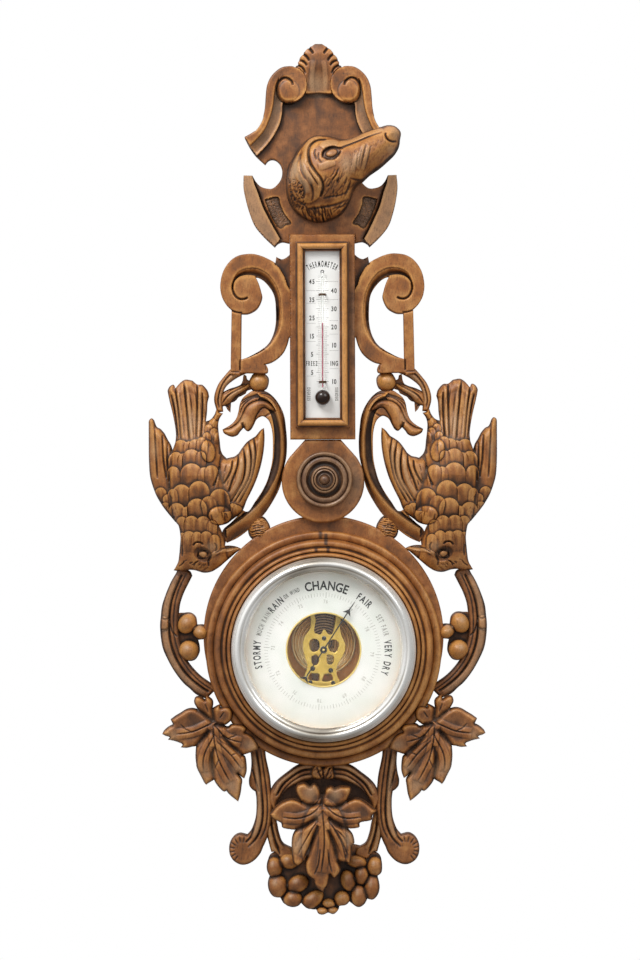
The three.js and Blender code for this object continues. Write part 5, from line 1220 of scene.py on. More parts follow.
leaflet.swell([(270, 80), (270, 100), (200, 150), (160, 190), (110, 200), (120, 135), (200, 100)], 4, 5)
leaflet.cut([(262, 85), (200, 118), (150, 150), (118, 195)], 1.2, 1.8, 1.0, 0.3)
leaflet.cut([(250, 75), (180, 110), (130, 140)], 0.9, 1.0, 0.7, 0.4)
leaflet.cut([(140, 200), (155, 210), (162, 230)], 0.9, 0.9, 0.7, 0.4)
leaflet.ridge([(240, 110), (190, 135), (150, 170)], 2, 0.8, 0.5, 0.4)
walnut_pair("twig_leaf", leaflet)

# %% [markdown]
# The birds hang head down, tail up, as game does. Their feathers are laid as the real carver laid them:
# rows of scales with a crisp rounded tip, each row lapping the roots of the one above it.

# %% Hanging birds
TAIL = [
    [(168, 300), (162, 250), (150, 190), (135, 130), (125, 80)], [(135, 60), (155, 50), (165, 70)],
    [(190, 40), (215, 25), (250, 30)], [(275, 50), (300, 52), (325, 80), (333, 110)],
]
BIRD = TAIL + [
    [(325, 140), (322, 190), (316, 235)],
    [(340, 225), (360, 200), (370, 175), (385, 190), (402, 195)],
    [(385, 220), (378, 250), (380, 290), (385, 330), (390, 375), (400, 400), (420, 420)],
    [(440, 415), (460, 410), (480, 395)], [(500, 365), (520, 340), (540, 325), (565, 310)],
    [(590, 280), (607, 268)],
    [(610, 310), (607, 370), (595, 440), (575, 510), (550, 570), (520, 630), (505, 670),
    (490, 695), (450, 725), (420, 747), (380, 757)],
    [(387, 770), (400, 800), (413, 830), (410, 857)],
    [(440, 857), (470, 863), (495, 875)],
    [(475, 885), (445, 910), (410, 940), (380, 965), (340, 988), (300, 992), (265, 980),
    (230, 977), (190, 985), (152, 980)],
    [(165, 960), (178, 930), (185, 870), (190, 820), (187, 790), (180, 755), (160, 735)],
    [(135, 705), (100, 660), (70, 610), (50, 560), (35, 500), (30, 400), (30, 300), (30, 235),
    (45, 218), (57, 228)],
    [(70, 260), (90, 272), (110, 295)], [(125, 325), (140, 350), (150, 380)], [(165, 340)],
]
BIRD_BODY = [
    (125, 80), (150, 200), (165, 310), (148, 400), (138, 500), (140, 600), (155, 700), (180, 770),
    (188, 840), (175, 930), (160, 975), (250, 980), (340, 985), (420, 930), (410, 840), (400, 780),
    (420, 700), (430, 600), (400, 500), (385, 400), (380, 300), (320, 240), (325, 120), (290, 50), (200, 40),
]
BIG_WING = [
    (360, 700), (345, 600), (350, 530), (380, 460), (420, 420), (460, 410), (500, 365), (540, 325),
    (607, 268), (607, 370), (575, 510), (520, 630), (490, 690), (420, 745),
]
BIRD_BACK, BIRD_FRONT = depths("bird_left")
BIRD_TOP = BIRD_FRONT - 1.5
WING_TOP = BIRD_BACK + 15


def bird_form(c):
    """The breast and head stand well out between two wings that lie flat."""
    body = c.ring(BIRD_BODY)
    swell = pillow(body, c.spot)
    wing = pillow(c.ring(BIG_WING), c.spot)
    flat = BIRD_BACK + 3 + (WING_TOP - BIRD_BACK - 3) * dome(c.rim / 7) * 0.8
    flat += 6.5 * np.sqrt(wing)
    down = (bird((0, 20))[1] - c.spot[:, 1]) / (bird((0, 20))[1] - bird((0, 990))[1])
    stand = np.interp(down, [0, 0.2, 0.35, 0.5, 0.7, 0.85, 1], [0.5, 0.55, 0.78, 1, 1, 0.95, 0.8])
    high = BIRD_BACK + 5 + (BIRD_TOP - BIRD_BACK - 5) * stand * swell**0.38
    return np.where(swell > 0, np.maximum(flat, high), flat)


game = Carving(bird, [outline(bird, BIRD)], BIRD_BACK, bird_form, 1.2, pitch=0.5)
for points in (
    [(165, 70), (180, 180), (193, 330)], [(207, 35), (225, 200), (236, 330)],
    [(275, 52), (275, 150), (270, 320)], [(300, 90), (300, 200), (292, 320)],
    [(145, 100), (165, 200), (178, 320)],
):
    game.cut(points, 1.5, 2.2, 1.0, 0.15)
    game.ridge([(x + 14, y + 10) for x, y in points], 1.3, 0.6, 0.35, 0.3)
for x, top, low in ((187, 90, 200), (200, 200, 310), (240, 100, 200), (250, 220, 320), (287, 120, 220),
                    (215, 60, 130), (262, 70, 150), (155, 120, 200), (310, 150, 280)):
    game.cut([(x, top), (x + 6, (top + low) / 2), (x + 10, low)], 0.9, 1.0, 0.6, 0.5)
game.tint((250, 250), 9, 18, pale=0.55)
game.tint((235, 345), 16, 3, tone=-0.5)
for points in ([(60, 250), (67, 380), (75, 520)], [(100, 300), (105, 420), (120, 520)],
               [(125, 340), (125, 440), (135, 540)]):
    game.cut(points, 1.5, 1.8, 0.9, 0.2)
game.tint((60, 380), 5, 16, pale=0.5)
game.tint((135, 500), 4, 26, tone=-0.6)
game.settle()
for tip, root, wide in (
    ((85, 565), (100, 640), 0.06), ((120, 600), (140, 680), 0.05), ((105, 642), (130, 710), 0.07),
    ((135, 655), (160, 720), 0.05),
):
    game.feather(tip, root, wide * BIRD_SPAN, 2.0, barbs=2)
for number, (tip, root, wide) in enumerate((
    ((355, 220), (345, 270), 0.035), ((375, 235), (360, 290), 0.035), ((330, 250), (335, 310), 0.04),
    ((360, 270), (355, 330), 0.04), ((380, 290), (375, 350), 0.035), ((322, 290), (325, 360), 0.04),
)):
    game.feather(tip, root, wide * BIRD_SPAN, 2.6, number, 2)
ROWS = [
    ((195, 328), 0.085), ((235, 335), 0.06), ((265, 325), 0.07), ((300, 315), 0.06), ((170, 388), 0.08),
    ((205, 395), 0.06), ((250, 375), 0.095), ((295, 385), 0.05), ((155, 460), 0.065), ((250, 445), 0.115),
    ((310, 465), 0.055), ((345, 455), 0.07), ((200, 550), 0.1), ((285, 533), 0.105), ((152, 572), 0.05),
    ((175, 642), 0.09), ((225, 660), 0.05), ((273, 620), 0.1), ((200, 710), 0.06), ((247, 706), 0.08),
    ((305, 708), 0.075), ((350, 730), 0.05), ((200, 790), 0.04), ((232, 782), 0.07), ((275, 785), 0.055),
    ((320, 783), 0.06), ((360, 800), 0.05),
]
FEATHER_LENGTH = 105
for number, ((x, y), wide) in enumerate(ROWS):
    game.feather((x, y), (x + 4 * (number % 3 - 1), y + FEATHER_LENGTH), wide * BIRD_SPAN, 3.0, number, 2)
game.bump((330, 385), 5.6, 9, 3.4, 8, tone=0.25)
for points in (
    [(450, 430), (446, 470), (430, 510), (405, 550)], [(480, 400), (475, 460), (450, 530), (430, 590)],
    [(505, 370), (515, 450), (500, 540), (440, 640)], [(530, 335), (545, 420), (530, 520), (460, 640)],
    [(555, 312), (565, 400), (545, 520), (480, 645)], [(385, 460), (375, 510), (355, 560)],
):
    game.cut(points, 1.4, 2.4, 1.1, 0.12)
for points in (
    [(516, 360), (530, 440), (515, 530), (450, 630)], [(543, 330), (556, 410), (538, 520), (470, 640)],
    [(490, 400), (495, 460), (475, 540), (435, 610)],
):
    game.ridge(points, 1.8, 1.0, 0.55, 0.3)
game.ridge([(600, 300), (597, 380), (570, 500), (510, 630)], 3.4, 1.4, 0.05, 0.2, 0.2)
for points in ([(410, 500), (400, 550)], [(420, 450), (410, 490)], [(430, 530), (425, 560)],
               [(370, 530), (360, 570)], [(470, 480), (460, 530)]):
    game.cut(points, 0.9, 0.9, 0.6, 0.5)
game.tint((420, 520), 9, 14, pale=0.3)
game.settle()
for number, (tip, root, wide) in enumerate((
    ((450, 645), (455, 730), 0.06), ((475, 655), (470, 730), 0.05), ((420, 655), (430, 730), 0.05),
    ((380, 573), (395, 690), 0.098), ((325, 610), (350, 720), 0.075),
)):
    game.feather(tip, root, wide * BIRD_SPAN, 2.6, number, 2)
game.bump((388, 705), 9.2, 7.4, 5.2, tone=0.3)
game.cut([(345, 700), (355, 735), (380, 755)], 1.2, 1.2, 0.8, 0.4)
game.cut([(400, 690), (420, 700), (425, 720)], 0.8, 0.7, 0.6, 0.5)
game.bump((303, 900), 8, 6, -2.4, -25, tone=-0.35)
game.bump((303, 898), 4, 2.6, 2.8, -30, pale=0.3)
for points, width, depth in (
    ([(275, 915), (280, 893), (300, 882), (325, 880)], 1.1, 1.8),
    ([(275, 915), (300, 920), (320, 905), (330, 885)], 1.0, 1.4),
    ([(252, 855), (270, 838), (293, 840), (305, 852)], 1.4, 2.2),
    ([(365, 892), (400, 872), (430, 868), (465, 866)], 1.3, 2.0),
    ([(180, 960), (200, 945), (210, 930)], 1.0, 1.2),
    ([(255, 960), (265, 940), (285, 930)], 1.2, 1.2),
    ([(195, 850), (200, 880), (197, 910)], 1.2, 1.4),
    ([(345, 900), (330, 930), (330, 960)], 1.6, 1.6),
    ([(360, 840), (370, 860), (365, 885)], 1.2, 1.4),
):
    game.cut(points, width, depth, 0.9, 0.3)
game.ridge([(340, 910), (380, 885), (430, 878), (480, 876)], 1.6, 1.2, 0.4, 0.3, 0.2)
game.tint((350, 860), 9, 6, pale=0.5)
game.tint((260, 870), 7, 7, tone=0.2)
game.strokes_of_fur([(200, 930), (260, 930), (340, 970), (250, 980)], 40, 20, 3, 0.7, 0.6, 9, 0.4)
walnut_pair("carved_bird", game, "bird", stain=0.15)

# %% [markdown]
# Vine stems bend round the ring from the scrolls down to the leaves. A stem shows two faces with a dark
# line between them. Three nuts sit in its crook.

# %% Vine stems and nuts
VINE = [
    [(170, 20), (240, 45), (260, 80)],
    [(235, 130), (200, 200), (175, 270), (165, 330), (160, 400), (165, 500), (180, 580), (205, 655),
     (250, 725), (310, 790), (370, 835), (440, 880)], [(360, 960)],
    [(290, 930), (240, 885), (190, 840), (130, 760), (85, 680), (50, 600), (35, 520), (30, 440), (35, 370),
     (45, 290), (75, 200), (110, 120), (145, 60)],
]
VINE_FRONT = depths("vine_left")[1]
STEM_FRONT = VINE_FRONT - 7
stem = Carving(vine, [outline(vine, VINE)], 0.3, STEM_FRONT, 3.0)
STEM_LINE = [
    (190, 70), (160, 130), (130, 200), (108, 280), (98, 360), (95, 440), (100, 520), (118, 600), (150, 680),
    (200, 760), (260, 825), (330, 880), (380, 910),
]
stem.cut(STEM_LINE, 1.5, 2.4, 1.0, 0.05)
stem.ridge([(x - 28, y + 10) for x, y in STEM_LINE], 2.6, 0.9, 0.5, 0.15)
stem.cut([(x + 32, y - 10) for x, y in STEM_LINE], 1.0, 1.0, 0.6, 0.1)
stem.bump((60, 420), 4.5, 6, 2.2, tone=0.2)
for points in ([(100, 420), (120, 480), (155, 515)], [(40, 380), (75, 390), (100, 370)],
               [(40, 460), (70, 465), (90, 450)]):
    stem.cut(points, 1.2, 1.6, 0.8, 0.4)
walnut_pair("carved_vine", stem, "vine", stain=-0.5)
NUTS = [((225, 420), 7.2, 8.8, -40), ((322, 485), 7.0, 5.4, -25), ((235, 615), 8.2, 8.2, 0)]
nut_ring = [
    [(150, 360), (200, 345), (250, 345), (285, 375), (295, 430)],
    [(340, 430), (375, 460), (385, 500), (350, 530), (300, 540)],
    [(310, 580), (310, 630), (280, 680), (230, 690), (180, 660)], [(150, 600), (130, 480)],
]
nuts = Carving(vine, [outline(vine, nut_ring)], 0.8, 7, 1.0, pitch=0.45)
for centre, wide, tall, turn in NUTS:
    nuts.ball(centre, wide, tall, 9, VINE_FRONT, turn, tone=0.15)
# A painted highlight at the upper left of each nut.
for (x, y), wide, tall, turn in NUTS:
    nuts.tint((x - 20, y - 25), 5, 5, pale=0.7)
walnut_pair("vine_nuts", nuts)

# %% [markdown]
# The leaves are thin carvings whose lobes curl out at the rim. Their form is a blown-up skin again, lower
# along the veins, with each vein cut as a line between two soft ridges.

# %% Vine leaves
LEAF = [
    [(345, 55), (380, 60), (415, 83)], [(430, 50), (460, 65), (485, 90), (490, 120), (485, 160)],
    [(520, 140), (550, 130), (555, 155)],
    [(600, 145), (640, 155), (665, 190), (665, 235), (650, 270), (610, 305), (585, 315)],
    [(620, 325), (650, 305), (700, 300), (760, 310), (790, 340), (780, 375)],
    [(830, 400), (865, 440), (890, 490), (895, 525)], [(860, 545), (800, 565), (755, 580)],
    [(775, 600), (785, 660), (785, 730), (765, 790)], [(740, 775), (710, 745)],
    [(745, 800), (740, 860), (730, 930), (710, 995)], [(670, 965), (630, 930), (605, 900)],
    [(580, 905), (545, 875), (510, 830), (495, 800)], [(445, 830), (425, 845)],
    [(405, 820), (380, 770), (345, 700), (335, 650), (330, 580), (335, 500)],
    [(300, 505), (250, 515), (200, 510)], [(215, 490), (205, 475)], [(150, 455), (85, 440)],
    [(100, 420), (60, 405), (35, 390)], [(50, 360), (90, 325), (130, 305)], [(110, 260)],
    [(150, 230), (200, 200), (250, 170), (300, 160), (350, 170)], [(320, 110), (325, 70)],
]
LEAF_VEINS = [
    [(485, 290), (400, 330), (300, 370), (160, 390)], [(510, 310), (560, 380), (620, 430), (740, 465)],
    [(490, 310), (500, 450), (540, 620), (640, 820)], [(500, 400), (420, 550), (400, 650), (410, 730)],
    [(520, 450), (650, 580), (740, 700)],
]
LEAF_BACK, LEAF_FRONT = depths("vine_leaf_left")


def leaf_form(rise, low):
    """A leaf's surface: hollow at its heart, rising to curled lobes."""

    def form(c):
        swell = np.sqrt(pillow(c.rims[0], c.spot))
        return low + rise * (0.35 * dome(c.rim / 5) + 0.65 * dome(c.rim / 3) * (1 - 0.55 * swell))

    return form


def veined(carving, veins, size):
    """Cuts a leaf's veins, with a soft ridge on both sides of each."""
    for vein in veins:
        carving.ridge(vein, 4.5 * size, 1.6 * size, 0, 0.4, 0.1)
        carving.cut(vein, 1.1 * size, 1.4, 0.7, 0.25)


vine_leaf = Carving(leaf, [outline(leaf, LEAF)],
                    LEAF_BACK, leaf_form(LEAF_FRONT - LEAF_BACK - 5, LEAF_BACK + 4), 1.0)
for points in ([(350, 170), (420, 220), (490, 290)], [(485, 160), (490, 220), (500, 290)],
               [(585, 315), (540, 310), (500, 300)], [(755, 580), (660, 500), (570, 400)],
               [(495, 800), (480, 650), (490, 500)], [(335, 500), (400, 420), (460, 350)]):
    vine_leaf.cut(points, 3.4, 3.2, 0.3, 0.4)
veined(vine_leaf, LEAF_VEINS, 1)
for points in ([(300, 370), (240, 340), (200, 300)], [(620, 430), (700, 400)], [(540, 620), (500, 700)],
               [(650, 580), (700, 560)], [(420, 120), (450, 200)], [(590, 190), (550, 250)]):
    vine_leaf.cut(points, 1.0, 1.0, 0.7, 0.5)
# Broad patches of painted sheen on the lobes.
for place, size in (((400, 720), 13), ((660, 860), 13), ((730, 700), 10), ((830, 490), 9), ((120, 410), 9)):
    vine_leaf.tint(place, size, size, pale=0.5)
vine_leaf.tint((500, 300), 12, 12, tone=-0.25)
walnut_pair("carved_vine_leaf", vine_leaf, "vine_leaf", stain=-0.22)

# %% [markdown]
# The bottom is an arch with two feet that curl up, drawn as one half each. A leaf laps over the arch, and
# the grapes hang behind it.

# %% Bottom scrollwork
ARCH = [(511, 55), (580, 60), (650, 85), (700, 120), (750, 160), (780, 200), (800, 260)]
ARCH_UNDER = [(765, 310), (750, 265), (720, 225), (680, 190), (630, 170), (570, 155), (511, 150)]
BASE_FRONT = depths("base_scroll")[1] - 2
half_arch = trace(base, ARCH[0], [ARCH[1:], ARCH_UNDER])
arch = Carving(base, [np.concatenate([half_arch, half_arch[::-1] * (-1, 1)])], 0.5, BASE_FRONT - 1.5, 3)


def on_side(side, points):
    """Points on the right half of the arch, or their mirror images where side is -1."""
    return [(BASE_AXIS + side * (x - BASE_AXIS), y) for x, y in points]


for side in (1, -1):
    arch.ridge(on_side(side, [(560, 85), (630, 95), (690, 135), (735, 175), (765, 230)]), 1.6, 0.9, 0.45, 0.2)
    arch.cut(on_side(side, [(550, 100), (620, 108), (680, 143), (725, 185), (755, 240)]), 1.5, 2.2, 1.0, 0.2)
    arch.cut(on_side(side, [(540, 125), (610, 130), (660, 155), (710, 200), (740, 250)]), 1.0, 1.2, 0.8, 0.3)
    arch.ridge(on_side(side, [(550, 135), (610, 142), (660, 168), (700, 200)]), 1.4, 0.7, 0.3, 0.3)
MOTIF = [
    (455, 100), (470, 75), (490, 85), (505, 100), (530, 80), (550, 85), (555, 110), (560, 140), (540, 170),
    (511, 175), (475, 165), (450, 130),
]
arch.flat(MOTIF, BASE_FRONT, 0.4)
arch.swell(MOTIF, 2.6, 4, tone=0.1)
for points in ([(505, 100), (507, 130), (508, 170)], [(475, 90), (485, 120), (500, 150)],
               [(540, 90), (530, 120), (515, 150)]):
    arch.cut(points, 1.4, 1.6, 1.0, 0.3)
arch.strokes_of_fur(MOTIF, 50, 30, 3, 0.7, 0.7, 10, 0.5)
arch.tint((520, 60), 50, 5, tone=-0.5)
in_walnut("carved_arch", arch, "base_scroll", stain=-0.2)
RECESS = [
    [(580, 130), (660, 150), (715, 190), (755, 240), (770, 300)], [(700, 330), (600, 320)], [(410, 320)],
    [(300, 330), (250, 320)], [(262, 250), (300, 190), (360, 150), (440, 130)],
]
recess = Carving(base, [outline(base, RECESS)], 1.2, 7, 1.5, pitch=1)
# Painted shade over the recess behind the arch.
recess.tint((510, 250), 90, 60, tone=-0.85)
in_walnut("arch_recess", recess, "base_scroll")
FOOT = [
    [(200, -30), (215, 50), (232, 130), (238, 180), (245, 270), (245, 340), (235, 410), (210, 475),
     (200, 495)],
    [(185, 530), (155, 565), (120, 585), (85, 588), (50, 570), (30, 540), (25, 505), (30, 475), (50, 445),
     (80, 430), (118, 438)], [(140, 410), (158, 360), (165, 310), (165, 250), (160, 215)],
    [(145, 205), (130, 185), (127, 155), (133, 130)], [(138, 100), (140, 60), (135, 0)],
]
foot = Carving(base, [outline(base, FOOT)], 0.3, BASE_FRONT - 1, 3.2)
foot.tint((90, 505), 12, 12, tone=0.3)
for points, width, depth in (
    ([(165, 0), (180, 100), (190, 200), (198, 300), (192, 380), (165, 450), (120, 500)], 1.5, 2.2),
    ([(188, 0), (205, 120), (218, 220), (222, 320), (212, 400), (185, 460)], 1.1, 1.2),
    ([(145, 100), (165, 170), (178, 220)], 1.2, 1.4),
    ([(150, 400), (140, 440), (110, 475)], 1.5, 1.8),
):
    foot.cut(points, width, depth, 0.9, 0.2)
foot.ridge([(150, 20), (170, 120), (180, 220), (182, 320), (170, 400), (145, 450)], 2.0, 0.9, 0.6, 0.15)
for turn in range(80, 250, 22):
    way = (math.cos(math.radians(turn)), -math.sin(math.radians(turn)))
    foot.cut([(92 + way[0] * reach, 512 + way[1] * reach) for reach in (70, 53, 36)], 1.1, 0.9, 0.5, 0.6)
walnut_pair("carved_foot", foot, "base_scroll", stain=-0.2)
INNER_STEM = [
    [(235, 250), (250, 300), (270, 380), (280, 430), (300, 480), (345, 505)],
    [(350, 540), (300, 560), (285, 555)], [(262, 525), (240, 525)], [(228, 480), (215, 420), (210, 300)],
]
inner_stem = Carving(base, [outline(base, INNER_STEM)], 1, BASE_FRONT - 3, 2.2, pitch=0.45)
inner_stem.cut([(235, 340), (250, 420), (270, 490), (285, 540)], 1.5, 2.2, 1.0, 0.2)
inner_stem.ridge([(225, 360), (235, 430), (250, 500), (275, 540)], 1.8, 1.2, 0.4, 0.2)
inner_stem.ridge([(250, 380), (270, 460), (300, 510)], 1.4, 0.8, 0.3, 0.3)
walnut_pair("inner_stem", inner_stem)

# %% [markdown]
# The bottom leaf is made as the vine leaves are, with deeper valleys between its lobes. The bunch is a low
# bed with sixteen grapes in it, each an oval ball with a painted highlight at its upper left, and painted
# shade lies on the bed between them.

# %% Bottom leaf and grapes
BASE_LEAF_LEFT = [
    [(480, 185), (460, 170), (440, 185)], [(410, 165), (375, 175), (365, 200), (375, 230), (395, 262)],
    [(345, 247), (300, 260), (265, 285), (232, 325)],
    [(250, 350), (290, 370), (300, 395), (350, 405), (365, 405)],
    [(352, 430), (345, 460), (345, 510), (352, 570), (375, 590)], [(400, 575), (425, 540)],
    [(413, 580), (420, 630), (455, 660)], [(460, 690), (480, 710), (505, 725)],
]
BASE_LEAF_RIGHT = [
    [(520, 700), (530, 680), (540, 635)], [(565, 650), (595, 610), (580, 565)], [(610, 570), (640, 577)],
    [(650, 540), (653, 490), (665, 470), (655, 430), (630, 400)],
    [(660, 400), (690, 393), (695, 370), (750, 358), (757, 335), (780, 310)],
    [(750, 285), (710, 255), (670, 245), (627, 260)], [(645, 220), (645, 190), (600, 183), (565, 195)],
    [(545, 183), (520, 195), (510, 220)], [(498, 220)],
]
BASE_LEAF_BACK, BASE_LEAF_FRONT = depths("base_leaf")
base_leaf = Carving(base, [outline(base, BASE_LEAF_LEFT + BASE_LEAF_RIGHT)], BASE_LEAF_BACK - 2,
                    leaf_form(BASE_LEAF_FRONT - BASE_LEAF_BACK - 7, BASE_LEAF_BACK + 5), 1.2)
base_leaf.bump((510, 470), 18, 36, 2.5)
for points in ([(395, 262), (440, 280), (500, 270)], [(627, 260), (570, 290), (510, 280)],
               [(365, 405), (420, 380), (480, 340)], [(630, 400), (580, 380), (530, 340)],
               [(425, 540), (450, 460), (480, 380)], [(580, 565), (560, 480), (530, 400)],
               [(497, 200), (500, 250), (503, 300)]):
    base_leaf.cut(points, 3.4, 3.4, 0.4, 0.35)
veined(base_leaf, [
    [(500, 270), (450, 320), (380, 345), (300, 340)], [(510, 270), (560, 320), (620, 345), (700, 340)],
    [(500, 300), (510, 400), (510, 500), (495, 620)], [(475, 360), (430, 430), (375, 530)],
    [(535, 360), (590, 440), (630, 530)],
], 1)
for points in ([(460, 420), (440, 480), (400, 560)], [(560, 400), (600, 470), (620, 550)],
               [(490, 500), (480, 580), (460, 630)], [(530, 500), (535, 560), (550, 620)],
               [(440, 290), (470, 270), (490, 240)], [(570, 400), (610, 440), (630, 480)]):
    base_leaf.cut(points, 1.1, 1.3, 0.8, 0.4)
# Broad patches of painted sheen on the lobes.
for place, size in (((440, 210), 9), ((375, 480), 12), ((640, 450), 11), ((570, 220), 8), ((475, 330), 6)):
    base_leaf.tint(place, size, size, pale=0.6)
base_leaf.tint((340, 370), 14, 5, tone=-0.5)
base_leaf.tint((600, 370), 18, 6, tone=-0.5)
in_walnut("carved_base_leaf", base_leaf, "base_leaf", stain=-0.2)
BUNCH = [
    [(360, 500), (250, 530), (222, 570), (217, 610), (232, 648)],
    [(222, 680), (228, 720), (250, 750), (285, 758)], [(305, 790), (345, 805), (375, 800), (392, 785)],
    [(420, 810), (450, 820), (470, 820)], [(480, 838), (500, 845), (525, 835)],
    [(540, 840), (560, 840), (585, 815)], [(590, 800), (620, 795), (638, 780)],
    [(665, 800), (690, 806), (715, 790), (730, 765)], [(760, 768), (785, 740), (793, 700), (783, 650)],
    [(803, 630), (805, 580), (790, 540), (730, 505)], [(620, 480), (500, 460)],
]
GRAPES = [
    (255, 603, 38, 45, 0), (330, 572, 42, 34, 10), (270, 700, 45, 52, 10), (375, 687, 50, 38, -25),
    (350, 765, 42, 38, 0), (450, 768, 55, 35, -35), (500, 825, 28, 18, 0), (533, 787, 30, 22, 10),
    (555, 822, 28, 18, 10), (600, 763, 35, 36, 20), (632, 672, 33, 48, -15), (700, 645, 32, 42, 0),
    (688, 752, 36, 52, -5), (755, 708, 36, 55, 5), (770, 600, 35, 43, 0), (675, 575, 46, 28, 10),
]
# Millimetres to a unit of the grapes' sizes above, and of the painted highlights on them.
GRAPE_SIZE, SPOT_SIZE = 0.186, 0.075
GRAPE_BACK, GRAPE_FRONT = depths("grapes")
bunch = Carving(base, [outline(base, BUNCH)], GRAPE_BACK, GRAPE_BACK + 8, 1.5)
# Painted shade on the bed between the grapes.
bunch.tint((511, 640), 50, 30, tone=-0.3)
for x, y, wide, tall, turn in GRAPES:
    bunch.ball((x, y), wide * GRAPE_SIZE, tall * GRAPE_SIZE, GRAPE_BACK + 9, GRAPE_FRONT, -turn, tone=-0.3)
# A painted highlight at the upper left of each grape.
for x, y, wide, tall, turn in GRAPES:
    bunch.tint((x - wide * 0.3, y - tall * 0.4), wide * SPOT_SIZE, tall * SPOT_SIZE, pale=0.65)
in_walnut("carved_grapes", bunch, "grapes")

# %% [markdown]
# Round pieces come off a lathe, so each is a profile, radius against depth, spun about its axis. The runs of
# a profile are smooth and meet in corners. Its own beads and hollows give every ring its tone, as on the
# carving: beads paler and hollows darker, for wear and wax and for painted sheen and shade. Points are left
# out where a face is plain.

# %% Turning
BEND = 0.02


def turned(name, place, runs, body, material, slot, *nodes, steps=220, mark=None, upright=False, shade=0.9):
    """Spins runs of (radius, depth), in millimetres, about an axis through place."""
    line = trace(np.asarray, runs[0][0], [run for run in (runs[0][1:], *runs[1:]) if run])
    soft = line.copy()
    for _ in range(8):
        soft[1:-1] = (soft[:-2] + soft[1:-1] * 2 + soft[2:]) / 4
    ahead = np.gradient(line, axis=0)
    ahead /= np.maximum(np.hypot(*ahead.T), 1e-9)[:, None]
    bulge = ((line - soft) * np.stack([ahead[:, 1], -ahead[:, 0]], 1)).sum(1)
    bend = abs(np.diff(ahead, axis=0, append=ahead[-1:])).sum(1) + abs(bulge)
    kept = np.convolve(bend, np.ones(3), "same") > BEND
    kept[[0, -1]] = True
    line, bulge = line[kept], bulge[kept]
    angle = np.arange(steps) / steps * 2 * math.pi
    radius, around = np.meshgrid(line[:, 0], angle, indexing="ij")
    reach = np.repeat(line[:, 1], steps)
    x, side = (radius * np.cos(around)).ravel(), (radius * np.sin(around)).ravel()
    if upright:
        points = np.stack([place[0] + x, side - place[1], reach], 1)
    else:
        points = np.stack([place[0] + x, -reach, place[1] + side], 1)
    # Beads paler and hollows darker: wear and wax, and painted sheen and shade.
    tone = np.clip(np.repeat(bulge, steps) / 0.5, -shade, shade)
    if mark:
        tone += mark(radius.ravel(), around.ravel())
    i, k = (part.ravel() for part in np.meshgrid(np.arange(len(line) - 1), np.arange(steps), indexing="ij"))
    a, b = i * steps + k, i * steps + (k + 1) % steps
    triangles = np.concatenate([np.stack([a, b, a + steps], 1), np.stack([b, b + steps, a + steps], 1)])
    _, first, same = np.unique(np.round(points * 2000).astype(int), axis=0, return_index=True,
                               return_inverse=True)
    triangles = same.ravel()[triangles]
    real = (triangles != np.roll(triangles, 1, 1)).all(1)
    piece = mesh_from(name, points[first] * MM, triangles[real], 35, tone=tone[first])
    dress(piece, body, material, slot, *nodes)
    print(name, real.sum(), "triangles")
    return piece


def in_place(points):
    """For pieces that are drawn in millimetres on the frame itself."""
    return np.asarray(points, float)


print("A turned profile keeps its points where it bends by more than", BEND)


# %% [markdown]
# The case ring is built up of a torus, a cove and two beads. The torus has small shakes near its top, where
# the wood has shrunk across the glue line.

# %% Ring board and case ring
DIAL = (0, DIAL_Z)
RING_RADIUS = (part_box("ring_board")[1].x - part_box("ring_board")[0].x) / 2 / MM
CASE_RING_WIDTH = 22.9
BORE = (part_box("case_ring")[1].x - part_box("case_ring")[0].x) / 2 / MM - CASE_RING_WIDTH


def shakes(radius, around):
    """Short dark cracks, listed as turn about the dial in degrees, from radius, to radius; the whole ring is
    also painted lighter on its right and a little darker at its top, as painted light.
    """
    # Painted light: the ring is lighter on its right and a little darker at its top.
    dark = 0.2 * np.cos(around) - 0.05 * np.sin(around)
    for turn, low, high in ((88.6, 83, 92), (87.2, 77, 82), (91.5, 88, 94), (94.2, 78, 81)):
        beside = abs(np.degrees(around) - turn) * math.pi / 180 * radius
        dark -= 1.6 * (beside < 0.8) * (radius > low) * (radius < high)
    return dark


turned("turned_ring_board", DIAL, [
    [(BORE, 0)], [(94.2, 0)], [(94.4, 8), (94.4, 14), (94.2, 18), (93.6, 20.4), (92.6, 21.6), (91.2, 21.9)],
    [(89.8, 21.7), (88.6, 21.2), (87.7, 20.6)], [(87.2, 22)], [(BORE, 22)], [(BORE, 0)],
], "frame", walnut_wood, "walnut", "ring_board", steps=260, mark=shakes, shade=0.6)
turned("turned_case_ring", DIAL, [
    [(BORE, 22)], [(87.1, 22)], [(87.4, 24.4), (87.3, 27), (86.6, 29.6), (85.5, 31), (84.2, 31.5),
                                 (82.8, 31.3)],
    [(81.6, 30.3), (80.8, 30.2)], [(80.6, 32.2), (80.1, 34.2), (79.2, 34.9), (78.2, 34.6)],
    [(77.9, 33.2), (77.3, 32.9)], [(77, 35.2), (76.4, 37), (75.4, 37.8), (74.4, 37.4)], [(73.8, 36)],
    [(BORE, 36)], [(BORE, 22)],
], "frame", walnut_wood, "walnut", "case_ring", steps=260, mark=shakes, shade=0.6)

# %% [markdown]
# Behind the ring a second disc, set a little higher, fills the angle up to the roundel.

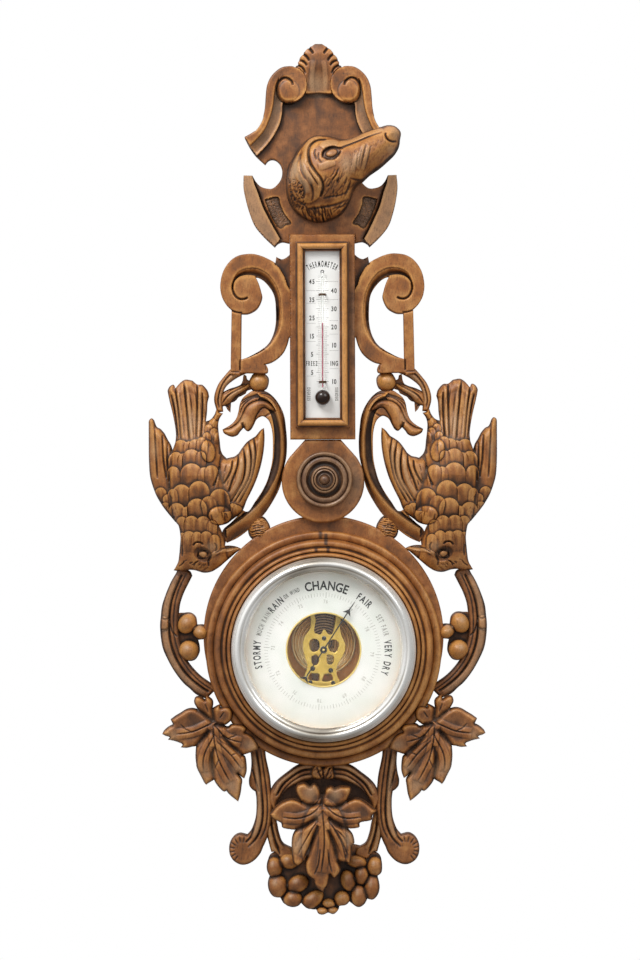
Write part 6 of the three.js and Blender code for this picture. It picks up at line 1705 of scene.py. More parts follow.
# %% Lobe behind the ring
LOBE_MARGIN, LOBE_RISE, LOBE_WIDTH = 0.8, 10.4, 20
LOBE_BACK, LOBE_FRONT = 0.7, 16
around = np.linspace(0, 2 * math.pi, 400, endpoint=False)
rim = np.stack([np.cos(around), np.sin(around)], 1)
lobe_rims = [rim * (RING_RADIUS + LOBE_MARGIN) + (0, DIAL_Z + LOBE_RISE), rim * (BORE + LOBE_WIDTH) + DIAL]
lobe = Carving(in_place, lobe_rims, LOBE_BACK, LOBE_FRONT, rounding=1, pitch=1)
in_walnut("carved_lobe", lobe)

# %% [markdown]
# The roundel is a flat board with shoulders that run up to the box. On it sits a darker turned boss: a torus,
# a flat ring, a deep cove, two beads and a button.

# %% Roundel and boss
ROUNDEL_RADIUS = (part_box("roundel")[1].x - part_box("roundel")[0].x) / 2 / MM
ROUNDEL_FRONT = depths("roundel")[1]
SHOULDER_TURN = 37
NECK = (14.3, BOX_BOTTOM - 0.3)
ROUNDEL_BACK = 0.2
sweep = np.radians(np.linspace(180 - SHOULDER_TURN, 360 + SHOULDER_TURN, 180))
round_edge = np.stack([np.cos(sweep), np.sin(sweep)], 1) * ROUNDEL_RADIUS + (0, ROUNDEL_Z)
shoulders = [even(np.array(line)) for line in (
    (round_edge[-1], NECK), (NECK, (-NECK[0], NECK[1])), ((-NECK[0], NECK[1]), round_edge[0]))]
roundel = Carving(in_place, [np.concatenate([round_edge, *[line[1:] for line in shoulders]])[:-1]],
                  ROUNDEL_BACK, ROUNDEL_FRONT, rounding=1.3, pitch=0.9)
roundel.tint((-26, ROUNDEL_Z), 16, 40, tone=0.3)
roundel.tint((24, ROUNDEL_Z), 20, 40, tone=-0.15, pale=0.35)
in_walnut("carved_roundel", roundel, "roundel")
turned("turned_boss", middle("boss"), [
    [(0, ROUNDEL_FRONT)], [(22.3, ROUNDEL_FRONT)],
    [(22.7, 24), (22.4, 26.4), (21.6, 27.9), (20.5, 28.2), (19.4, 27.4)], [(18.9, 25.4)],
    [(18.2, 26.2), (16.6, 27), (15, 26.8)], [(14, 25), (12.7, 23.9), (11.3, 24.6)],
    [(10.9, 27.2), (10.2, 28.9), (9.2, 29.1)], [(8.7, 28)], [(8.2, 29.6), (7.4, 30.1)],
    [(6.6, 28.9), (5.4, 28.2), (4.4, 28.5)], [(4, 27.6)],
    [(3.6, 30.4), (2.8, 32.4), (1.6, 33.5), (0, 33.9)],
], "frame", dark_wood, "dark_walnut", "boss")

# %% [markdown]
# The thermometer's box is a plain board with a mitred moulding planted on it. The moulding is cut as one
# carving: its height follows how far a spot lies from the outer edge, which draws the mitres by itself.

# %% Thermometer box and moulding
def sides(node):
    """Left, right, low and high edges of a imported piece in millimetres."""
    low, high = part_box(node)
    return low.x / MM, high.x / MM, low.z / MM, high.z / MM


def rectangle(left, right, low, high):
    """A rectangle's outline with points an even pitch apart."""
    corners = np.array([(left, low), (right, low), (right, high), (left, high), (left, low)], float)
    return np.concatenate([even(corners[i : i + 2])[1:] for i in range(4)])


BOX_FRONT = depths("thermometer_board")[1]
box_board = Carving(in_place, [rectangle(*sides("thermometer_board"))], 0, BOX_FRONT, rounding=0.9, pitch=0.9)
box_board.tint((-24, -180), 7, 90, tone=-0.35)
box_board.tint((24, -180), 7, 90, tone=-0.4, pale=0.15)
box_board.tint((0, -262), 26, 9, tone=0.2)
in_walnut("carved_box", box_board, "thermometer_board", stain=0.2)

MOULDING = (sides("moulding_left")[0], sides("moulding_right")[1], sides("moulding_bottom")[2],
            sides("moulding_top")[3])
WINDOW = (sides("moulding_left")[1], sides("moulding_right")[0], sides("moulding_bottom")[3],
          sides("moulding_top")[2])
MOULDING_BACK, MOULDING_FRONT = depths("moulding_top")
RAIL = (WINDOW[0] - MOULDING[0], MOULDING[1] - WINDOW[1], WINDOW[2] - MOULDING[2], MOULDING[3] - WINDOW[3])
SECTION = [
    (0, 0.46), (0.07, 0.56), (0.15, 0.58), (0.19, 0.66), (0.25, 0.84), (0.36, 0.96), (0.5, 1), (0.66, 0.95),
    (0.76, 0.8), (0.81, 0.64), (0.84, 0.58), (0.88, 0.62), (0.92, 0.6), (0.95, 0.52), (0.97, 0.42),
    (1, 0.36),
]


def rail_height(c):
    """The moulding's section, from its outer edge to the window."""
    x, z = c.spot.T
    into = np.min([(x - MOULDING[0]) / RAIL[0], (MOULDING[1] - x) / RAIL[1], (z - MOULDING[2]) / RAIL[2],
                   (MOULDING[3] - z) / RAIL[3]], axis=0)
    share, height = curve(SECTION).T
    return MOULDING_BACK + (MOULDING_FRONT - MOULDING_BACK) * np.interp(into, share, height)


moulding = Carving(in_place, [rectangle(*MOULDING), rectangle(*WINDOW)], MOULDING_BACK, rail_height,
                   rounding=0.3, pitch=0.45)
for x, z, at in ((0, 3, 0), (1, 3, 1), (0, 2, 2), (1, 2, 3)):
    moulding.cut([(MOULDING[x], MOULDING[z]), (WINDOW[x], WINDOW[z])], 0.35, 0.35, 1.1, taper=0)
for share, dark in ((0.17, 0.5), (0.84, 0.6)):
    line = [(MOULDING[x] + (WINDOW[x] - MOULDING[x]) * share, MOULDING[z] + (WINDOW[z] - MOULDING[z]) * share)
            for x, z in ((0, 2), (1, 2), (1, 3), (0, 3), (0, 2))]
    for first, last in zip(line, line[1:]):
        moulding.cut([first, last], 0.6, 0.2, dark, taper=0)
in_walnut("carved_moulding", moulding, "moulding_left", "moulding_right", "moulding_top", "moulding_bottom",
          stain=0.1)

# %% [markdown]
# Metals and glass next. A metal's colour here runs from the dirt and painted shade in its grooves to its
# rubbed and painted-bright edges, by the same tone attribute as the wood, and on some pieces the tone also
# carries painted reflections and painted shade. Bright nickel in a white room would look flat without that.
# The clear glass lets light and shadow straight through for shadow rays, as a thin pane does.

# %% Metals, cards and glass
def metal(name, dark, mid, bright, rough, metallic=0.5, clouds=0.35, detail_size=260, rings=None):
    """A metal from its dirty grooves to its rubbed edges, with painted shade and painted reflections carried by
    the tone attribute; rings are a middle and a pitch in millimetres.
    """
    made, tree, shader = new_material(name)
    place = add_node(tree, "ShaderNodeTexCoord").outputs["Object"]
    cloud = add_node(tree, "ShaderNodeTexNoise",
                     {"Vector": place, "Scale": detail_size, "Detail": 5}).outputs[0]
    scratch = add_node(tree, "ShaderNodeTexNoise", {"Vector": place, "Scale": 2600, "Detail": 2}).outputs[0]
    tone = add_node(tree, "ShaderNodeAttribute", attribute_name="tone").outputs["Fac"]
    level = add_node(tree, "ShaderNodeMapRange", {0: tone, 1: -1.2, 2: 1.2, 3: 0, 4: 1}).outputs[0]
    stir = add_node(
        tree, "ShaderNodeMath", {0: cloud, 1: clouds, 2: -clouds / 2}, operation="MULTIPLY_ADD"
    ).outputs[0]
    mixed = add_node(tree, "ShaderNodeMath", {0: level, 1: stir}, operation="ADD").outputs[0]
    if rings:
        (x, z), ring_pitch = rings
        about = add_node(tree, "ShaderNodeMapping",
                         {"Vector": place, "Location": (-x * MM, 0, -z * MM)}).outputs[0]
        wave = add_node(
            tree, "ShaderNodeTexWave", {"Vector": about, "Scale": math.tau / 20 / (ring_pitch * MM),
                                        "Distortion": 0.6}, wave_type="RINGS", rings_direction="Y"
        ).outputs["Fac"]
        lines = add_node(tree, "ShaderNodeMath", {0: wave, 1: 0.55, 2: -0.33},
                         operation="MULTIPLY_ADD").outputs[0]
        mixed = add_node(tree, "ShaderNodeMath", {0: mixed, 1: lines}, operation="ADD").outputs[0]
    ramp = add_node(tree, "ShaderNodeValToRGB", {0: mixed}, stops=[(0.1, dark), (0.5, mid), (0.85, bright)])
    tree.links.new(ramp.outputs[0], shader.inputs["Base Color"])
    gloss = add_node(tree, "ShaderNodeMapRange",
                     {0: scratch, 1: 0.3, 2: 0.7, 3: rough, 4: rough + 0.12}).outputs[0]
    tree.links.new(gloss, shader.inputs["Roughness"])
    shader.inputs["Metallic"].default_value = metallic
    bump = add_node(tree, "ShaderNodeBump",
                    {"Height": scratch, "Strength": 0.12, "Distance": 0.00005}).outputs[0]
    tree.links.new(bump, shader.inputs["Normal"])
    return made


def card(name, plain, faint, rough, sheen=0.3):
    """A printed white surface: enamelled card or opal glass, with a very faint cloud in it."""
    made, tree, shader = new_material(name)
    place = add_node(tree, "ShaderNodeTexCoord").outputs["Object"]
    cloud = add_node(tree, "ShaderNodeTexNoise", {"Vector": place, "Scale": 70, "Detail": 6}).outputs[0]
    speck = add_node(tree, "ShaderNodeTexNoise", {"Vector": place, "Scale": 2200, "Detail": 2}).outputs[0]
    ramp = add_node(tree, "ShaderNodeValToRGB", {0: cloud}, stops=[(0.3, faint), (0.6, plain)])
    tree.links.new(ramp.outputs[0], shader.inputs["Base Color"])
    gloss = add_node(tree, "ShaderNodeMapRange",
                     {0: speck, 1: 0.3, 2: 0.7, 3: rough, 4: rough + 0.08}).outputs[0]
    tree.links.new(gloss, shader.inputs["Roughness"])
    shader.inputs["Specular IOR Level"].default_value = sheen
    return made


def glass(name, tint):
    """Clear glass that casts no dark shadow on what lies behind it."""
    made, tree, shader = new_material(name)
    place = add_node(tree, "ShaderNodeTexCoord").outputs["Object"]
    wave = add_node(tree, "ShaderNodeTexNoise", {"Vector": place, "Scale": 35, "Detail": 1}).outputs[0]
    ramp = add_node(tree, "ShaderNodeValToRGB", {0: wave}, stops=[(0.3, tint), (0.7, "#FFFFFF")])
    tree.links.new(ramp.outputs[0], shader.inputs["Base Color"])
    shader.inputs["Roughness"].default_value = 0.02
    shader.inputs["IOR"].default_value = 1.46
    shader.inputs["Transmission Weight"].default_value = 1.0
    output = next(node for node in tree.nodes if node.type == "OUTPUT_MATERIAL")
    rays = add_node(tree, "ShaderNodeLightPath").outputs["Is Shadow Ray"]
    through = add_node(tree, "ShaderNodeBsdfTransparent").outputs[0]
    mixed = add_node(tree, "ShaderNodeMixShader", {0: rays, 1: shader.outputs[0], 2: through}).outputs[0]
    tree.links.new(mixed, output.inputs["Surface"])
    return made


# Polished nickel mirrors the white room, and soft bands of painted reflection lie in its colour as well.
# Brass is a dull yellow where it was left alone, and pinker and brighter where its lacquer has lasted inside
# the drum. Steel is nearly black where it was blued and brown where it has tarnished, and the arched spring
# shows the rings that it was ground with. The capsule's alloy has gone golden. The enamelled card is a cold
# white and the opal glass a whiter one.
nickel = metal("polished_nickel", "#6E6153", "#CCC5B8", "#FFFEFA", 0.16, clouds=0.1)
brass = metal("old_brass", "#6A4A16", "#CBA848", "#EDD58A", 0.34, metallic=0.35)
lacquer = metal("lacquered_brass", "#9A5A20", "#F6B466", "#FFE0A8", 0.4, metallic=0.4)
blued = metal("blued_steel", "#100F0F", "#2C2927", "#787674", 0.28, metallic=0.3, clouds=0.2)
spring_steel = metal("tarnished_steel", "#1C110B", "#5A402A", "#9C7E58", 0.36, clouds=0.5)
alloy = metal("tarnished_alloy", "#4A2A10", "#E2A44C", "#FFECB8", 0.3, metallic=0.4, clouds=0.35)
arched_steel = metal("ringed_steel", "#0E0805", "#5C4028", "#A8845C", 0.4, clouds=0.4,
                     rings=(middle("capsule"), 2.1))
dial_card = card("enamelled_card", "#E0DFDA", "#DADAD4", 0.42)
opal = card("opal_glass", "#F9F9F6", "#F3F3EF", 0.2, 0.4)
clear_glass = glass("clear_glass", "#F8FBF9")
# Printer's ink has worn to a dark grey. The spirit has faded to a dull crimson, and the bulb looks black.
ink = metal("printers_ink", "#151412", "#5B5852", "#B9B6AE", 0.6, metallic=0.0, clouds=0.15)
red_spirit = metal("red_spirit", "#5E1428", "#8E3349", "#B86A78", 0.2, metallic=0.0)
bulb_glass = metal("silvered_bulb", "#0B0706", "#1D120D", "#3E2A20", 0.05, metallic=0.0, clouds=0.2)
print("Finishes so far:", len(bpy.data.materials))

# %% [markdown]
# Numbers and words are printed. Text objects become flat meshes, and each letter is then set in its place, on
# a line or round an arc. Ticks and screws are one mesh each, set at many places by geometry nodes.

# %% Printing and repeats
# CAPITAL is the height of a capital letter in the type's own units. GAP is the space between two letters, as
# a share of their height.
CAPITAL = 0.73
GAP = 0.29
letters_made = {}


def letter(character):
    """The flat mesh of one letter, one unit high: points, triangles and width."""
    if character not in letters_made:
        text = bpy.data.curves.new("letter", "FONT")
        text.body = character
        text.offset = 0.028
        text.resolution_u = 4
        holder = bpy.data.objects.new("letter", text)
        bpy.context.scene.collection.objects.link(holder)
        flat = bpy.data.meshes.new_from_object(holder.evaluated_get(bpy.context.evaluated_depsgraph_get()))
        flat.calc_loop_triangles()
        points = np.array([vertex.co[:2] for vertex in flat.vertices]).reshape(-1, 2)
        triangles = np.array([triangle.vertices[:] for triangle in flat.loop_triangles], int).reshape(-1, 3)
        bpy.data.objects.remove(holder)
        low = points[:, 0].min() if len(points) else 0
        width = points[:, 0].max() - low if len(points) else 0.3
        letters_made[character] = points - (low, 0), triangles, width
    return letters_made[character]


def set_words(lines, depth):
    """Sets lines of type in millimetres. A line is text, height, squeeze, tone, and a rule that places it."""
    points, triangles, tone, count = [], [], [], 0
    for text, height, squeeze, dark, rule in lines:
        widths = [letter(character)[2] * height * squeeze for character in text]
        gap = GAP * height
        run = -(sum(widths) + gap * (len(text) - 1)) / 2
        for character, width in zip(text, widths):
            shape, faces, _ = letter(character)
            if len(faces):
                spot = shape * (height * squeeze, height) / CAPITAL - (width / CAPITAL / 2, height / 2)
                spot = rule(spot, run + width / 2)
                points.append(np.stack([spot[:, 0], np.full(len(spot), -depth), spot[:, 1]], 1))
                a, b, c = (spot[faces[:, k]] for k in range(3))
                left_turn = (b - a)[:, 0] * (c - a)[:, 1] > (b - a)[:, 1] * (c - a)[:, 0]
                triangles.append(np.where(left_turn[:, None], faces, faces[:, ::-1]) + count)
                tone.append(np.full(len(spot), dark))
                count += len(spot)
            run += width + gap
    return np.concatenate(points) * MM, np.concatenate(triangles), np.concatenate(tone)


def straight(x, z, turn=0):
    """Sets type on a straight line through x, z."""
    angle = math.radians(turn)
    along = np.array([math.cos(angle), math.sin(angle)])
    up = np.array([-math.sin(angle), math.cos(angle)])
    return lambda spot, run: (x, z) + (spot[:, :1] + run) * along + spot[:, 1:] * up


def round_arc(centre, radius, turn):
    """Sets type round an arc, turned clockwise from the top."""

    def rule(spot, run):
        angle = math.radians(turn) + run / radius
        along = np.array([math.cos(angle), -math.sin(angle)])
        up = np.array([math.sin(angle), math.cos(angle)])
        return centre + spot[:, :1] * along + (spot[:, 1:] + radius) * up

    return rule


def repeated(name, unit, places, turns, scales, body, material, slot, *nodes):
    """One mesh at many places (x, depth, z in mm), turned clockwise and scaled, by geometry nodes."""
    points = np.asarray(places, float) * (1, -1, 1) * MM
    carrier = mesh_from(name, points, np.zeros((0, 3), int), turn=np.radians(turns))
    carrier.data.attributes.new("scale", "FLOAT_VECTOR", "POINT").data.foreach_set("vector", np.ravel(scales))
    tree = bpy.data.node_groups.new(name, "GeometryNodeTree")
    tree.interface.new_socket("Geometry", in_out="INPUT", socket_type="NodeSocketGeometry")
    unit_socket = tree.interface.new_socket("Unit", in_out="INPUT", socket_type="NodeSocketObject")
    tree.interface.new_socket("Geometry", in_out="OUTPUT", socket_type="NodeSocketGeometry")
    start = add_node(tree, "NodeGroupInput").outputs
    thing = add_node(tree, "GeometryNodeObjectInfo", {"Object": start["Unit"]}).outputs["Geometry"]
    turn = add_node(tree, "GeometryNodeInputNamedAttribute", {"Name": "turn"}, data_type="FLOAT").outputs[0]
    scale = add_node(tree, "GeometryNodeInputNamedAttribute", {"Name": "scale"},
                     data_type="FLOAT_VECTOR").outputs[0]
    spin = add_node(tree, "ShaderNodeCombineXYZ", {"Y": turn}).outputs[0]
    placed = add_node(tree, "GeometryNodeInstanceOnPoints", {
        "Points": start["Geometry"], "Instance": thing, "Rotation": spin, "Scale": scale}).outputs[0]
    solid = add_node(tree, "GeometryNodeRealizeInstances", {"Geometry": placed}).outputs[0]
    finished = add_node(tree, "GeometryNodeSetMaterial", {"Geometry": solid, "Material": material}).outputs[0]
    add_node(tree, "NodeGroupOutput", {0: finished})
    maker = carrier.modifiers.new("repeat", "NODES")
    maker.node_group = tree
    maker[unit_socket.identifier] = unit
    result = bpy.data.meshes.new_from_object(carrier.evaluated_get(bpy.context.evaluated_depsgraph_get()))
    carrier.modifiers.clear()
    carrier.data = result
    dress(carrier, body, material, slot, *nodes)
    bpy.data.objects.remove(unit)
    print(name, len(result.polygons), "faces")
    return carrier


def bar(name, wide, thick, tall):
    """A small box that stands on its lower edge, in millimetres, for ticks."""
    x, y, z = np.meshgrid((-wide / 2, wide / 2), (-thick, 0), (0, tall), indexing="ij")
    points = np.stack([x.ravel(), y.ravel(), z.ravel()], 1)
    triangles = [(0, 4, 5), (0, 5, 1), (2, 3, 7), (2, 7, 6), (0, 1, 3), (0, 3, 2), (4, 6, 7), (4, 7, 5),
                 (0, 2, 6), (0, 6, 4), (1, 5, 7), (1, 7, 3)]
    return mesh_from(name, points * MM, np.array(triangles), 30, tone=np.zeros(8))


print("A capital is", CAPITAL, "of its type's size high")


# %% [markdown]
# The thermometer: an opal plate with its printed scale, a glass tube held by two wire clips, red spirit, and
# a dark silvered bulb. One degree is 1.45 mm. The tens stand on the right and the fives on the left.

# %% Thermometer
PLATE_FRONT = depths("thermometer_plate")[1]
opal_plate = Carving(in_place, [rectangle(*sides("thermometer_plate"))], depths("thermometer_plate")[0],
                     PLATE_FRONT, rounding=0.15, pitch=1.5)
carved("opal_plate", opal_plate, "frame", opal, "opal_glass", "thermometer_plate")
ZERO_Z = BOX_TOP - 103
# Millimetres to a degree, and the thickness of the printing.
DEGREE = 1.45
PRINT = 0.05
LEFT_NUMBERS, RIGHT_NUMBERS = -8.4, 9.2
scale_words = [("THERMOMETER", 4.8, 0.35, -0.9, round_arc((0, BOX_TOP - 46.5), 23, 0))]
for degrees in range(-10, 50, 5):
    left = degrees % 10 != 0
    if degrees:
        place = straight(LEFT_NUMBERS if left else RIGHT_NUMBERS, ZERO_Z + degrees * DEGREE)
        scale_words.append((str(abs(degrees)), 3.8, 0.75, -0.7, place))
scale_words += [("FREEZ", 3.8, 0.42, -0.6, straight(-8.6, ZERO_Z)),
                ("ING", 3.8, 0.6, -0.6, straight(RIGHT_NUMBERS, ZERO_Z))]
scale_words += [("DEGREES", 2.5, 0.62, 0.2,
                 straight(side * 11, BOX_BOTTOM + 36, side * 90)) for side in (-1, 1)]
points, triangles, tone = set_words(scale_words, PLATE_FRONT + PRINT)
dress(mesh_from("scale_words", points, triangles, tone=tone), "frame", ink, "opal_glass")
marks = []
for degrees in range(-13, 49):
    long = degrees % 5 == 0
    for side in (-1, 1):
        marks.append(((side * 1.7, PLATE_FRONT, ZERO_Z + degrees * DEGREE), side * 90,
                      (1.3 if long else 0.8, 1, 3.2 if long else 1.9)))
LONG_MARKS = ((40, -1), (45, 1), (33, -1), (35, 1), (22, -1), (23.5, 1), (12, -1), (16, 1), (7, 1),
              (-7, -1), (-3, 1))
for degrees, side in LONG_MARKS:
    marks.append(((side * 5.5, PLATE_FRONT, ZERO_Z + degrees * DEGREE), side * 90, (0.7, 1, 7.2)))
repeated("scale_ticks", bar("tick", 0.2, PRINT, 1), *zip(*marks), "frame", ink, "opal_glass")

bulb_low, bulb_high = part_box("thermometer_bulb")
TUBE = (0, -(bulb_low.y + bulb_high.y) / 2 / MM)
BULB_Z = middle("thermometer_bulb")[1]
BULB_RADIUS = (bulb_high.x - bulb_low.x) / 2 / MM
TUBE_RADIUS = (sides("thermometer_tube")[1] - sides("thermometer_tube")[0]) / 2
tube_low, tube_high = sides("thermometer_tube")[2:]
TUBE_BORE = 0.8
turned("glass_tube", TUBE, [
    [(TUBE_BORE, tube_low)], [(TUBE_RADIUS, tube_low)], [(TUBE_RADIUS, tube_high - 1.6)],
    [(TUBE_RADIUS * 0.9, tube_high - 0.8), (TUBE_RADIUS * 0.6, tube_high - 0.2), (0, tube_high)],
    [(0, tube_high - 3)], [(TUBE_BORE, tube_high - 4)], [(TUBE_BORE, tube_low)],
], "frame", clear_glass, "clear_glass", "thermometer_tube", steps=40, upright=True)
spirit_low, spirit_high = sides("spirit_column")[2:]
SPIRIT_RADIUS = 0.5
turned("red_column", TUBE, [[(0, spirit_low)], [(SPIRIT_RADIUS, spirit_low)],
                            [(SPIRIT_RADIUS, spirit_high - 0.3)],
                            [(0.3, spirit_high), (0, spirit_high)]], "frame", red_spirit, "red_spirit",
       "spirit_column", steps=24, upright=True)
ball_run = [(BULB_RADIUS * math.cos(angle), BULB_Z + BULB_RADIUS * math.sin(angle))
            for angle in np.radians(np.linspace(-90, 90, 25))]
ball_run[0], ball_run[-1] = (0, ball_run[0][1]), (0, ball_run[-1][1])
turned("glass_bulb", TUBE, [[ball_run[0]], ball_run[1:]], "frame", bulb_glass, "bulb_glass",
       "thermometer_bulb", steps=72, upright=True)


def wire(name, lines, radius, body, material, slot, *nodes, closed=False):
    """Round wire along lines of (x, depth, z) in millimetres."""
    data = bpy.data.curves.new(name, "CURVE")
    data.dimensions = "3D"
    data.bevel_depth = radius * MM
    data.bevel_resolution = 3
    data.use_fill_caps = not closed
    for line in lines:
        line = np.asarray(line, float) * (1, -1, 1) * MM
        spline = data.splines.new("POLY")
        spline.points.add(len(line) - 1)
        spline.points.foreach_set("co", np.column_stack([line, np.ones(len(line))]).ravel())
        spline.use_cyclic_u = closed
    holder = bpy.data.objects.new(name, data)
    bpy.context.scene.collection.objects.link(holder)
    mesh = bpy.data.meshes.new_from_object(holder.evaluated_get(bpy.context.evaluated_depsgraph_get()))
    bpy.data.objects.remove(holder)
    mesh.attributes.new("tone", "FLOAT", "POINT")
    made = bpy.data.objects.new(name, mesh)
    bpy.context.scene.collection.objects.link(made)
    print(name, len(mesh.polygons), "faces")
    return dress(made, body, material, slot, *nodes)


CLIP_BOW, CLIP_FOOT, CLIP_WIRE, CLIP_STEP = 2.15, 2.9, 0.33, 0.55
EYE_BOW, EYE_WIRE = 1.1, 0.35
half = np.radians(np.linspace(180, 0, 15))
for node in ("tube_clip_top", "tube_clip_bottom"):
    staples = []
    for rise in (-CLIP_STEP, 0, CLIP_STEP):
        z = middle(node)[1] + rise
        bow = [(math.cos(a) * CLIP_BOW, TUBE[1] + math.sin(a) * CLIP_BOW, z) for a in half]
        staples.append([(-CLIP_FOOT, PLATE_FRONT + 0.3, z), (-CLIP_BOW, PLATE_FRONT + 0.5, z), *bow,
                        (CLIP_BOW, PLATE_FRONT + 0.5, z), (CLIP_FOOT, PLATE_FRONT + 0.3, z)])
    wire("wire_" + node, staples, CLIP_WIRE, "frame", spring_steel, "brass", node)
turns = np.radians(np.linspace(0, 360, 21)[:-1])
loop = [(EYE_BOW * math.cos(a), TUBE[1], tube_high + 0.6 + EYE_BOW * math.sin(a)) for a in turns]
wire("tube_eye", [loop], EYE_WIRE, "frame", blued, "clear_glass", closed=True)

# %% [markdown]
# The aneroid: nickel bezel, glass, enamelled dial printed with its scale and the weather words, and a gilt
# trim round the open centre. The printing is turned four degrees and lies a little low, as on the real one.

# %% Bezel, glass and dial
def sky_in_nickel(radius, around):
    """Polished nickel's colour carries a painted reflection of the room: bright at the sides, darker above and
    below, with streaks, and darker towards its inner edge.
    """
    upright = np.sin(around)
    streak = 0.22 * np.sin(around * 5 + 1) + 0.16 * np.sin(around * 11 + 2 + radius * 0.4)
    return 0.85 - 1.1 * upright**4 + streak - 0.25 * (radius < 66.4) - 0.5 * (radius < 62.8)


turned("turned_bezel", DIAL, [
    [(65, 38.5)], [(73.4, 38.5)],
    [(73.4, 41), (73.2, 42.8), (72.6, 44.8)], [(72.2, 44.8)], [(71.9, 46), (71.2, 47.1)], [(70.8, 47.1)],
    [(70.4, 48), (69.6, 48.8), (68.4, 49.5), (67.3, 49.3)],
    [(66.6, 48.7)], [(66.2, 48.5), (65.6, 48.6)], [(64.8, 48.4), (63.6, 47.6)], [(62.6, 46.4), (62, 45.4)],
    [(62, 44.7)], [(65, 44.7)], [(65, 38.5)],
], "frame", nickel, "nickel", "bezel", steps=300, mark=sky_in_nickel)
turned("glass_pane", DIAL, [[(0, 42.6)], [(64.6, 42.6)], [(64.6, 44.6)], [(0, 44.6)]],
       "frame", clear_glass, "clear_glass", "bezel_glass")
turned("brass_retainer", DIAL, [[(62.6, 40.7)], [(64.6, 40.7)], [(64.6, 42.3)], [(62.6, 42.3)],
                                [(62.6, 40.7)]], "frame", brass, "brass", "glass_retainer")
DIAL_BACK, DIAL_FRONT = depths("dial")
EYE_RADIUS, CARD_RADIUS = 29.6, 62.6
turned("dial_card", DIAL, [
    [(EYE_RADIUS, DIAL_BACK)], [(CARD_RADIUS, DIAL_BACK)], [(CARD_RADIUS, DIAL_FRONT)],
    [(EYE_RADIUS, DIAL_FRONT)], [(EYE_RADIUS, DIAL_BACK)],
], "frame", dial_card, "dial_card", "dial", steps=240)
turned("gilt_trim", DIAL, [[(28.7, 35.3)], [(29.2, 35.3)], [(29.2, 36.5)], [(30.1, 36.5)],
                           [(30, 36.8), (29.6, 37), (29.1, 36.9), (28.8, 36.5)], [(28.7, 35.3)]],
       "frame", brass, "brass", "dial_trim_ring", steps=160, mark=lambda radius, around: -0.35)
PRINT_CENTRE = (-0.9, DIAL_Z - 1.1)
PRINT_TURN = 3.9
WORD_RADIUS, NUMBER_RADIUS = 52.5, 39.6
weather = [("CHANGE", 7.2, 0.84, 4, -0.9), ("STORMY", 6.0, 0.56, -93, -0.9),
           ("MUCH RAIN", 4.2, 0.46, -65, 0.3),
           ("RAIN", 5.8, 0.6, -45, -0.9), ("OR WIND", 3.4, 0.5, -28, -0.1), ("FAIR", 5.8, 0.66, 40, -0.9),
           ("SET FAIR", 4.4, 0.5, 67, 0.45), ("VERY DRY", 5.8, 0.56, 96, -0.8)]
dial_words = [(text, height, squeeze, dark, round_arc(PRINT_CENTRE, WORD_RADIUS, turn))
              for text, height, squeeze, turn, dark in weather]
NUMBERS = [76, 77, 78, 79, 68, 69, 70, 71, 72, 73, 74, 75]
dial_words += [(str(number), 3.0, 0.7, 0.75, round_arc(PRINT_CENTRE, NUMBER_RADIUS, PRINT_TURN + 30 * i))
               for i, number in enumerate(NUMBERS)]
points, triangles, tone = set_words(dial_words, DIAL_FRONT + PRINT)
dress(mesh_from("dial_words", points, triangles, tone=tone), "frame", ink, "dial_card")
marks = []
for tick in range(120):
    turn = PRINT_TURN + tick * 3
    inner, outer = (42.2, 46.8) if tick % 10 == 0 else (42.8, 46.4) if tick % 5 == 0 else (43.4, 46.2)
    start = (PRINT_CENTRE[0] + inner * math.sin(math.radians(turn)), DIAL_FRONT,
             PRINT_CENTRE[1] + inner * math.cos(math.radians(turn)))
    marks.append((start, turn, (1.5 if tick % 5 == 0 else 1, 1, outer - inner)))
pale_ink = metal("pale_ink", "#66635D", "#9A978F", "#CBC8C0", 0.6, metallic=0.0, clouds=0.5, detail_size=500)
repeated("dial_ticks", bar("tick", 0.26, PRINT, 1), *zip(*marks), "frame", pale_ink, "dial_card")

# %% [markdown]
# The hand is blued steel: an arrow at one end, a crescent at the other, pinned to its arbor in the middle.

# %% Hand
HAND_TURN = math.radians(33)
HAND_REACH = 47.3
HAND_THICKNESS = 0.75
HAND_SIDE = [
    [(0.0105, 0.965), (0.012, 0.8)], [(0.03, 0.765), (0.05, 0.735), (0.079, 0.708)],
    [(0.045, 0.722), (0.011, 0.735)], [(0.0105, -0.535)], [(0.04, -0.545), (0.078, -0.575), (0.1, -0.625)],
    [(0.06, -0.6), (0.025, -0.585), (0, -0.583)],
]
HAND_BACK = depths("hand")[0]


def along_hand(points):
    """Turns shares of the hand's reach (side, along) into its place on the dial."""
    side, along = (np.asarray(points, float) * HAND_REACH).T
    return np.stack([along * math.sin(HAND_TURN) + side * math.cos(HAND_TURN),
                     DIAL_Z + along * math.cos(HAND_TURN) - side * math.sin(HAND_TURN)], -1)


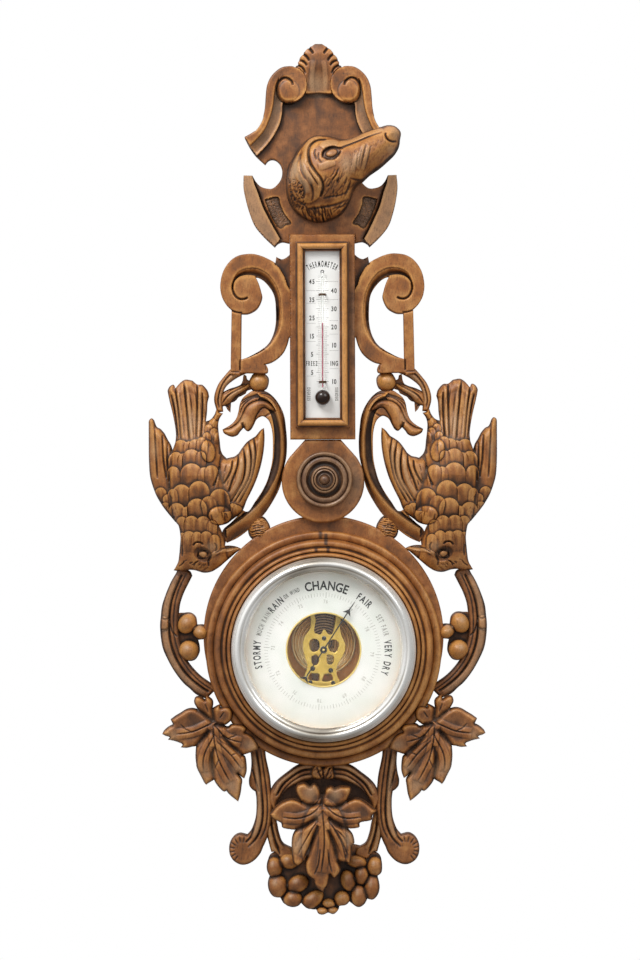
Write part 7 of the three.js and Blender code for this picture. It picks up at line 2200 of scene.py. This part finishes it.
half_side = trace(in_place, (0, 1), HAND_SIDE)
hand_ring = along_hand(np.concatenate([half_side, half_side[-2:0:-1] * (-1, 1)]))
hand = Carving(in_place, [hand_ring[::-1]], HAND_BACK, HAND_BACK + HAND_THICKNESS, rounding=0.3, pitch=0.3)
carved("steel_hand", hand, "pointer", blued, "blued_steel", "hand")
turned("hand_hub", DIAL, [[(0.95, HAND_BACK)], [(2.9, HAND_BACK)],
                          [(2.9, 40), (2.7, 40.5), (2.2, 40.75), (1.7, 40.6)],
                          [(1.45, 40.2)], [(0.95, 40.2)], [(0.95, HAND_BACK)]],
                          "pointer", blued, "blued_steel", steps=72, mark=lambda radius, around: -0.8)
turned("brass_arbor", DIAL, [[(0, 24.5)], [(1.6, 24.5)], [(1.6, 25.7)], [(0.9, 25.7)], [(0.9, 40.4)],
                             [(0.7, 40.7), (0, 40.8)]], "pointer", brass, "brass", "hand_arbor", steps=48)

# %% [markdown]
# The movement shows through the dial's eye: the corrugated capsule, the strong spring over it, and a pierced
# brass bridge on four pillars, with blued screws. The spring, arm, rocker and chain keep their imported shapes.

# %% Movement
CAPSULE = middle("capsule")
CAPSULE_RADIUS = sides("capsule")[1] - CAPSULE[0]
RING_STEP = 0.051
rings = []
for i in range(15):
    crest_radius = CAPSULE_RADIUS * (0.9 - RING_STEP * i)
    rings.append([(crest_radius, 18.5 + 0.15 * (i % 2)), (crest_radius - CAPSULE_RADIUS * 0.024, 18.9),
                  (crest_radius - CAPSULE_RADIUS * 0.045, 18.25)])


def corrugation(radius, around):
    """Each ring is bright on its crest; the capsule is darker above, where the dial shades it."""
    crests = np.cos(math.tau * (CAPSULE_RADIUS * 0.9 - radius) / (CAPSULE_RADIUS * RING_STEP))
    return 0.2 - 0.65 * np.sin(around + 0.3) + 0.5 * crests * (radius < 24.4) + 1.1 * (radius > 24.4)


turned("corrugated_capsule", CAPSULE, [
    [(0, 8)], [(3.5, 8)], [(3.5, 11)], [(24.9, 11)],
    [(25.7, 12), (25.9, 14), (25.9, 16), (25.7, 18), (25.2, 18.8), (24.6, 19)],
    [(24, 18.2)], *rings, [(4.4, 18.4)], [(2.2, 18.8)], [(2.2, 24.4)], [(0, 24.4)],
], "frame", alloy, "capsule_alloy", "capsule", steps=180, mark=corrugation)

BRIDGE = [
    [(330, -60)], [(410, -60)], [(415, 50), (430, 120), (420, 180), (410, 250), (420, 285)],
    [(450, 290), (480, 300), (505, 280), (520, 245), (535, 240), (555, 250), (570, 280), (600, 300),
     (630, 300)], [(650, 260), (665, 190), (680, 110), (690, 30), (700, -60)], [(760, -60)],
    [(745, 80), (730, 170), (735, 240), (750, 310), (775, 370), (795, 420), (795, 490), (775, 540),
     (750, 590), (715, 645), (690, 700), (685, 760), (700, 830), (740, 900)], [(810, 970)], [(770, 1030)],
    [(640, 965), (530, 975), (420, 965), (270, 1030)], [(220, 970)],
    [(275, 850), (300, 780), (325, 710), (320, 660), (300, 600), (280, 520), (270, 450), (275, 380),
     (300, 310), (340, 260), (365, 200), (370, 130), (360, 40)],
]
HEART = [
    (345, 420), (360, 375), (400, 352), (440, 358), (468, 385), (478, 430), (472, 475), (440, 505),
    (400, 515), (365, 490),
]
WINDOWS = [
    HEART, [(1063 - x, y + 10) for x, y in HEART[::-1]],
    [(375, 570), (440, 550), (470, 610), (450, 670), (400, 680), (375, 630)],
    [(565, 550), (640, 560), (655, 610), (630, 670), (570, 660)],
    [(360, 780), (465, 790), (465, 875), (390, 870), (330, 850)],
    [(535, 790), (620, 790), (635, 870), (510, 880)],
]
BRIDGE_BACK, BRIDGE_FRONT = 27.5, depths("skeleton_bridge")[1]
ARBOR_HOLE = 1.3
POST_RADIUS, POST_BACK, POST_LENGTH = 2.4, 8, 19.6


def circle(radius, height, corners):
    """A round outline about the frame's axis, at a height, all in millimetres."""
    turns = np.linspace(0, 2 * math.pi, corners + 1)[:-1]
    return in_place([(radius * math.sin(a), height + radius * math.cos(a)) for a in turns])


arbor_hole = circle(ARBOR_HOLE, DIAL_Z, 24)
holes = [even(curve(bridge([*window, window[0]])), 0.7)[:-1] for window in WINDOWS]
bridge_plate = Carving(bridge, [outline(bridge, BRIDGE), *holes, arbor_hole], BRIDGE_BACK, BRIDGE_FRONT,
                       rounding=0.35, pitch=0.6)
# Painted shade near the top of the eye, under the dial's edge.
bridge_plate.tint((530, 150), 26, 8, tone=-0.2)
carved("pierced_bridge", bridge_plate, "frame", brass, "brass", "skeleton_bridge")
post_line = [[(0, 0)], [(POST_RADIUS, 0)], [(POST_RADIUS, POST_LENGTH)], [(0, POST_LENGTH)]]
post = turned("bridge_post", (0, 0), post_line, "frame", brass, "brass", steps=32)
posts = bridge([(355, -30), (730, -30), (250, 980), (790, 985)])
repeated("bridge_posts", post, [(x, POST_BACK, z) for x, z in posts], [0] * 4, np.ones((4, 3)),
         "frame", brass, "brass")


def screw_unit(name, radius, height):
    """A slotted screw head with a domed top."""
    screw = Carving(in_place, [circle(radius, 0, 36)[::-1]], -0.5, height, rounding=height * 0.6, pitch=0.25)
    screw.cut([(-radius, 0), (radius, 0)], radius * 0.2, height * 0.6, 1.6, taper=0)
    points, triangles, tone, pale = screw.carve()
    return mesh_from(name, points, triangles, tone=tone, pale=pale)


SCREWS = [
    (533, 345, 1.8, 20), (390, 720, 1.9, 75), (615, 745, 1.9, -30), (362, 892, 1.7, 50), (645, 900, 1.7, 10),
]
screw_places = [(*bridge((x, y)), size) for x, y, size, _ in SCREWS]
repeated("bridge_screws", screw_unit("screw", 1, 0.9), [(x, BRIDGE_FRONT, z) for x, z, _ in screw_places],
         [turn for *_, turn in SCREWS], [(size, 1, size) for *_, size in screw_places],
         "frame", blued, "blued_steel")

# %% [markdown]
# At the back a brass plate is let into the crest board. A nail goes through its hole, and two screws hold it.

# %% Hanger plate
HANGER = sides("hanger_plate")
HANGER_MIDDLE = middle("hanger_plate")
HANGER_BACK = 0.45
NAIL_HOLE = 5
SCREW_RISE, SCREW_SIZE = 14, 3
nail_hole = circle(NAIL_HOLE, HANGER_MIDDLE[1], 48)
hanger = Carving(in_place, [rectangle(*HANGER), nail_hole], HANGER_BACK, depths("hanger_plate")[1],
                 rounding=0.2, pitch=1)
carved("brass_hanger", hanger, "frame", brass, "brass", "hanger_plate")
back_screw = screw_unit("back_screw", 1, 0.4)
back_screw.data.transform(Matrix.Rotation(math.pi, 4, "Z"))
hanger_screws = [(0, HANGER_BACK, HANGER_MIDDLE[1] + side * SCREW_RISE) for side in (-1, 1)]
repeated("hanger_screws", back_screw, hanger_screws, [25, -40], [(SCREW_SIZE, 1, SCREW_SIZE)] * 2, "frame",
         blued, "blued_steel")

# %% [markdown]
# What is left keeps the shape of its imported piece, and only gets its own finish.

# %% Plain pieces
plain = {
    "drum_case": lacquer, "base_plate": lacquer, "main_spring": arched_steel, "main_arm": spring_steel,
    "rocker_arbor": blued, "rocker_bracket": brass, "chain": blued, "hairspring": blued,
    "regulating_screw": brass,
}
for node, material in plain.items():
    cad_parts[node].data.materials.clear()
    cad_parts[node].data.materials.append(material)
print("Plain pieces:", ", ".join(plain))

# %% Finish
size = {"cad": [list(corner) for corner in cad_box], "visual": [list(corner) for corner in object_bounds()]}
print("Visible box in mm:", [[round(value / MM, 1) for value in corner] for corner in size["visual"]])
